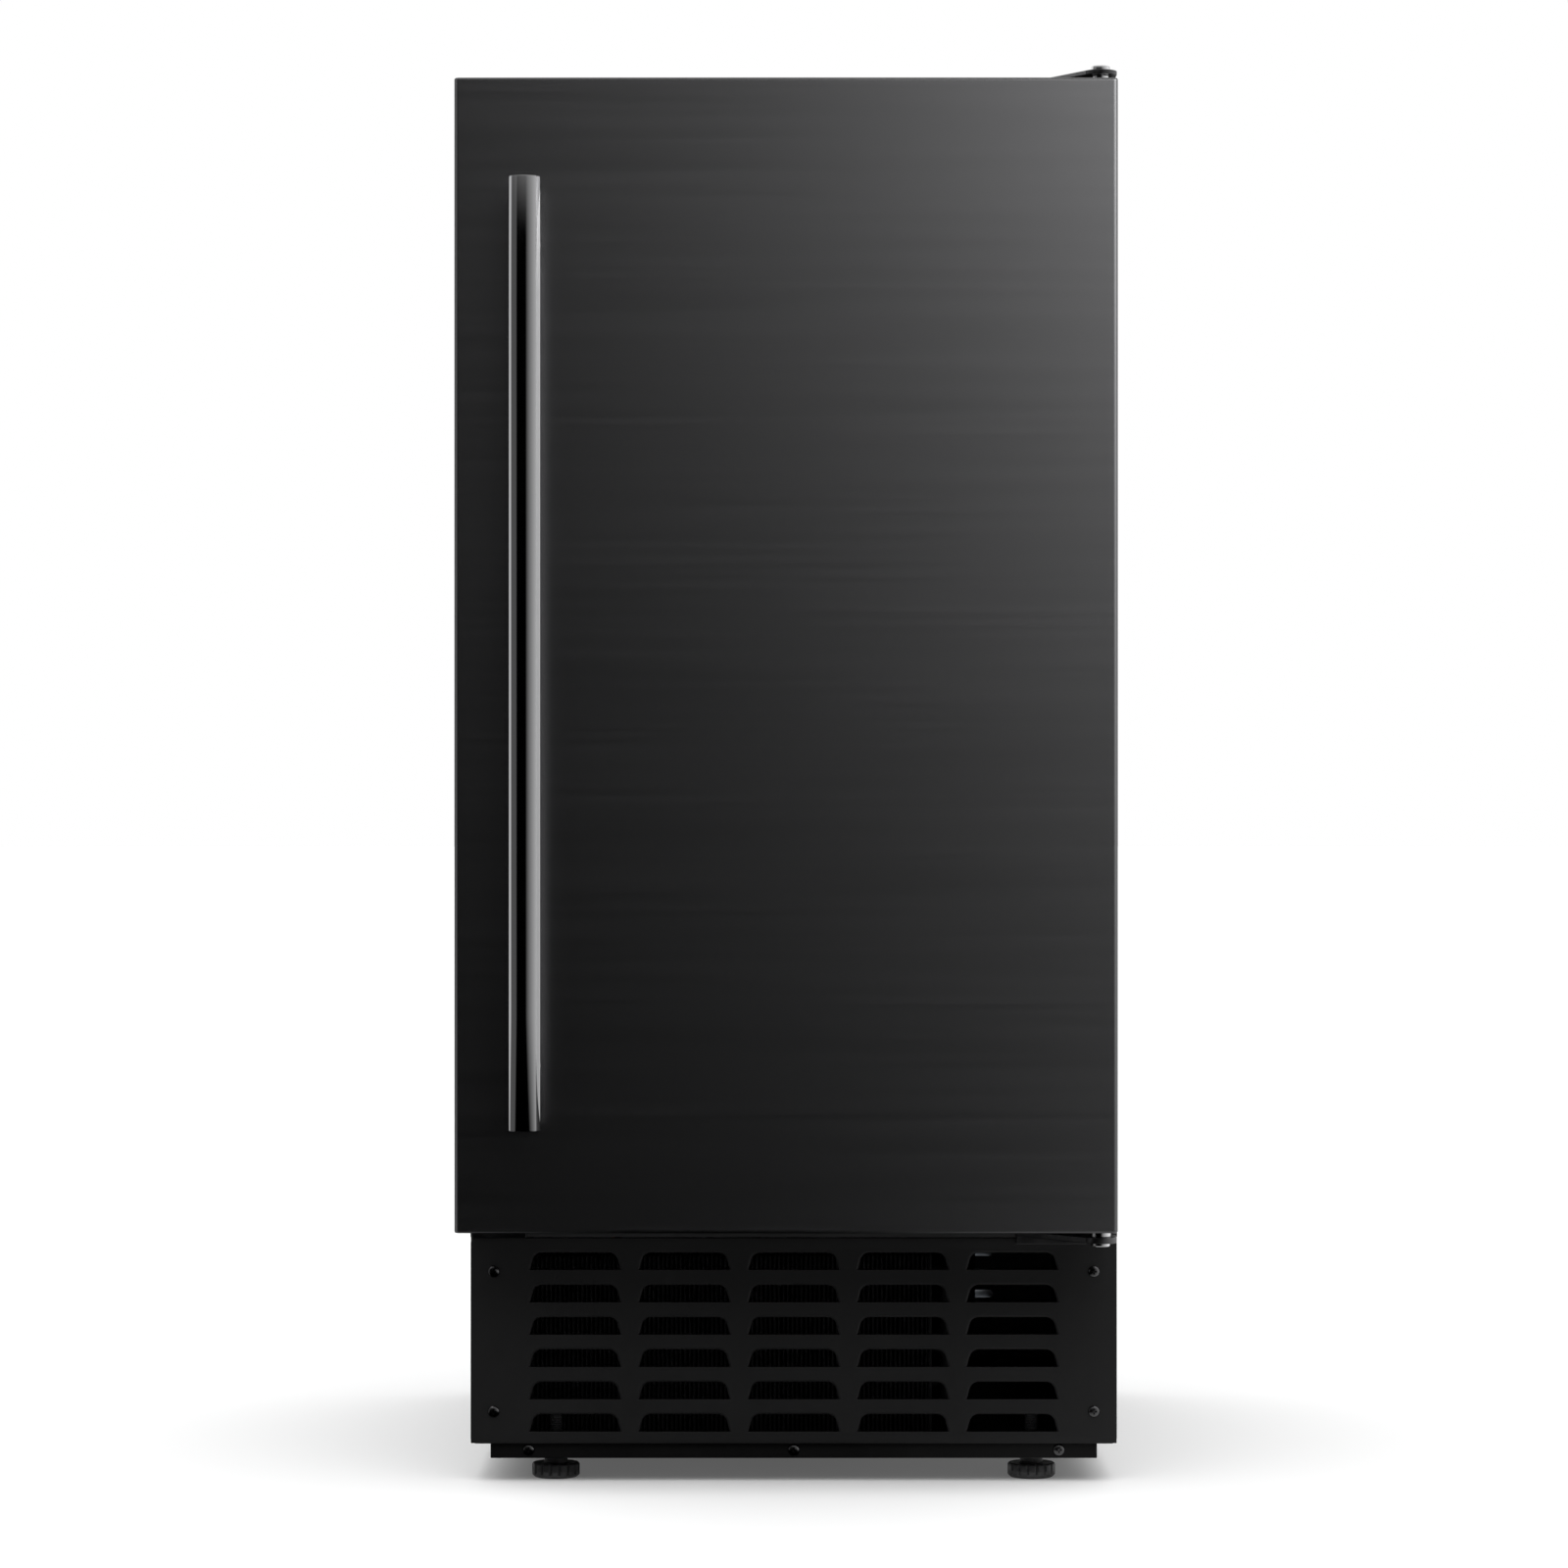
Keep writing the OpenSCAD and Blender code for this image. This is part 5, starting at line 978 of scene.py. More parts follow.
class ICEMAKER_OT_front_screws(bpy.types.Operator):
    """Turn the domed screws of the grille and plinth and cut their cross recesses"""

    bl_idname = "icemaker.front_screws"
    bl_label = "Front screws"

    def execute(self, context):
        bm, cutter = bmesh.new(), bmesh.new()
        rise = 2 * MM
        for lo, hi in islands("front_screws"):
            seat = Vector(((lo.x + hi.x) / 2, lo.y + rise, (lo.z + hi.z) / 2))
            screw(
                bm, cutter, seat, Vector((0, -1, 0)), (hi.x - lo.x) / 2, rise, 1.85 * MM, hi.y - seat.y,
                sizes().screw_recess,
            )
        made = piece("front_screws_turned", bm, "front_screws", "blackened_screw")
        carve(made, cutter)
        return {"FINISHED"}


def islands(node):
    """The box of each separate solid of a node, as pairs of corners."""
    bm = bmesh.new()
    bm.from_mesh(frame["nodes"][node].data)
    bmesh.ops.remove_doubles(bm, verts=bm.verts, dist=2e-6)
    left, boxes = set(bm.verts), []
    while left:
        reached, edge = set(), [left.pop()]
        while edge:
            v = edge.pop()
            reached.add(v)
            for e in v.link_edges:
                other = e.other_vert(v)
                if other in left:
                    left.discard(other)
                    edge.append(other)
        lo = Vector([min(v.co[i] for v in reached) for i in range(3)])
        hi = Vector([max(v.co[i] for v in reached) for i in range(3)])
        boxes.append((lo, hi))
    bm.free()
    return sorted(boxes, key=lambda b: [round(b[0][i], 4) for i in (2, 0, 1)])


class ICEMAKER_OT_feet(bpy.types.Operator):
    """Mould the four levelling feet with their scalloped grips"""

    bl_idname = "icemaker.feet"
    bl_label = "Levelling feet"

    def execute(self, context):
        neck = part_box("base_pan")[0].z - 0.3 * MM
        for node in ("foot_front_left", "foot_front_right", "foot_rear_left", "foot_rear_right"):
            lo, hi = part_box(node)
            x, y = (lo.x + hi.x) / 2, (lo.y + hi.y) / 2
            radius, grips = (hi.x - lo.x) / 2, 16
            steps = grips * 10
            rings = []
            levels = [
                (0.0, 1.9, 0.0), (0.15, 1.5, 0.0), (0.8, 0.7, 0.0), (1.5, 0.05, 0.0), (2.2, 0.0, 0.1),
                (2.6, 0.0, 1.0), (7.3, 0.0, 1.0), (8.0, 0.25, 0.9), (8.5, 0.9, 0.5),
            ]
            for z, step, depth in levels:
                ring = []
                for i in range(steps):
                    turn = math.tau * i / steps
                    wave = abs(math.cos(turn * grips / 2))
                    notch = max(0.0, 1.0 - wave * 2.6) ** 0.5 * depth * 1.1 * MM
                    r = radius - step * MM - notch
                    ring.append(Vector((x + r * math.cos(turn), y + r * math.sin(turn), z * MM)))
                rings.append(ring)
            bm = bmesh.new()
            skin(bm, rings)
            drum(bm, (x, y, 0), 6.8 * MM, 7.5 * MM, neck, edge=0.6 * MM)
            thread = []
            z = neck
            while z < hi.z - 1.6 * MM:
                thread += [(3.55 * MM, z), (4 * MM, z + 0.5 * MM), (3.55 * MM, z + 1.0 * MM)]
                z += 1.25 * MM
            thread += [(3.5 * MM, hi.z - 0.5 * MM), (3.0 * MM, hi.z)]
            turned(bm, thread, (x, y, 0), "Z", 24)
            piece(node + "_moulded", bm, node, "black_moulded_plastic", 40)
        return {"FINISHED"}


# ---------------------------------------------------------------- cabinet


class ICEMAKER_OT_cabinet(bpy.types.Operator):
    """Fold the cabinet's panels, base and bars, and pour its foam"""

    bl_idname = "icemaker.cabinet"
    bl_label = "Cabinet panels"

    def execute(self, context):
        ease = sizes().sheet_edge
        for node in ("side_panel_left", "side_panel_right", "top_panel"):
            softened(node, "black_powder_coat", ease * 1.4, segments=2)
        softened("base_pan", "plinth_coat", ease * 1.6, segments=2)
        softened("front_crossbar", "black_powder_coat", ease)
        for node in ("lower_crossbar", "machine_deck"):
            softened(node, "galvanised_sheet", ease)
        softened("cabinet_foam", "poured_foam", 0.0)
        return {"FINISHED"}


class ICEMAKER_OT_panel_screws(bpy.types.Operator):
    """Turn the pan-head screws of the rear panel and the hinge plates"""

    bl_idname = "icemaker.panel_screws"
    bl_label = "Panel screws"

    def execute(self, context):
        bm, cutter = bmesh.new(), bmesh.new()
        rise = 2 * MM
        for lo, hi in islands("panel_screws"):
            middle, span = (lo + hi) / 2, hi - lo
            along = 2 if span.z > span.y else 1
            outward = Vector((0, 0, 0))
            outward[along] = 1 if along == 2 or middle.y > 0 else -1
            length = span[along] - rise
            seat = middle + outward * (span[along] / 2 - rise)
            screw(bm, cutter, seat, outward, span.x / 2, rise, 1.85 * MM, length, sizes().screw_recess)
        made = piece("panel_screws_turned", bm, "panel_screws", "zinc_screw")
        carve(made, cutter)
        return {"FINISHED"}


class ICEMAKER_OT_rear_panel(bpy.types.Operator):
    """Cut the rear panel and press a hood over each of its air slots"""

    bl_idname = "icemaker.rear_panel"
    bl_label = "Rear panel"

    def execute(self, context):
        lo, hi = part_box("rear_panel")
        middle = compressor_axis().x
        length, height, gap, overlap = 84 * MM, 5 * MM, 6 * MM, 4 * MM
        holes, hoods = [], bmesh.new()
        for j in range(9):
            foot = lo.z + 40 * MM + 14 * MM * j
            for left in (middle - gap - length, middle + gap):
                right = left + length
                holes.append(round_rect(left, foot, right, foot + height, 2.4 * MM, 3))
                rows = []
                for i in range(17):
                    share = 2 * i / 16 - 1
                    reach = 3.8 * MM * (1 - share**8) ** 0.5
                    x = left - 0.6 * MM + (length + 1.2 * MM) * i / 16
                    row = []
                    for k in range(7):
                        turn = math.radians(90 * k / 6)
                        y = hi.y - 0.4 * MM + reach * math.sin(turn)
                        z = foot - 0.7 * MM + (height + 1.6 * MM) * math.cos(turn)
                        row.append(hoods.verts.new((x, y, z)))
                    rows.append(row)
                quilt(hoods, rows)
        for name in ("water_inlet_valve", "drain_pipe", "cord_gland"):
            holes.append(rear_opening(name, 0.2 * MM, hi.y))
        bm = bmesh.new()
        outline = round_rect(lo.x, lo.z - overlap, hi.x, hi.z, 0.8 * MM, 2)
        plate(bm, outline, holes, "Y", lo.y, hi.y, 0.25 * MM)
        made = piece("rear_panel_cut", bm, "rear_panel", "galvanised_sheet", solid=False)
        level_flats(made)
        piece(
            "rear_panel_hoods", hoods, "rear_panel", "galvanised_sheet", 40,
            sheet=0.8 * MM, side=0.0,
        )
        return {"FINISHED"}


def compressor_axis():
    """The foot of the compressor's upright axis."""
    lo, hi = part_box("compressor")
    reach = 79 * MM
    return Vector((hi.x - reach, hi.y - reach, lo.z))


def rear_opening(node, margin, plane):
    """The round hole of the rear panel that a node comes through."""
    near = [v.co for v in frame["nodes"][node].data.vertices if abs(v.co.y - plane) < 3 * MM]
    xs, zs = [p.x for p in near], [p.z for p in near]
    radius = (max(xs) - min(xs)) / 2
    return circle((max(xs) + min(xs)) / 2, (max(zs) + min(zs)) / 2, min(radius, 13.2 * MM) + margin)


# ---------------------------------------------------------------- ice bin


class ICEMAKER_OT_bin(bpy.types.Operator):
    """Form the ice bin's liner with its round corners, its clear guard and the drain"""

    bl_idname = "icemaker.bin"
    bl_label = "Ice bin"

    def execute(self, context):
        lo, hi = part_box("inner_liner")
        wall, corner = 2.5 * MM, sizes().liner_corner
        guard_lo, guard_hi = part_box("bin_guard")
        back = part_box("evaporator_frame")[1].y
        left, right, floor = guard_lo.x, guard_hi.x, guard_lo.z
        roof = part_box("control_housing")[1].z
        step_y, step_z = back - 185 * MM, floor + 100 * MM
        side = [
            (lo.y, floor), (step_y, floor), (step_y, step_z), (back, step_z), (back, roof), (lo.y, roof),
        ]
        bm = bmesh.new()
        near, far = ([bm.verts.new((x, y, z)) for y, z in side] for x in (left, right))
        bm.faces.new(near)
        bm.faces.new(list(reversed(far)))
        for i in range(len(side) - 1):
            bm.faces.new((near[i], far[i], far[i + 1], near[i + 1]))
        bmesh.ops.recalc_face_normals(bm, faces=bm.faces)
        rounded = [e for e in bm.edges if e.is_manifold]
        bmesh.ops.bevel(
            bm, geom=rounded, offset=corner, segments=7, profile=0.5, affect="EDGES", clamp_overlap=True
        )
        if sum(f.normal.x * (f.calc_center_median().x - left - right) for f in bm.faces) > 0:
            bmesh.ops.reverse_faces(bm, faces=bm.faces)
        shell = piece(
            "ice_bin_liner", bm, "inner_liner", "white_liner_plastic", 50, solid=False, sheet=wall,
        )
        level_flats(shell)
        reach = wall + corner
        chamfer = [(step_y, step_z), (step_y + reach, step_z), (step_y, step_z - reach)]
        cutter = bmesh.new()
        skin(cutter, [at(chamfer, "X", x) for x in (left - MM, right + MM)])
        carve(bpy.data.objects["cabinet_foam_formed"], cutter)
        bm = bmesh.new()
        plate(
            bm, inset(lo, hi, 0, 3 * MM, steps=4),
            [round_rect(left, floor, right, roof, corner, 8)], "Y", lo.y, lo.y + 1.5 * MM, 0.5 * MM, 2,
        )
        flange = piece("ice_bin_flange", bm, "inner_liner", "white_liner_plastic", solid=False)
        level_flats(flange)

        bm = bmesh.new()
        lip = 3 * MM
        front, top = guard_lo.y, guard_hi.z
        path = [
            (front, floor), (front, top - lip * 0.6), (front + lip * 0.6, top), (guard_hi.y, top),
            (guard_hi.y, top - lip), (front + lip * 1.4, top - lip), (front + lip, top - lip * 1.4),
            (front + lip, floor),
        ]
        skin(bm, [at(path, "X", x) for x in (left + 0.4 * MM, right - 0.4 * MM)])
        eased(bm, 0.5 * MM)
        level_flats(piece("bin_guard_formed", bm, "bin_guard", "clear_guard_plastic", solid=False))

        lo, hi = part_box("drain_pipe")
        radius, bore = 8 * MM, 6 * MM
        rim = 16 * MM
        drain = Vector((hi.x - rim, 5.1 * MM, hi.z - 1.5 * MM))
        outlet = Vector((lo.x + 11 * MM, hi.y, lo.z + 11 * MM))
        bm = bmesh.new()
        corner_low = Vector((drain.x, drain.y, outlet.z))
        corner_turn = Vector((outlet.x, drain.y, outlet.z))
        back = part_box("rear_panel")[1].y
        tail = Vector((outlet.x, back - 8 * MM, outlet.z))
        tube(bm, [drain, corner_low, corner_turn, tail], radius, 14 * MM, 20)
        nose = outlet.y - tail.y
        tip = [(8, -15), (11, -14.8), (11, -13), (7.1, -12.8)]
        for k in range(3):
            tip += [(8, 3.2 * k - 9.6), (7.1, 3.2 * k - 7)]
        tip += [(6.3, 0), (6, -0.3)]
        profile = [(bore, 0), (radius, 0), *scaled(tip, nose)]
        turned_ring(bm, profile, tail, "Y", 36)
        piece("drain_pipe_bent", bm, "drain_pipe", "grey_moulded_plastic", 40)
        bm = bmesh.new()
        holes = [circle(drain.x, drain.y, 1.6 * MM, 12)]
        for ring, count in ((4.6, 8), (8.6, 14), (12.2, 20)):
            spots = circle(drain.x, drain.y, ring * MM, count)
            holes += [circle(*spot, 1.2 * MM, 10) for spot in spots]
        plate(bm, circle(drain.x, drain.y, rim, 40), holes, "Z", hi.z - 0.6 * MM, hi.z, 0.12 * MM)
        piece("drain_strainer", bm, "drain_pipe", "grey_moulded_plastic", solid=False)
        return {"FINISHED"}


# ---------------------------------------------------------------- ice making


class ICEMAKER_OT_evaporator(bpy.types.Operator):
    """Press the cell plate, bend its coil and fit its frame, water tube and curtain"""

    bl_idname = "icemaker.evaporator"
    bl_label = "Evaporator"

    def execute(self, context):
        lo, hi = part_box("evaporator_plate")
        columns, rows, wall, deep = 7, 6, 2 * MM, 10 * MM
        across, up = (hi.x - lo.x - wall) / columns, (hi.z - lo.z - wall) / rows
        bm, cells = bmesh.new(), []
        for i in range(columns):
            for j in range(rows):
                x, z = lo.x + wall + across * i, lo.z + wall + up * j
                cells.append(round_rect(x, z, x + across - wall, z + up - wall, 3 * MM, 4))
                rings = []
                near, far = Vector((x, 0, z)), Vector((x + across - wall, 0, z + up - wall))
                for step, y in ((0.0, 0.8), (1.2, 7), (1.9, 9.1), (3.4, 10)):
                    cup = inset(near, far, step * MM, (3 + step * 0.6) * MM, steps=4)
                    rings.append(at(cup, "Y", lo.y + y * MM))
                skin(bm, rings, first=False)
        plate(bm, inset(lo, hi, 0, 1.5 * MM, steps=4), cells, "Y", lo.y, lo.y + 1.8 * MM, 0.4 * MM)
        slab(bm, (lo.x, lo.y + deep + 0.05 * MM, lo.z), hi, 0.4 * MM)
        for low, high in (
            ((lo.x, lo.y + MM, lo.z), (lo.x + wall * 0.8, hi.y - MM, hi.z)),
            ((hi.x - wall * 0.8, lo.y + MM, lo.z), (hi.x, hi.y - MM, hi.z)),
            ((lo.x, lo.y + MM, lo.z), (hi.x, hi.y - MM, lo.z + wall * 0.8)),
            ((lo.x, lo.y + MM, hi.z - wall * 0.8), (hi.x, hi.y - MM, hi.z)),
        ):
            slab(bm, low, high, 0.3 * MM)
        piece("evaporator_cells", bm, "evaporator_plate", "nickel_evaporator", solid=False)

        low, high = axis_box("evaporator_coil", 4 * MM)
        stub = high.y + 4 * MM
        pitch = (high.z - low.z) / 5
        turns = ["y", low.y]
        for i in range(5):
            turns += ["x", (high.x, low.x)[i % 2], "z", low.z + pitch * (i + 1)]
        turns += ["x", low.x, "y", low.y + 9 * MM, "x", high.x, "y", stub]
        bm = bmesh.new()
        tube(bm, route((low.x, stub, low.z), *turns), 4 * MM, 9 * MM, 16)
        piece("evaporator_coil_bent", bm, "evaporator_coil", "copper_pipe")

        softened("evaporator_frame", "white_liner_plastic", 0.8 * MM, segments=3)
        softened("distributor_tube", "white_liner_plastic", 0.3 * MM)

        lo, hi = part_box("ice_curtain")
        barrel, rib = 5 * MM, 2 * MM
        pivot = Vector((0, hi.y - barrel, hi.z - barrel))
        left, right = lo.x + 5.5 * MM, hi.x - 5.5 * MM
        face = pivot.y - 1.2 * MM
        bm = bmesh.new()
        sheet = [(left, pivot.z), (left, lo.z + 10 * MM)]
        sheet += arc(left + 10 * MM, lo.z + 10 * MM, 10 * MM, range(195, 271, 15))
        sheet += [(left + right - u, w) for u, w in reversed(sheet)]
        plate(bm, sheet, [], "Y", face, face + 2.4 * MM, 0.5 * MM, 2)
        drum(bm, (0, pivot.y, pivot.z), barrel, left, right, "X", 0.8 * MM, 32)
        drum(bm, (0, pivot.y, pivot.z), 3 * MM, lo.x, hi.x, "X", 0.5 * MM, 24)
        for x in (left, (left + right) / 2 - rib / 2, right - rib):
            slab(bm, (x, face - 4 * MM, lo.z + 10 * MM), (x + rib, face + MM, pivot.z), 0.7 * MM, 3)
        level_flats(
            piece("ice_curtain_moulded", bm, "ice_curtain", "clear_curtain_plastic", solid=False)
        )
        return {"FINISHED"}


class ICEMAKER_OT_water(bpy.types.Operator):
    """Mould the water trough, its float and the pump, and fit the hoses"""

    bl_idname = "icemaker.water"
    bl_label = "Trough, pump and float"

    def execute(self, context):
        lo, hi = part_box("water_trough")
        float_lo, float_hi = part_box("level_float")
        wall, corner = 2.5 * MM, 9 * MM
        middle = (float_lo + float_hi) / 2
        bm = bmesh.new()
        rings = []
        for step, z in (
            (5, 0), (2.2, 0.6), (0.6, 2.2), (0, 5), (0, 40), (0, 44.2), (0.3, 44.7), (0.8, 45),
            (1.7, 45), (2.2, 44.7), (2.5, 44.2), (2.5, 7.5), (3.2, 4.6), (4.8, 3), (7.5, 2.5),
        ):
            outline = inset(lo, hi, step * MM, max(corner - step * MM, 3 * MM), "Z", 6)
            rings.append(at(outline, "Z", lo.z + z * MM))
        skin(bm, rings)
        seat, stem = 5 * MM, 3 * MM
        foot = float_lo.z - 0.3 * MM
        turned(
            bm,
            [
                (0, lo.z + MM), (seat + MM, lo.z + MM), (seat + MM, lo.z + wall), (seat, lo.z + wall + MM),
                (seat, foot - 0.4 * MM), (seat - 0.4 * MM, foot), (stem, foot), (stem, hi.z - 3 * MM),
                (stem - MM, hi.z - 2 * MM), (0, hi.z - 2 * MM),
            ],
            (middle.x, middle.y, 0), "Z", 28,
        )
        piece("water_trough_moulded", bm, "water_trough", "white_liner_plastic", 40)

        bm = bmesh.new()
        outer, bore, height = (float_hi.x - float_lo.x) / 2, 3.35 * MM, float_hi.z - float_lo.z
        wall = [
            (bore, 0.6 * MM), (bore + 0.6 * MM, 0), (outer - 2 * MM, 0), (outer - 0.6 * MM, 0.6 * MM),
            (outer, 2 * MM), (outer, height * 0.42), (outer - 0.5 * MM, height * 0.46),
        ]
        wall += [(r, height - d) for r, d in reversed(wall)]
        turned_ring(bm, wall, (middle.x, middle.y, float_lo.z), "Z", 36)
        piece("level_float_moulded", bm, "level_float", "float_plastic", 40)

        lo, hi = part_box("water_pump")
        radius = (hi.x - lo.x) / 2
        x, y = lo.x + radius, hi.y - radius
        bm = bmesh.new()
        volute, body, top = lo.z + 22 * MM, lo.z + 56.5 * MM, hi.z - 5 * MM
        profile = [
            (0, lo.z + MM), (7 * MM, lo.z + MM), (8 * MM, lo.z), (radius - 3 * MM, lo.z),
            (radius - MM, lo.z + MM), (radius, lo.z + 3 * MM), (radius, volute - 3 * MM),
            (radius - MM, volute - MM), (radius - 3 * MM, volute), (10.5 * MM, volute + 0.5 * MM),
            (9 * MM, volute + 2.5 * MM),
            (9 * MM, body - 2 * MM), (10.5 * MM, body), (radius - 2.5 * MM, body + 0.3 * MM),
            (radius - 0.6 * MM, body + 1.2 * MM), (radius, body + 3 * MM),
        ]
        z = body + 8 * MM
        while z < top - 8 * MM:
            groove = radius - MM
            profile += [(radius, z), (groove, z + 0.6 * MM), (groove, z + 2.4 * MM), (radius, z + 3 * MM)]
            z += 7 * MM
        profile += [
            (radius, top - 3 * MM), (radius - 0.8 * MM, top - MM), (radius - 3 * MM, top),
            (15 * MM, top + 0.3 * MM), (15 * MM, hi.z - 1.5 * MM), (13.5 * MM, hi.z), (0, hi.z),
        ]
        turned(bm, profile, (x, y, 0))
        hose_lo, hose_hi = axis_box("pump_hose", 6 * MM)
        spout = hose_lo.z
        nipple = [(3.9 * MM, lo.y), (4.4 * MM, lo.y + 0.5 * MM), (4.4 * MM, y - radius * 0.6)]
        turned(bm, [(0, lo.y)] + nipple, (x, 0, spout), "Y", 24)
        for spot in arc(x, y, radius - 5 * MM, (45, 135, 225, 315)):
            drum(bm, (*spot, 0), 2.2 * MM, volute - MM, body + MM, edge=0.3 * MM, steps=16)
        piece("water_pump_moulded", bm, "water_pump", "grey_moulded_plastic", 40)

        bm = bmesh.new()
        line = route(
            (x, hose_hi.y + 6 * MM, spout), "y", hose_lo.y, "z", hose_hi.z, "x", hose_lo.x - 6 * MM
        )
        tube(bm, line, 6 * MM, 13 * MM, 18, 8)
        piece("pump_hose_bent", bm, "pump_hose", "clear_vinyl_hose")
        bm = bmesh.new()
        for low, high, axis, spot in (
            (hose_hi.y - 1.5 * MM, hose_hi.y + 1.5 * MM, "Y", (x, 0, spout)),
            (hose_lo.x + 3 * MM, hose_lo.x + 6 * MM, "X", (0, hose_lo.y, hose_hi.z)),
        ):
            ring = [
                (5.9 * MM, low), (6.9 * MM, low), (7.1 * MM, low + 0.3 * MM),
                (7.1 * MM, high - 0.3 * MM), (6.9 * MM, high), (5.9 * MM, high),
            ]
            turned_ring(bm, ring, spot, axis, 28)
        piece("pump_hose_clips", bm, "pump_hose", "zinc_screw")

        low, high = axis_box("water_fill_tube", 4 * MM)
        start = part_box("water_fill_tube")[0]
        rise = start.x + 5 * MM
        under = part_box("machine_deck")[1].z - 31.2 * MM
        behind = axis_box("suction_line", 4 * MM)[1].y
        line = route(
            (start.x, high.y, low.z), "x", rise, "z", under, "x", high.x, "y", behind, "z", high.z,
            "y", start.y,
        )
        bm = bmesh.new()
        tube(bm, line, 4 * MM, 12 * MM, 16)
        piece("water_fill_tube_bent", bm, "water_fill_tube", "clear_vinyl_hose")
        return {"FINISHED"}


# ---------------------------------------------------------------- controls


class ICEMAKER_OT_controls(bpy.types.Operator):
    """Mould the control housing with its buttons, lens, board and lamp"""

    bl_idname = "icemaker.controls"
    bl_label = "Controls"

    def execute(self, context):
        ease = sizes().sheet_edge
        softened("control_housing", "grey_moulded_plastic", ease * 4, segments=3)
        for node in ("power_button", "clean_button", "light_button"):
            lo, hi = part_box(node)
            x, z = (lo.x + hi.x) / 2, (lo.z + hi.z) / 2
            skirt = (hi.x - lo.x) / 2
            cap, front = skirt - 1.5 * MM, lo.y
            bm = bmesh.new()
            profile = [
                (0, 0.7 * MM), (cap * 0.35, 0.6 * MM), (cap * 0.62, 0.25 * MM), (cap * 0.78, 0),
                (cap - 0.5 * MM, 0.1 * MM), (cap, 0.6 * MM), (cap, 5.8 * MM), (skirt, 5.8 * MM),
                (skirt, 7 * MM), (2 * MM, 7 * MM), (2 * MM, hi.y - front), (0, hi.y - front),
            ]
            turned(bm, profile, (x, front, z), "Y", 40)
            piece(node + "_moulded", bm, node, "white_button_plastic", 40)
        softened("display_lens", "smoked_lens", ease * 2, segments=2)
        softened("bin_lamp", "frosted_lamp", ease * 2, segments=2)

        lo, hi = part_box("control_board")
        buttons = [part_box(n + "_button") for n in ("power", "clean", "light")]
        lens_lo, lens_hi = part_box("display_lens")
        lip = 2 * MM
        switch = 3 * MM
        face = buttons[0][1].y + 1.8 * MM
        board = hi.y - 24.4 * MM - 1.6 * MM
        bm = bmesh.new()
        holes = [circle(x, (lo.z + hi.z) / 2, 1.6 * MM, 16) for x in (lo.x + 4 * MM, hi.x - 4 * MM)]
        plate(bm, inset(lo, hi, 0, 2 * MM), holes, "Y", board, board + 1.6 * MM, 0.1 * MM)
        piece("control_board_plate", bm, "control_board", "circuit_board", solid=False)
        dark, pale = bmesh.new(), bmesh.new()
        for low, high in buttons:
            x, z = (low.x + high.x) / 2, (low.z + high.z) / 2
            slab(dark, (x - switch, face, z - switch), (x + switch, board, z + switch), 0.3 * MM)
        slab(
            dark, (lens_lo.x + lip, lens_hi.y + 0.3 * MM, lens_lo.z + lip),
            (lens_hi.x - lip, board, lens_hi.z - lip), 0.3 * MM,
        )
        part, relay = board + 1.6 * MM, Vector((18, 16.4, 18)) * MM
        slab(dark, (lo.x + 6 * MM, part, lo.z + 3 * MM), (lo.x + 30 * MM, hi.y, lo.z + 27 * MM), MM)
        fuse = Vector((lo.x + 33 * MM, part, lo.z + 4 * MM))
        slab(pale, fuse, (fuse.x + 8 * MM, hi.y - 8 * MM, fuse.z + 21 * MM), 0.6 * MM)
        for i in range(2):
            foot = Vector((hi.x - (56 - 21 * i) * MM, part, lo.z + 3 * MM))
            slab(dark, foot, foot + relay, 0.7 * MM)
        for i in range(4):
            spot = (lo.x + (54 + 11 * i) * MM, 0, lo.z + 12 * MM)
            drum(dark, spot, 4 * MM, part, part + 11 * MM, "Y", 0.5 * MM, 24)
        piece("control_board_parts", dark, "control_board", "black_moulded_plastic")
        for i in range(3):
            foot = Vector((hi.x - 13 * MM, part, lo.z + (2 + 9 * i) * MM))
            slab(pale, foot, foot + Vector((9, 8, 7)) * MM, 0.4 * MM)
        piece("control_board_plugs", pale, "control_board", "white_button_plastic")
        return {"FINISHED"}


# ---------------------------------------------------------------- cooling


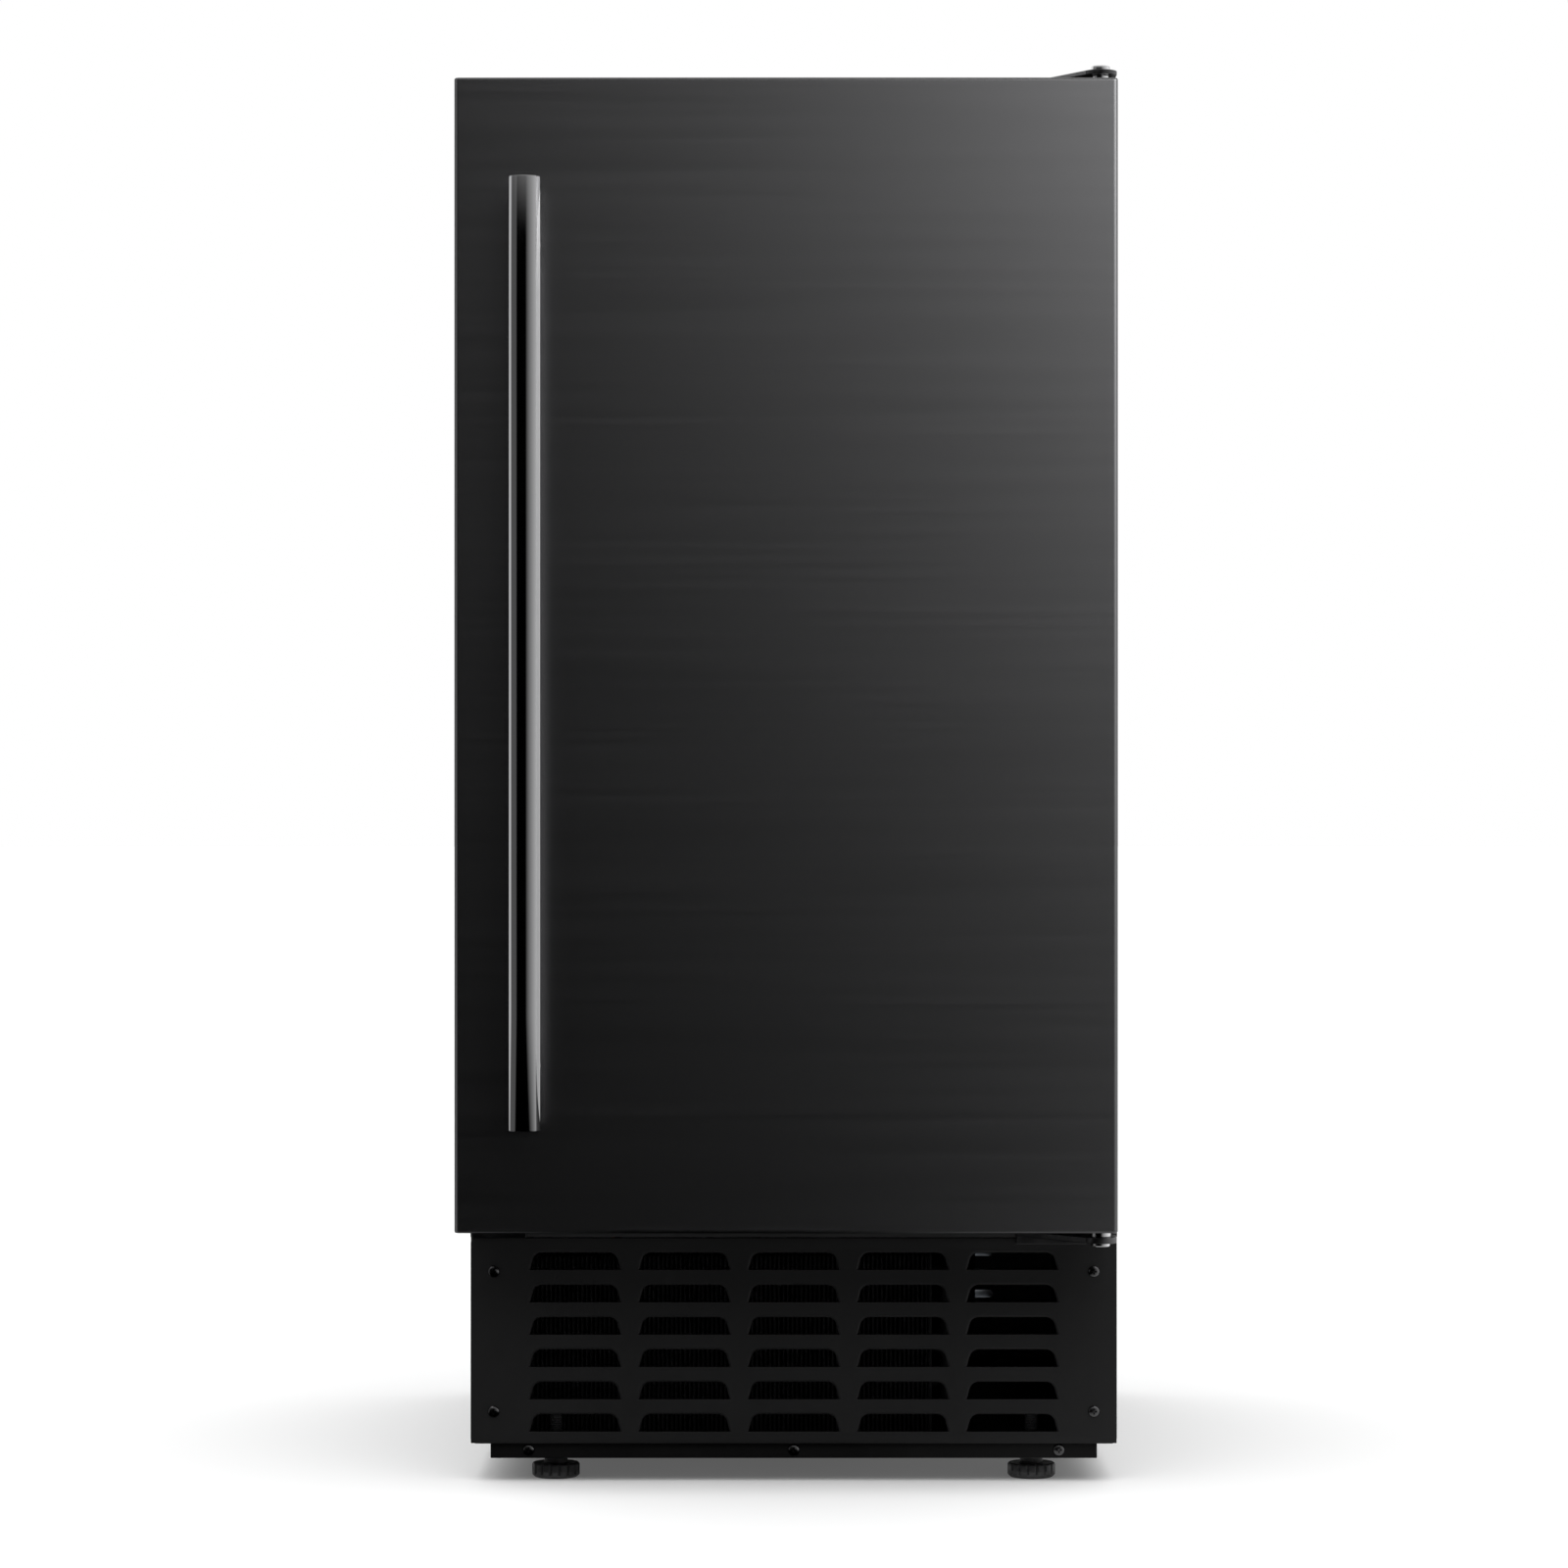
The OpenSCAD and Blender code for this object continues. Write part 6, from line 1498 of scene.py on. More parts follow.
class ICEMAKER_OT_compressor(bpy.types.Operator):
    """Press the compressor's shell and feet and fit its relay cover and grommets"""

    bl_idname = "icemaker.compressor"
    bl_label = "Compressor"

    def execute(self, context):
        axis, lo = compressor_axis(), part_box("compressor")[0]
        bm = bmesh.new()
        profile = [
            (0, 0), *arc(45, 30, 30, range(-90, 1, 10)), (75, 60), (75, 80.5), (75.6, 81.6), (78.2, 82),
            (79, 82.8), (79, 87.2), (78.2, 88), (74.8, 88.3), (74, 89.2), (74, 108),
            *arc(29, 125, 45, range(0, 91, 9)), (0, 170),
        ]
        turned(bm, scaled(profile), axis, "Z", 72)
        piece("compressor_shell", bm, "compressor", "black_powder_coat", 28)

        grommet_lo, grommet_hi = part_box("compressor_grommets")
        reach = (grommet_hi.x - grommet_lo.x) / 2 - 9 * MM
        bolts = [(axis.x + u * reach, axis.y + v * reach) for u in (-1, 1) for v in (-1, 1)]
        half = reach + 12 * MM
        bm = bmesh.new()
        plate(
            bm, round_rect(axis.x - half, axis.y - half, axis.x + half, axis.y + half, 11 * MM, 8),
            [circle(x, y, 6.2 * MM, 24) for x, y in bolts], "Z", axis.z, axis.z + 3 * MM, 0.5 * MM, 2,
        )
        level_flats(
            piece("compressor_feet", bm, "compressor", "black_powder_coat", solid=False)
        )
        bm = bmesh.new()
        low, lift = grommet_lo.z, axis.z - grommet_lo.z
        for x, y in bolts:
            ring = scaled(
                [(3.3, 0.5), (3.8, 0), (8.2, 0), (9, 0.8), (9, 4.2), (7.6, 5.4), (7.6, 8.2), (9, 9.4)]
            )
            ring += [(9 * MM, lift - 0.8 * MM), (8.2 * MM, lift), (6 * MM, lift), (6 * MM, lift + 3 * MM)]
            ring += [(3.3 * MM, lift + 3 * MM)]
            turned_ring(bm, ring, (x, y, low), "Z", 28)
        piece("compressor_grommets_moulded", bm, "compressor_grommets", "black_rubber", 40)

        bm = bmesh.new()
        cover_lo = Vector((lo.x, axis.y - 26 * MM, axis.z + 35 * MM))
        cover_hi = Vector((lo.x + 34 * MM, axis.y + 26 * MM, axis.z + 107 * MM))
        slab(bm, cover_lo, cover_hi, 4 * MM, 4)
        for i in range(6):
            z = cover_lo.z + (12 + 9 * i) * MM
            slab(
                bm, (cover_lo.x - 0.5 * MM, cover_lo.y + 7 * MM, z),
                (cover_lo.x + 2 * MM, cover_hi.y - 7 * MM, z + 2.4 * MM), 0.4 * MM,
            )
        piece(
            "compressor_relay_cover", bm, "compressor", "black_moulded_plastic"
        )
        bm = bmesh.new()
        suction = axis_box("suction_line", 4 * MM)[0].z
        for x, z in ((axis.x - 20 * MM, suction), (axis.x + 20 * MM, axis.z + 55 * MM)):
            spigot = [(4.3, 0), (6, 0.3), (6, 6), (5.2, 7), (5.2, 30), (4.3, 30)]
            turned_ring(bm, scaled(spigot), (x, lo.y + 0.25 * MM, z), "Y", 24)
        piece("compressor_spigots", bm, "compressor", "copper_pipe", 40)
        return {"FINISHED"}


class ICEMAKER_OT_condenser(bpy.types.Operator):
    """Stack the condenser's fins and bend its pipe back and forth through them"""

    bl_idname = "icemaker.condenser"
    bl_label = "Condenser"

    def execute(self, context):
        lo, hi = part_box("condenser")
        tube_out, radius = 8 * MM, 4 * MM
        left, right, base = lo.x + tube_out, hi.x - tube_out, lo.z
        rows = [base + (16 + 21 * j) * MM for j in range(5)]
        near, far = lo.y + 12.3 * MM, lo.y + 31.7 * MM
        low, high = base + 6 * MM, base + 112 * MM
        bm = bmesh.new()
        count = 92
        for i in range(count):
            x = left + 3 * MM + (right - left - 6 * MM) * i / (count - 1)
            outline = []
            for k in range(23):
                wave = 0.5 * MM * (1 if k % 2 else -1)
                outline.append((x + wave, lo.y + (hi.y - lo.y) * k / 22))
            outline += [(u + 0.22 * MM, v) for u, v in reversed(outline)]
            skin(bm, [at(outline, "Z", z) for z in (low, high)])
        # The fins, end plates and pipe take near-black finishes that stand partly for painted shade behind
        # the louvres.
        piece("condenser_fin_stack", bm, "condenser", "dark_fins_and_painted_shade", 20)
        bm = bmesh.new()
        for x in (left, right - 2 * MM):
            holes = [circle(y, z, radius + 0.6 * MM, 20) for y in (near, far) for z in rows]
            plate(bm, inset(lo, hi, 0, 2 * MM, "X"), holes, "X", x, x + 2 * MM, 0.3 * MM)
        piece("condenser_end_plates", bm, "condenser", "black_coat_and_painted_shade", solid=False)
        bm = bmesh.new()
        out_left, out_right = left - 9 * MM, right + 9 * MM
        turns = []
        for j in (4, 3, 2, 1):
            turns += ["x", out_left, "y", (near, far)[j % 2], "x", out_right, "z", rows[j - 1]]
        turns += ["x", lo.x - radius]
        tube(bm, route((hi.x + radius, far, rows[4]), *turns), radius, 9 * MM, 14)
        piece("condenser_serpentine", bm, "condenser", "black_coat_and_painted_shade")
        return {"FINISHED"}


class ICEMAKER_OT_fan(bpy.types.Operator):
    """Mould the fan with its twisted blades and build its motor and shroud"""

    bl_idname = "icemaker.fan"
    bl_label = "Condenser fan"

    def execute(self, context):
        lo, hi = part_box("fan_blade")
        middle, hub = (lo + hi) / 2, 15 * MM
        depth = 16 * MM
        front = middle.y - depth / 2
        tip = 47.6 * MM
        bm = bmesh.new()
        steps, chord_steps = 9, 10
        for k in range(5):
            rows = []
            for i in range(steps + 1):
                share = i / steps
                r = hub - 1.5 * MM + (tip - hub + 1.5 * MM) * share
                pitch = math.radians(40 - 14 * share)
                chord = (21 + 10 * share) * MM * (1 - 0.42 * share**7)
                row = []
                for j in range(chord_steps + 1):
                    t = j / chord_steps - 0.5
                    turn = math.tau * k / 5 + t * chord * math.cos(pitch) / r + 0.16 * share
                    camber = 1.6 * MM * (1 - 4 * t * t)
                    y = middle.y + t * chord * math.sin(pitch) - camber * 0.6
                    across, up = r * math.sin(turn), r * math.cos(turn)
                    row.append(bm.verts.new((middle.x + across, y, middle.z + up)))
                rows.append(row)
            quilt(bm, rows)
        bmesh.ops.recalc_face_normals(bm, faces=bm.faces)
        piece(
            "fan_blade_vanes", bm, "fan_blade", "black_moulded_plastic", 40, solid=False,
            sheet=1.3 * MM, side=0.0,
        )
        bm = bmesh.new()
        profile = [
            (0, 0.9), (4, 0.8), (5, 0), (10, 0), (13, 0.5), (14.5, 1.8), (15, 4), (15, 15.5), (14.5, 16),
            (12, 16), (11.5, 11), (6, 10.5), (5.5, 16), (3.4, 16), (3.4, 8), (0, 8),
        ]
        turned(bm, scaled(profile, front), (middle.x, 0, middle.z), "Y")
        piece("fan_blade_hub", bm, "fan_blade", "black_moulded_plastic", 40)

        lo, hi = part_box("fan_motor")
        start, end = hi.y - 44 * MM, hi.y
        bm = bmesh.new()
        profile = [
            (3, -3), (7, -2.6), (8, 0), (23, 0.2), (25.2, 1), (26, 3), (26, 13), (25, 13.6), (25, 14.4),
            (26, 15), (26, 37), (25.2, 39), (23, 40), (18, 40.3), (17.5, 43.2), (16.5, 44), (0, 44),
        ]
        shaft = [(0, lo.y), (2.6 * MM, lo.y), (3 * MM, lo.y + 0.4 * MM)]
        turned(bm, shaft + scaled(profile, start), (middle.x, 0, middle.z), "Y")
        for u, v in circle(middle.x, middle.z, 21 * MM, 12):
            drum(bm, (u, 0, v), 1.5 * MM, start + 39 * MM, end - 1.5 * MM, "Y", 0.4 * MM, 12)
        piece("fan_motor_body", bm, "fan_motor", "grey_moulded_plastic", 35)
        bm = bmesh.new()
        base, head = lo.z, middle.z - 13 * MM
        near, far = start + 10 * MM, end - 14 * MM
        left, right, sheet = middle.x - 20 * MM, middle.x + 20 * MM, 1.5 * MM
        for low, high in (
            ((left, near, base), (right, near + sheet, head)),
            ((left, far - sheet, base), (right, far, head)),
            ((left, near, base), (right, far, base + sheet)),
            ((left, near, head - 2 * MM), (right, far, head - 0.5 * MM)),
        ):
            slab(bm, low, high, 0.4 * MM)
        piece("fan_motor_stand", bm, "fan_motor", "galvanised_sheet")
        # The shroud takes the near-black coat that stands partly for painted shade behind the louvres.
        softened("fan_shroud", "black_coat_and_painted_shade", sizes().sheet_edge)
        return {"FINISHED"}


class ICEMAKER_OT_refrigerant_lines(bpy.types.Operator):
    """Bend the copper lines and fit the drier and the hot gas valve"""

    bl_idname = "icemaker.refrigerant_lines"
    bl_label = "Refrigerant lines"

    def execute(self, context):
        radius, bend = 4 * MM, sizes().pipe_bend
        axis = compressor_axis()
        port_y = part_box("compressor")[0].y + 8 * MM
        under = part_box("machine_deck")[1].z - 15.2 * MM
        coil_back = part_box("evaporator_coil")[1].y
        low, high = axis_box("suction_line", radius)
        bm = bmesh.new()
        line = route(
            (high.x, coil_back, high.z), "y", high.y, "z", under, "y", low.y, "z", low.z, "x", low.x,
            "y", port_y,
        )
        tube(bm, line, radius, bend, 16, 8)
        piece("suction_line_bent", bm, "suction_line", "copper_pipe")

        turn_y = low.y
        low, high = axis_box("condenser_lines", radius)
        drier_lo, drier_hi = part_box("filter_drier")
        drier_x = (drier_lo.x + drier_hi.x) / 2
        fin_lo, fin_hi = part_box("condenser")
        port_x, port_z = axis.x + 20 * MM, axis.z + 55 * MM
        bm = bmesh.new()
        line = route(
            (port_x, port_y, port_z), "y", turn_y, "x", high.x, "z", high.z, "y", low.y,
            "x", fin_hi.x + radius,
        )
        tube(bm, line, radius, bend, 16, 8)
        first, step = fin_lo.z + 16 * MM, fin_hi.y + 30 * MM
        line = route(
            (fin_lo.x - radius, low.y, first), "x", low.x, "y", step, "z", low.z, "x", drier_x,
            "y", drier_lo.y,
        )
        tube(bm, line, radius, bend, 16, 8)
        # The copper lines to the condenser take the near-black coat: painted shade behind the louvres instead
        # of bare copper.
        piece("condenser_lines_bent", bm, "condenser_lines", "black_coat_and_painted_shade")

        bm = bmesh.new()
        level = low.z
        start, end = drier_lo.y, drier_hi.y
        half = [(5, 0), (5, 8), (5.8, 10), (8.5, 14.5), (10.4, 18), (11, 22)]
        profile = scaled(half, start) + [(r * MM, end - y * MM) for r, y in reversed(half)]
        turned(bm, [(0, start), *profile, (0, end)], (drier_x, 0, level), "Y", 36)
        piece("filter_drier_spun", bm, "filter_drier", "copper_pipe", 40)
        bm = bmesh.new()
        middle = (start + end) / 2
        band = [(11, -6), (12, -6), (12, 6), (11, 6)]
        turned_ring(bm, scaled(band, middle), (drier_x, 0, level), "Y", 36)
        foot = (drier_x - 3 * MM, middle - 8 * MM, drier_lo.z)
        slab(bm, foot, (drier_x + 3 * MM, middle + 8 * MM, level - 10 * MM), 0.3 * MM)
        piece("filter_drier_clip", bm, "filter_drier", "galvanised_sheet")

        riser_y = axis_box("suction_line", radius)[1].y
        coil = axis_box("evaporator_coil", radius)[0]
        turn_y = end + 8 * MM
        bm = bmesh.new()
        line = route(
            (coil.x, coil_back, coil.z), "y", riser_y, "z", level, "y", turn_y, "x", drier_x, "y", end
        )
        tube(bm, line, radius, bend, 16, 8)
        piece("hot_gas_line", bm, "hot_gas_valve", "copper_pipe")
        body = under - 86 * MM
        spot = (coil.x, riser_y, body)
        bm = bmesh.new()
        profile = [
            (4.4, -3), (5.6, -2.6), (5.6, 0), (9.4, 0.2), (10, 1), (10, 8), (8.4, 9.5), (8.4, 14),
            (10, 15.5), (10, 23), (9.4, 24), (4.4, 24),
        ]
        turned(bm, scaled(profile), spot, "Z", 36)
        piece("hot_gas_valve_body", bm, "hot_gas_valve", "valve_brass", 40)
        bm = bmesh.new()
        coil_low, coil_high = body + 24 * MM, body + 54 * MM
        slab(
            bm, (coil.x - 12 * MM, riser_y - 11 * MM, coil_low + 2 * MM),
            (coil.x + 12 * MM, riser_y + 11 * MM, coil_high - 2 * MM), 4 * MM, 4,
        )
        slab(
            bm, (coil.x - 15 * MM, riser_y - 6 * MM, coil_low + 8 * MM),
            (coil.x - 9 * MM, riser_y + 6 * MM, coil_high - 8 * MM), MM,
        )
        piece(
            "hot_gas_valve_coil", bm, "hot_gas_valve", "black_moulded_plastic"
        )
        bm = bmesh.new()
        left, right = coil.x - 9 * MM, coil.x + 9 * MM
        for z in (coil_low, coil_high - 1.4 * MM):
            slab(bm, (left, riser_y - 13 * MM, z), (right, riser_y + 13 * MM, z + 1.4 * MM), 0.3 * MM)
        for y in (riser_y - 13 * MM, riser_y + 11.6 * MM):
            slab(bm, (left, y, coil_low), (right, y + 1.4 * MM, coil_high), 0.3 * MM)
        piece("hot_gas_valve_yoke", bm, "hot_gas_valve", "galvanised_sheet")
        return {"FINISHED"}


class ICEMAKER_OT_connections(bpy.types.Operator):
    """Mould the water inlet valve and the cord gland at the back"""

    bl_idname = "icemaker.connections"
    bl_label = "Water inlet and cord gland"

    def execute(self, context):
        lo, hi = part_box("water_inlet_valve")
        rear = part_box("rear_panel")[0].y
        x = lo.x + 13.2 * MM
        z = lo.z + 18 * MM
        bm = bmesh.new()
        slab(bm, (x - 12 * MM, rear - 16 * MM, z - 18 * MM), (x + 12 * MM, rear, z + 18 * MM), 2.5 * MM, 3)
        outer = hi.y - 15 * MM
        ring = [(8.5 * MM, rear - 8 * MM), (11 * MM, rear - 8 * MM), (11 * MM, outer)]
        ring += scaled([(13.2, 0), (13.2, 1.5)], outer)
        for k in range(6):
            y = 2.2 + 2 * k
            ring += scaled([(12.1, y), (13.2, y + 0.9), (13.2, y + 1.1)], outer)
        ring += scaled([(12, -0.6), (11.4, 0), (8.9, 0), (8.5, -0.4)], hi.y)
        turned_ring(bm, ring, (x, 0, z), "Y", 44)
        pipe_y = axis_box("water_fill_tube", 4 * MM)[1].y
        drum(bm, (0, pipe_y, z), 4.6 * MM, x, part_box("water_fill_tube")[0].x + 0.5 * MM, "X", 0.3 * MM, 20)
        piece("water_inlet_body", bm, "water_inlet_valve", "white_button_plastic", 35)
        bm = bmesh.new()
        holes = [circle(x, z, 1.1 * MM, 8)]
        for ring, count in ((3, 6), (5.8, 12)):
            holes += [circle(*spot, 1.1 * MM, 8) for spot in circle(x, z, ring * MM, count)]
        plate(bm, circle(x, z, 8.6 * MM, 28), holes, "Y", hi.y - 5 * MM, hi.y - 4 * MM, 0.1 * MM)
        piece(
            "water_inlet_screen", bm, "water_inlet_valve", "zinc_screw", solid=False
        )
        bm = bmesh.new()
        low = z + 10 * MM
        drum(bm, (x, pipe_y, 0), 9 * MM, low, hi.z - 3 * MM, "Z", 1.2 * MM, 36)
        drum(bm, (x, pipe_y, 0), 4 * MM, hi.z - 5 * MM, hi.z, "Z", 0.8 * MM, 24)
        piece(
            "water_inlet_solenoid", bm, "water_inlet_valve", "black_moulded_plastic",
        )

        lo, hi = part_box("cord_gland")
        x, z = (lo.x + hi.x) / 2, (lo.z + hi.z) / 2
        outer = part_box("rear_panel")[1].y
        bore = 3.6 * MM
        bm = bmesh.new()
        ring = [(bore, lo.y + 3 * MM), (7.6 * MM, lo.y + 3 * MM)]
        ring += scaled([(7.6, 0), (9, 0), (9, 2.8), (8.2, 4)], outer)
        for k in range(3):
            y, girth = 4.4 + 2.4 * k, 6 - 0.35 * k
            rib = [(girth - 0.9, y), (girth - 0.9, y + 0.8), (girth, y + 1.1), (girth, y + 2.1)]
            ring += scaled(rib, outer)
        ring += [(bore + 0.5 * MM, hi.y), (bore, hi.y - 0.4 * MM)]
        turned_ring(bm, ring, (x, 0, z), "Y", 36)
        plate(bm, circle(x, z, 9 * MM, 6), [circle(x, z, 7 * MM, 24)], "Y", lo.y, lo.y + 3 * MM, 0.3 * MM)
        piece("cord_gland_moulded", bm, "cord_gland", "black_moulded_plastic", 35, solid=False)
        return {"FINISHED"}


# ---------------------------------------------------------------- studio


class Studio:
    """Node chains that the floor, the world and the reflection cards share."""

    def __init__(self, tree):
        self.nodes, self.links = tree.nodes, tree.links
        self.nodes.clear()

    def math(self, operation, first, second=None):
        """The result of a sum of numbers or of other nodes' results."""
        node = self.nodes.new("ShaderNodeMath")
        node.operation = operation
        for socket, value in zip(node.inputs, (first, second)):
            if value is None:
                continue
            if isinstance(value, (int, float)):
                socket.default_value = value
            else:
                self.links.new(value, socket)
        return node.outputs[0]

    def ramp(self, value, low, high, start=0.0, end=1.0, kind="LINEAR"):
        """A value that goes from start to end while another goes from low to high."""
        node = self.nodes.new("ShaderNodeMapRange")
        node.interpolation_type = kind
        for name, number in zip(RANGE, (low, high, start, end)):
            node.inputs[name].default_value = number
        self.links.new(value, node.inputs["Value"])
        return node.outputs["Result"]

    def seen(self):
        """1 for the camera and for what metal and glass show."""
        path = self.nodes.new("ShaderNodeLightPath").outputs
        mirror = self.math("MAXIMUM", path["Is Glossy Ray"], path["Is Transmission Ray"])
        return self.math("MAXIMUM", path["Is Camera Ray"], mirror)

    def bearing(self, eye):
        """Azimuth and elevation in degrees, seen from a height; azimuth 0 is the front."""
        place = self.nodes.new("ShaderNodeTexCoord").outputs["Object"]
        split = self.nodes.new("ShaderNodeSeparateXYZ")
        self.links.new(place, split.inputs[0])
        x, y, z = split.outputs
        azimuth = self.math("ARCTAN2", x, self.math("MULTIPLY", y, -1))
        run = self.math("SQRT", self.math("ADD", self.math("MULTIPLY", x, x), self.math("MULTIPLY", y, y)))
        rise = self.math("ARCTAN2", self.math("SUBTRACT", z, eye), run)
        return [self.math("MULTIPLY", a, 180 / math.pi) for a in (azimuth, rise)]

    def glow(self, level, through=False):
        """An emission of this level as the material's surface, see-through or not."""
        lit = self.nodes.new("ShaderNodeEmission")
        if isinstance(level, float):
            lit.inputs["Strength"].default_value = level
        else:
            self.links.new(level, lit.inputs["Strength"])
        surface = lit.outputs[0]
        if through:
            both = self.nodes.new("ShaderNodeAddShader")
            clear = self.nodes.new("ShaderNodeBsdfTransparent")
            self.links.new(surface, both.inputs[0])
            self.links.new(clear.outputs[0], both.inputs[1])
            surface = both.outputs[0]
        out = self.nodes.new("ShaderNodeOutputMaterial")
        self.links.new(surface, out.inputs["Surface"])


def reflector(name, profile, span, material, start=0.0):
    """A curved card round the object that only glossy surfaces see."""
    bm = bmesh.new()
    steps = 96
    rows = []
    for radius, height in profile:
        row = []
        for i in range(steps + 1):
            turn = math.radians(start + span * i / steps)
            row.append(bm.verts.new((radius * math.sin(turn), -radius * math.cos(turn), height)))
        rows.append(row)
    quilt(bm, rows)
    return as_card(name, bm, material)


def as_card(name, bm, material):
    """Hangs a card in the studio that only glossy surfaces see."""
    card = shown(name, bm)
    card.data.materials.append(material)
    material.cycles.emission_sampling = "NONE"
    card.visible_camera = False
    card.visible_diffuse = False
    card.visible_shadow = False
    card.visible_transmission = False
    return card


def lights_only(card, name):
    """Lets a card light one piece and nothing else."""
    lit = bpy.data.collections.new("lit_by_" + card.name)
    lit.objects.link(bpy.data.objects[name])
    card.light_linking.receiver_collection = lit


def studio_material(name):
    """A bare material of the studio and its node chains."""
    material = bpy.data.materials.new(name)
    material.use_nodes = True
    return material, Studio(material.node_tree)


# The camera's place and height, the reach of the floor and the cards, how steeply the door's card
# brightens per degree across and upwards, and the level of the card beside the bar.
EYE, CAMERA_X, CAMERA_Y = 0.4087, -0.00295, -3.1585
FLOOR_RADIUS, ROOM_RADIUS, DOOR_CARD_RADIUS = 30, 4.5, 4.0
RISE_ACROSS, RISE_UP = 0.17, 0.11
BAR_CARD_LEVEL = 0.7


class ICEMAKER_OT_stage(bpy.types.Operator):
    """Set the pale floor, the soft lamps, the reflection cards and the camera"""

    bl_idname = "icemaker.stage"
    bl_label = "Stage"

    def execute(self, context):
        scene, studio = context.scene, context.scene.ice_maker_studio
        scene.view_settings.view_transform = "Standard"
        camera = bpy.data.objects.new("front_camera", bpy.data.cameras.new("front_camera"))
        scene.collection.objects.link(camera)
        camera.location = (CAMERA_X, CAMERA_Y, EYE)
        camera.rotation_euler = (math.radians(90), 0, 0)
        camera.data.lens = studio.lens
        camera.data.clip_end = 100
        scene.camera = camera

        world = bpy.data.worlds.new("white_room")
        world.use_nodes = True
        scene.world = world
        room = Studio(world.node_tree)
        soft, white = (room.nodes.new("ShaderNodeBackground") for _ in range(2))
        soft.inputs["Strength"].default_value = studio.ambient
        soft.inputs["Color"].default_value = (1, 1, 1, 1)
        white.inputs["Color"].default_value = (1, 1, 1, 1)
        mix = room.nodes.new("ShaderNodeMixShader")
        room.links.new(room.seen(), mix.inputs["Fac"])
        room.links.new(soft.outputs[0], mix.inputs[1])
        room.links.new(white.outputs[0], mix.inputs[2])
        out = room.nodes.new("ShaderNodeOutputWorld")
        room.links.new(mix.outputs[0], out.inputs["Surface"])

        ground, made = studio_material("pale_floor")
        matt = made.nodes.new("ShaderNodeBsdfDiffuse")
        tone = studio.floor_tone
        matt.inputs["Color"].default_value = (tone, tone, tone, 1)
        lift = made.nodes.new("ShaderNodeEmission")
        made.links.new(made.math("MULTIPLY", made.seen(), studio.floor_lift), lift.inputs["Strength"])
        both = made.nodes.new("ShaderNodeAddShader")
        made.links.new(matt.outputs[0], both.inputs[0])
        made.links.new(lift.outputs[0], both.inputs[1])
        out = made.nodes.new("ShaderNodeOutputMaterial")
        made.links.new(both.outputs[0], out.inputs["Surface"])
        bm = bmesh.new()
        bmesh.ops.create_circle(bm, cap_ends=True, radius=FLOOR_RADIUS, segments=64)
        floor = shown("floor", bm)
        floor.data.materials.append(ground)
        floor.location.z = -0.2 * MM

        for name, level, azimuth, elevation, softness in (
            ("key_lamp", studio.key, 22, 58, 60),
            ("fill_lamp", studio.fill, -30, 56, 65),
            ("rear_lamp_right", studio.back, 135, 42, 60),
            ("rear_lamp_left", studio.back, -135, 42, 60),
        ):
            lamp = bpy.data.lights.new(name, "SUN")
            lamp.energy = level
            lamp.angle = math.radians(softness)
            holder = bpy.data.objects.new(name, lamp)
            turn, rise = math.radians(azimuth), math.radians(elevation)
            away = Vector((math.sin(turn) * math.cos(rise), -math.cos(turn) * math.cos(rise), math.sin(rise)))
            holder.rotation_euler = away.to_track_quat("Z", "Y").to_euler()
            holder.location = away * 3
            scene.collection.objects.link(holder)

        card, made = studio_material("room_card")
        azimuth, rise = made.bearing(EYE)
        right = made.math("POWER", made.ramp(azimuth, 11, 97), 0.85)
        far = made.ramp(azimuth, 118, 150, 0.0, 0.45, "SMOOTHSTEP")
        left = made.ramp(azimuth, -50, -57, 0.0, 0.17)
        behind = made.ramp(azimuth, -100, -106, 0.0, 0.85)
        band = made.math("ADD", made.math("SUBTRACT", right, far), made.math("ADD", left, behind))
        overhead = made.ramp(rise, 22, 60, 0.0, 1.0, "SMOOTHSTEP")
        low = made.math("MULTIPLY", band, made.math("SUBTRACT", 1.0, overhead))
        made.glow(made.math("ADD", low, made.math("MULTIPLY", overhead, 0.8)))
        sweep = [(0.05, 0.004), (1.5, 0.004), (4.2, 0.004)]
        sweep += arc(0, EYE, ROOM_RADIUS, range(-4, 90, 4))
        reflector("room_reflection_card", sweep, 360, card)

        graded, made = studio_material("door_card")
        azimuth, rise = made.bearing(EYE)
        across = made.ramp(azimuth, -14, 14, -14 * RISE_ACROSS, 14 * RISE_ACROSS)
        up = made.ramp(rise, -12, 22, -12 * RISE_UP, 22 * RISE_UP)
        level = made.math("MULTIPLY", made.math("EXPONENT", made.math("ADD", across, up)), studio.sheen)
        level = made.math("ADD", level, made.ramp(azimuth, -14, -45, 0.0, 0.5, "SMOOTHSTEP"))
        made.glow(level, through=True)
        sweep = [(0.32, 0.006), (1.5, 0.006), (3.6, 0.006)]
        rises = [math.tan(math.radians(e)) for e in range(-5, 36, 5)]
        sweep += [(DOOR_CARD_RADIUS, EYE + DOOR_CARD_RADIUS * rise) for rise in rises]
        door_card = reflector("door_reflection_card", sweep, 140, graded, -70)
        lights_only(door_card, "door_skin_pan")

        strip, made = studio_material("bar_card")
        made.glow(BAR_CARD_LEVEL, through=True)
        bar_lo, bar_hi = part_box("handle_bar")
        bm = bmesh.new()
        plane, near, far = door_lo.y - 0.5 * MM, bar_hi.x + 8 * MM, bar_hi.x + 290 * MM
        corners = [(near, bar_lo.z), (far, bar_lo.z), (far, bar_hi.z), (near, bar_hi.z)]
        bm.faces.new([bm.verts.new((x, plane, z)) for x, z in corners])
        lights_only(as_card("bar_reflection_card", bm, strip), "handle_bar_turned")
        return {"FINISHED"}


# ---------------------------------------------------------------- panel and registration


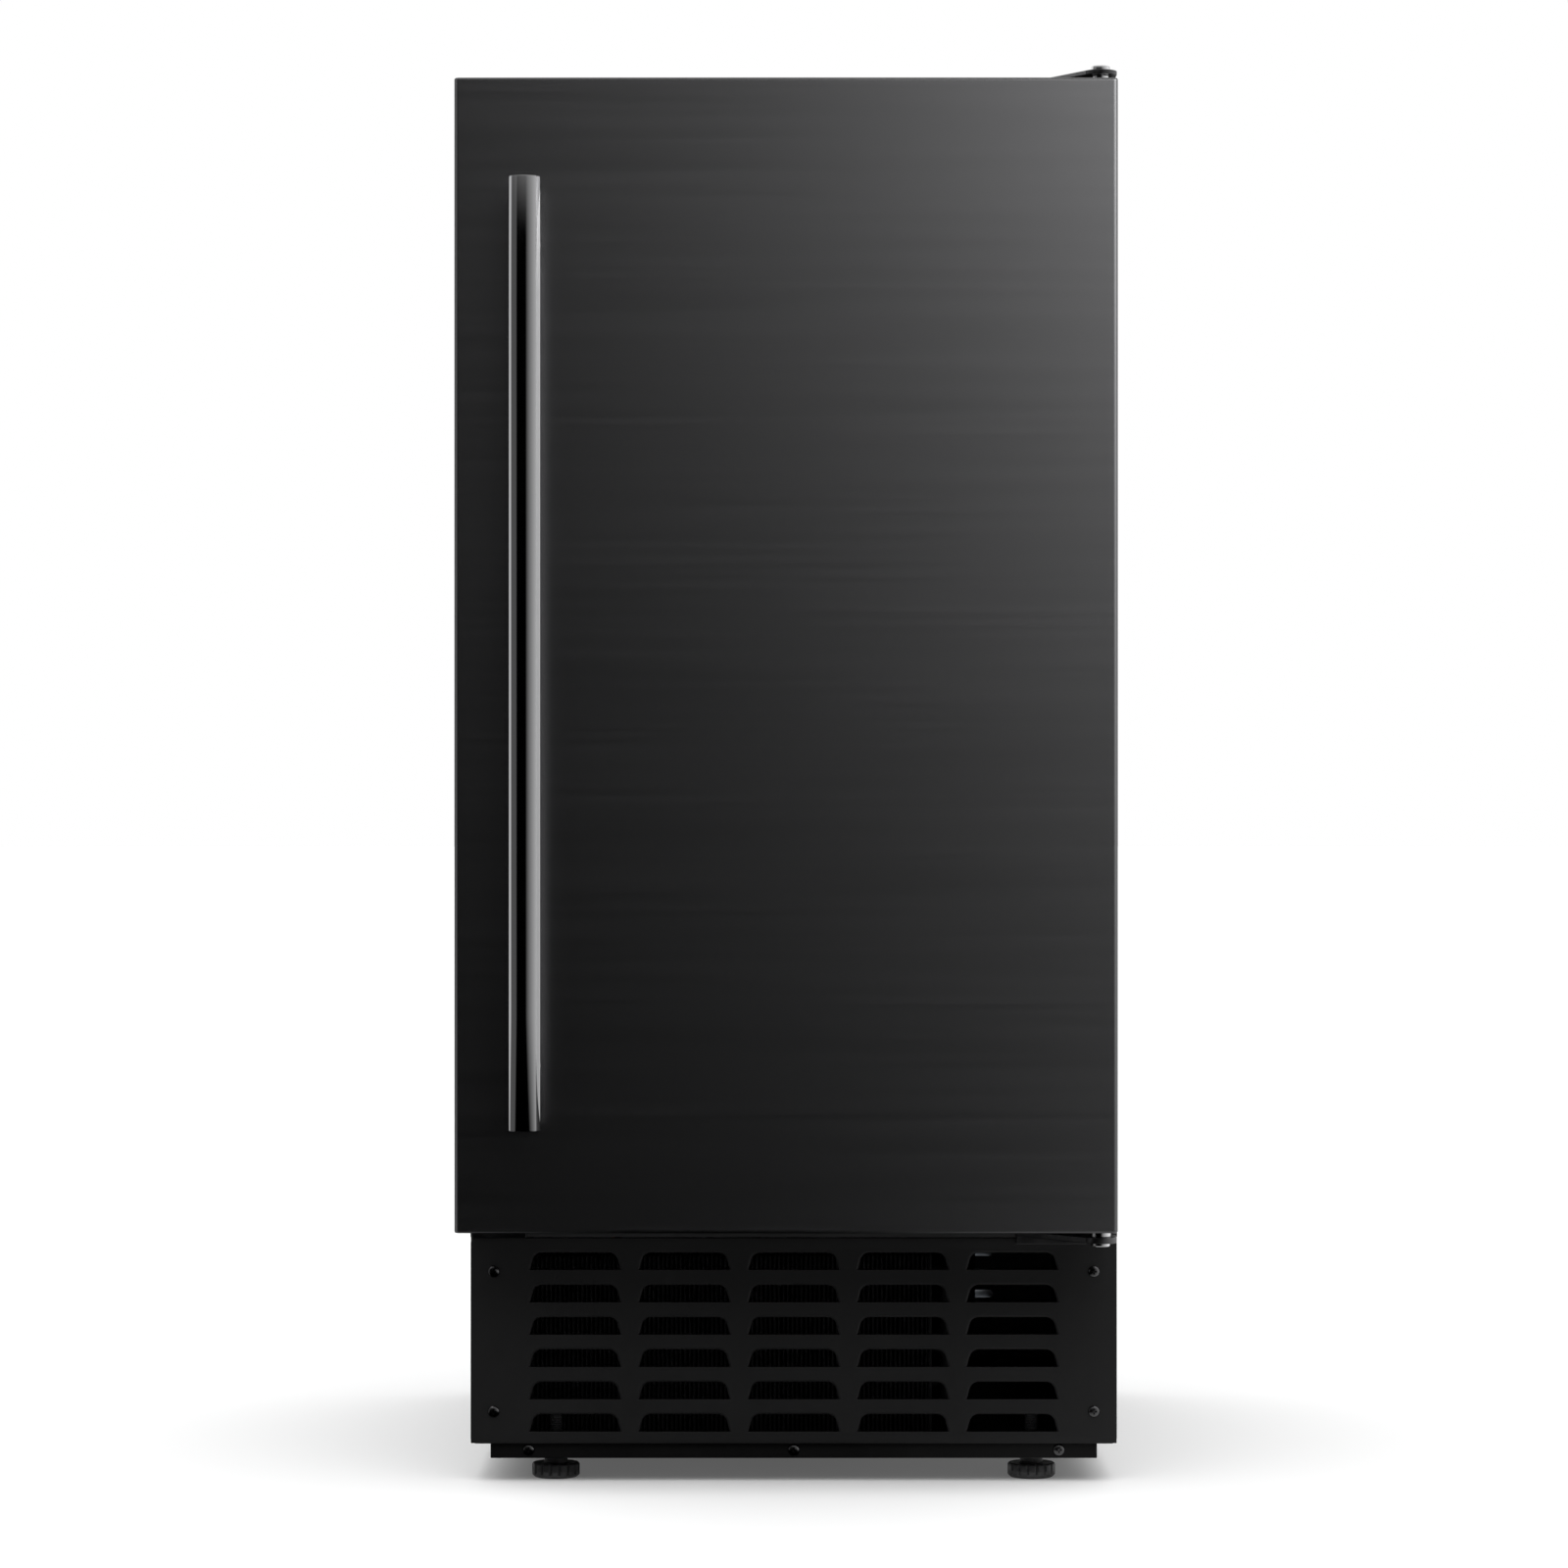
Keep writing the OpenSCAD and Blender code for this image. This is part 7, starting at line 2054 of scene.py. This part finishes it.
steps = (
    ICEMAKER_OT_door_skin, ICEMAKER_OT_door_inside, ICEMAKER_OT_handle, ICEMAKER_OT_hinges,
    ICEMAKER_OT_grille, ICEMAKER_OT_front_screws, ICEMAKER_OT_feet, ICEMAKER_OT_cabinet,
    ICEMAKER_OT_panel_screws, ICEMAKER_OT_rear_panel, ICEMAKER_OT_bin, ICEMAKER_OT_evaporator,
    ICEMAKER_OT_water, ICEMAKER_OT_controls, ICEMAKER_OT_compressor, ICEMAKER_OT_condenser,
    ICEMAKER_OT_fan, ICEMAKER_OT_refrigerant_lines, ICEMAKER_OT_connections, ICEMAKER_OT_stage,
)


class ICEMAKER_PT_panel(bpy.types.Panel):
    """The ice maker's sizes, colours and building steps"""

    bl_idname = "ICEMAKER_PT_panel"
    bl_label = "Ice Maker"
    bl_space_type = "VIEW_3D"
    bl_region_type = "UI"
    bl_category = "Ice Maker"

    def draw(self, context):
        scene = context.scene
        for group in (scene.ice_maker_sizes, scene.ice_maker_colours, scene.ice_maker_studio):
            box = self.layout.box()
            for name in group.__annotations__:
                box.prop(group, name)
        column = self.layout.column(align=True)
        for step in steps:
            column.operator(step.bl_idname)


classes = (IceMakerSizes, IceMakerColours, IceMakerStudio, *steps, ICEMAKER_PT_panel)


def register():
    """Adds the ice maker's settings, steps and panel."""
    for cls in classes:
        bpy.utils.register_class(cls)
    bpy.types.Scene.ice_maker_sizes = PointerProperty(type=IceMakerSizes)
    bpy.types.Scene.ice_maker_colours = PointerProperty(type=IceMakerColours)
    bpy.types.Scene.ice_maker_studio = PointerProperty(type=IceMakerStudio)


def unregister():
    """Removes what register() added."""
    for name in ("ice_maker_sizes", "ice_maker_colours", "ice_maker_studio"):
        delattr(bpy.types.Scene, name)
    for cls in reversed(classes):
        bpy.utils.unregister_class(cls)


def main():
    """Builds every piece in order."""
    register()
    mix_finishes()
    for step in steps:
        family, name = step.bl_idname.split(".")
        getattr(getattr(bpy.ops, family), name)()


if __name__ == "__main__":
    main()
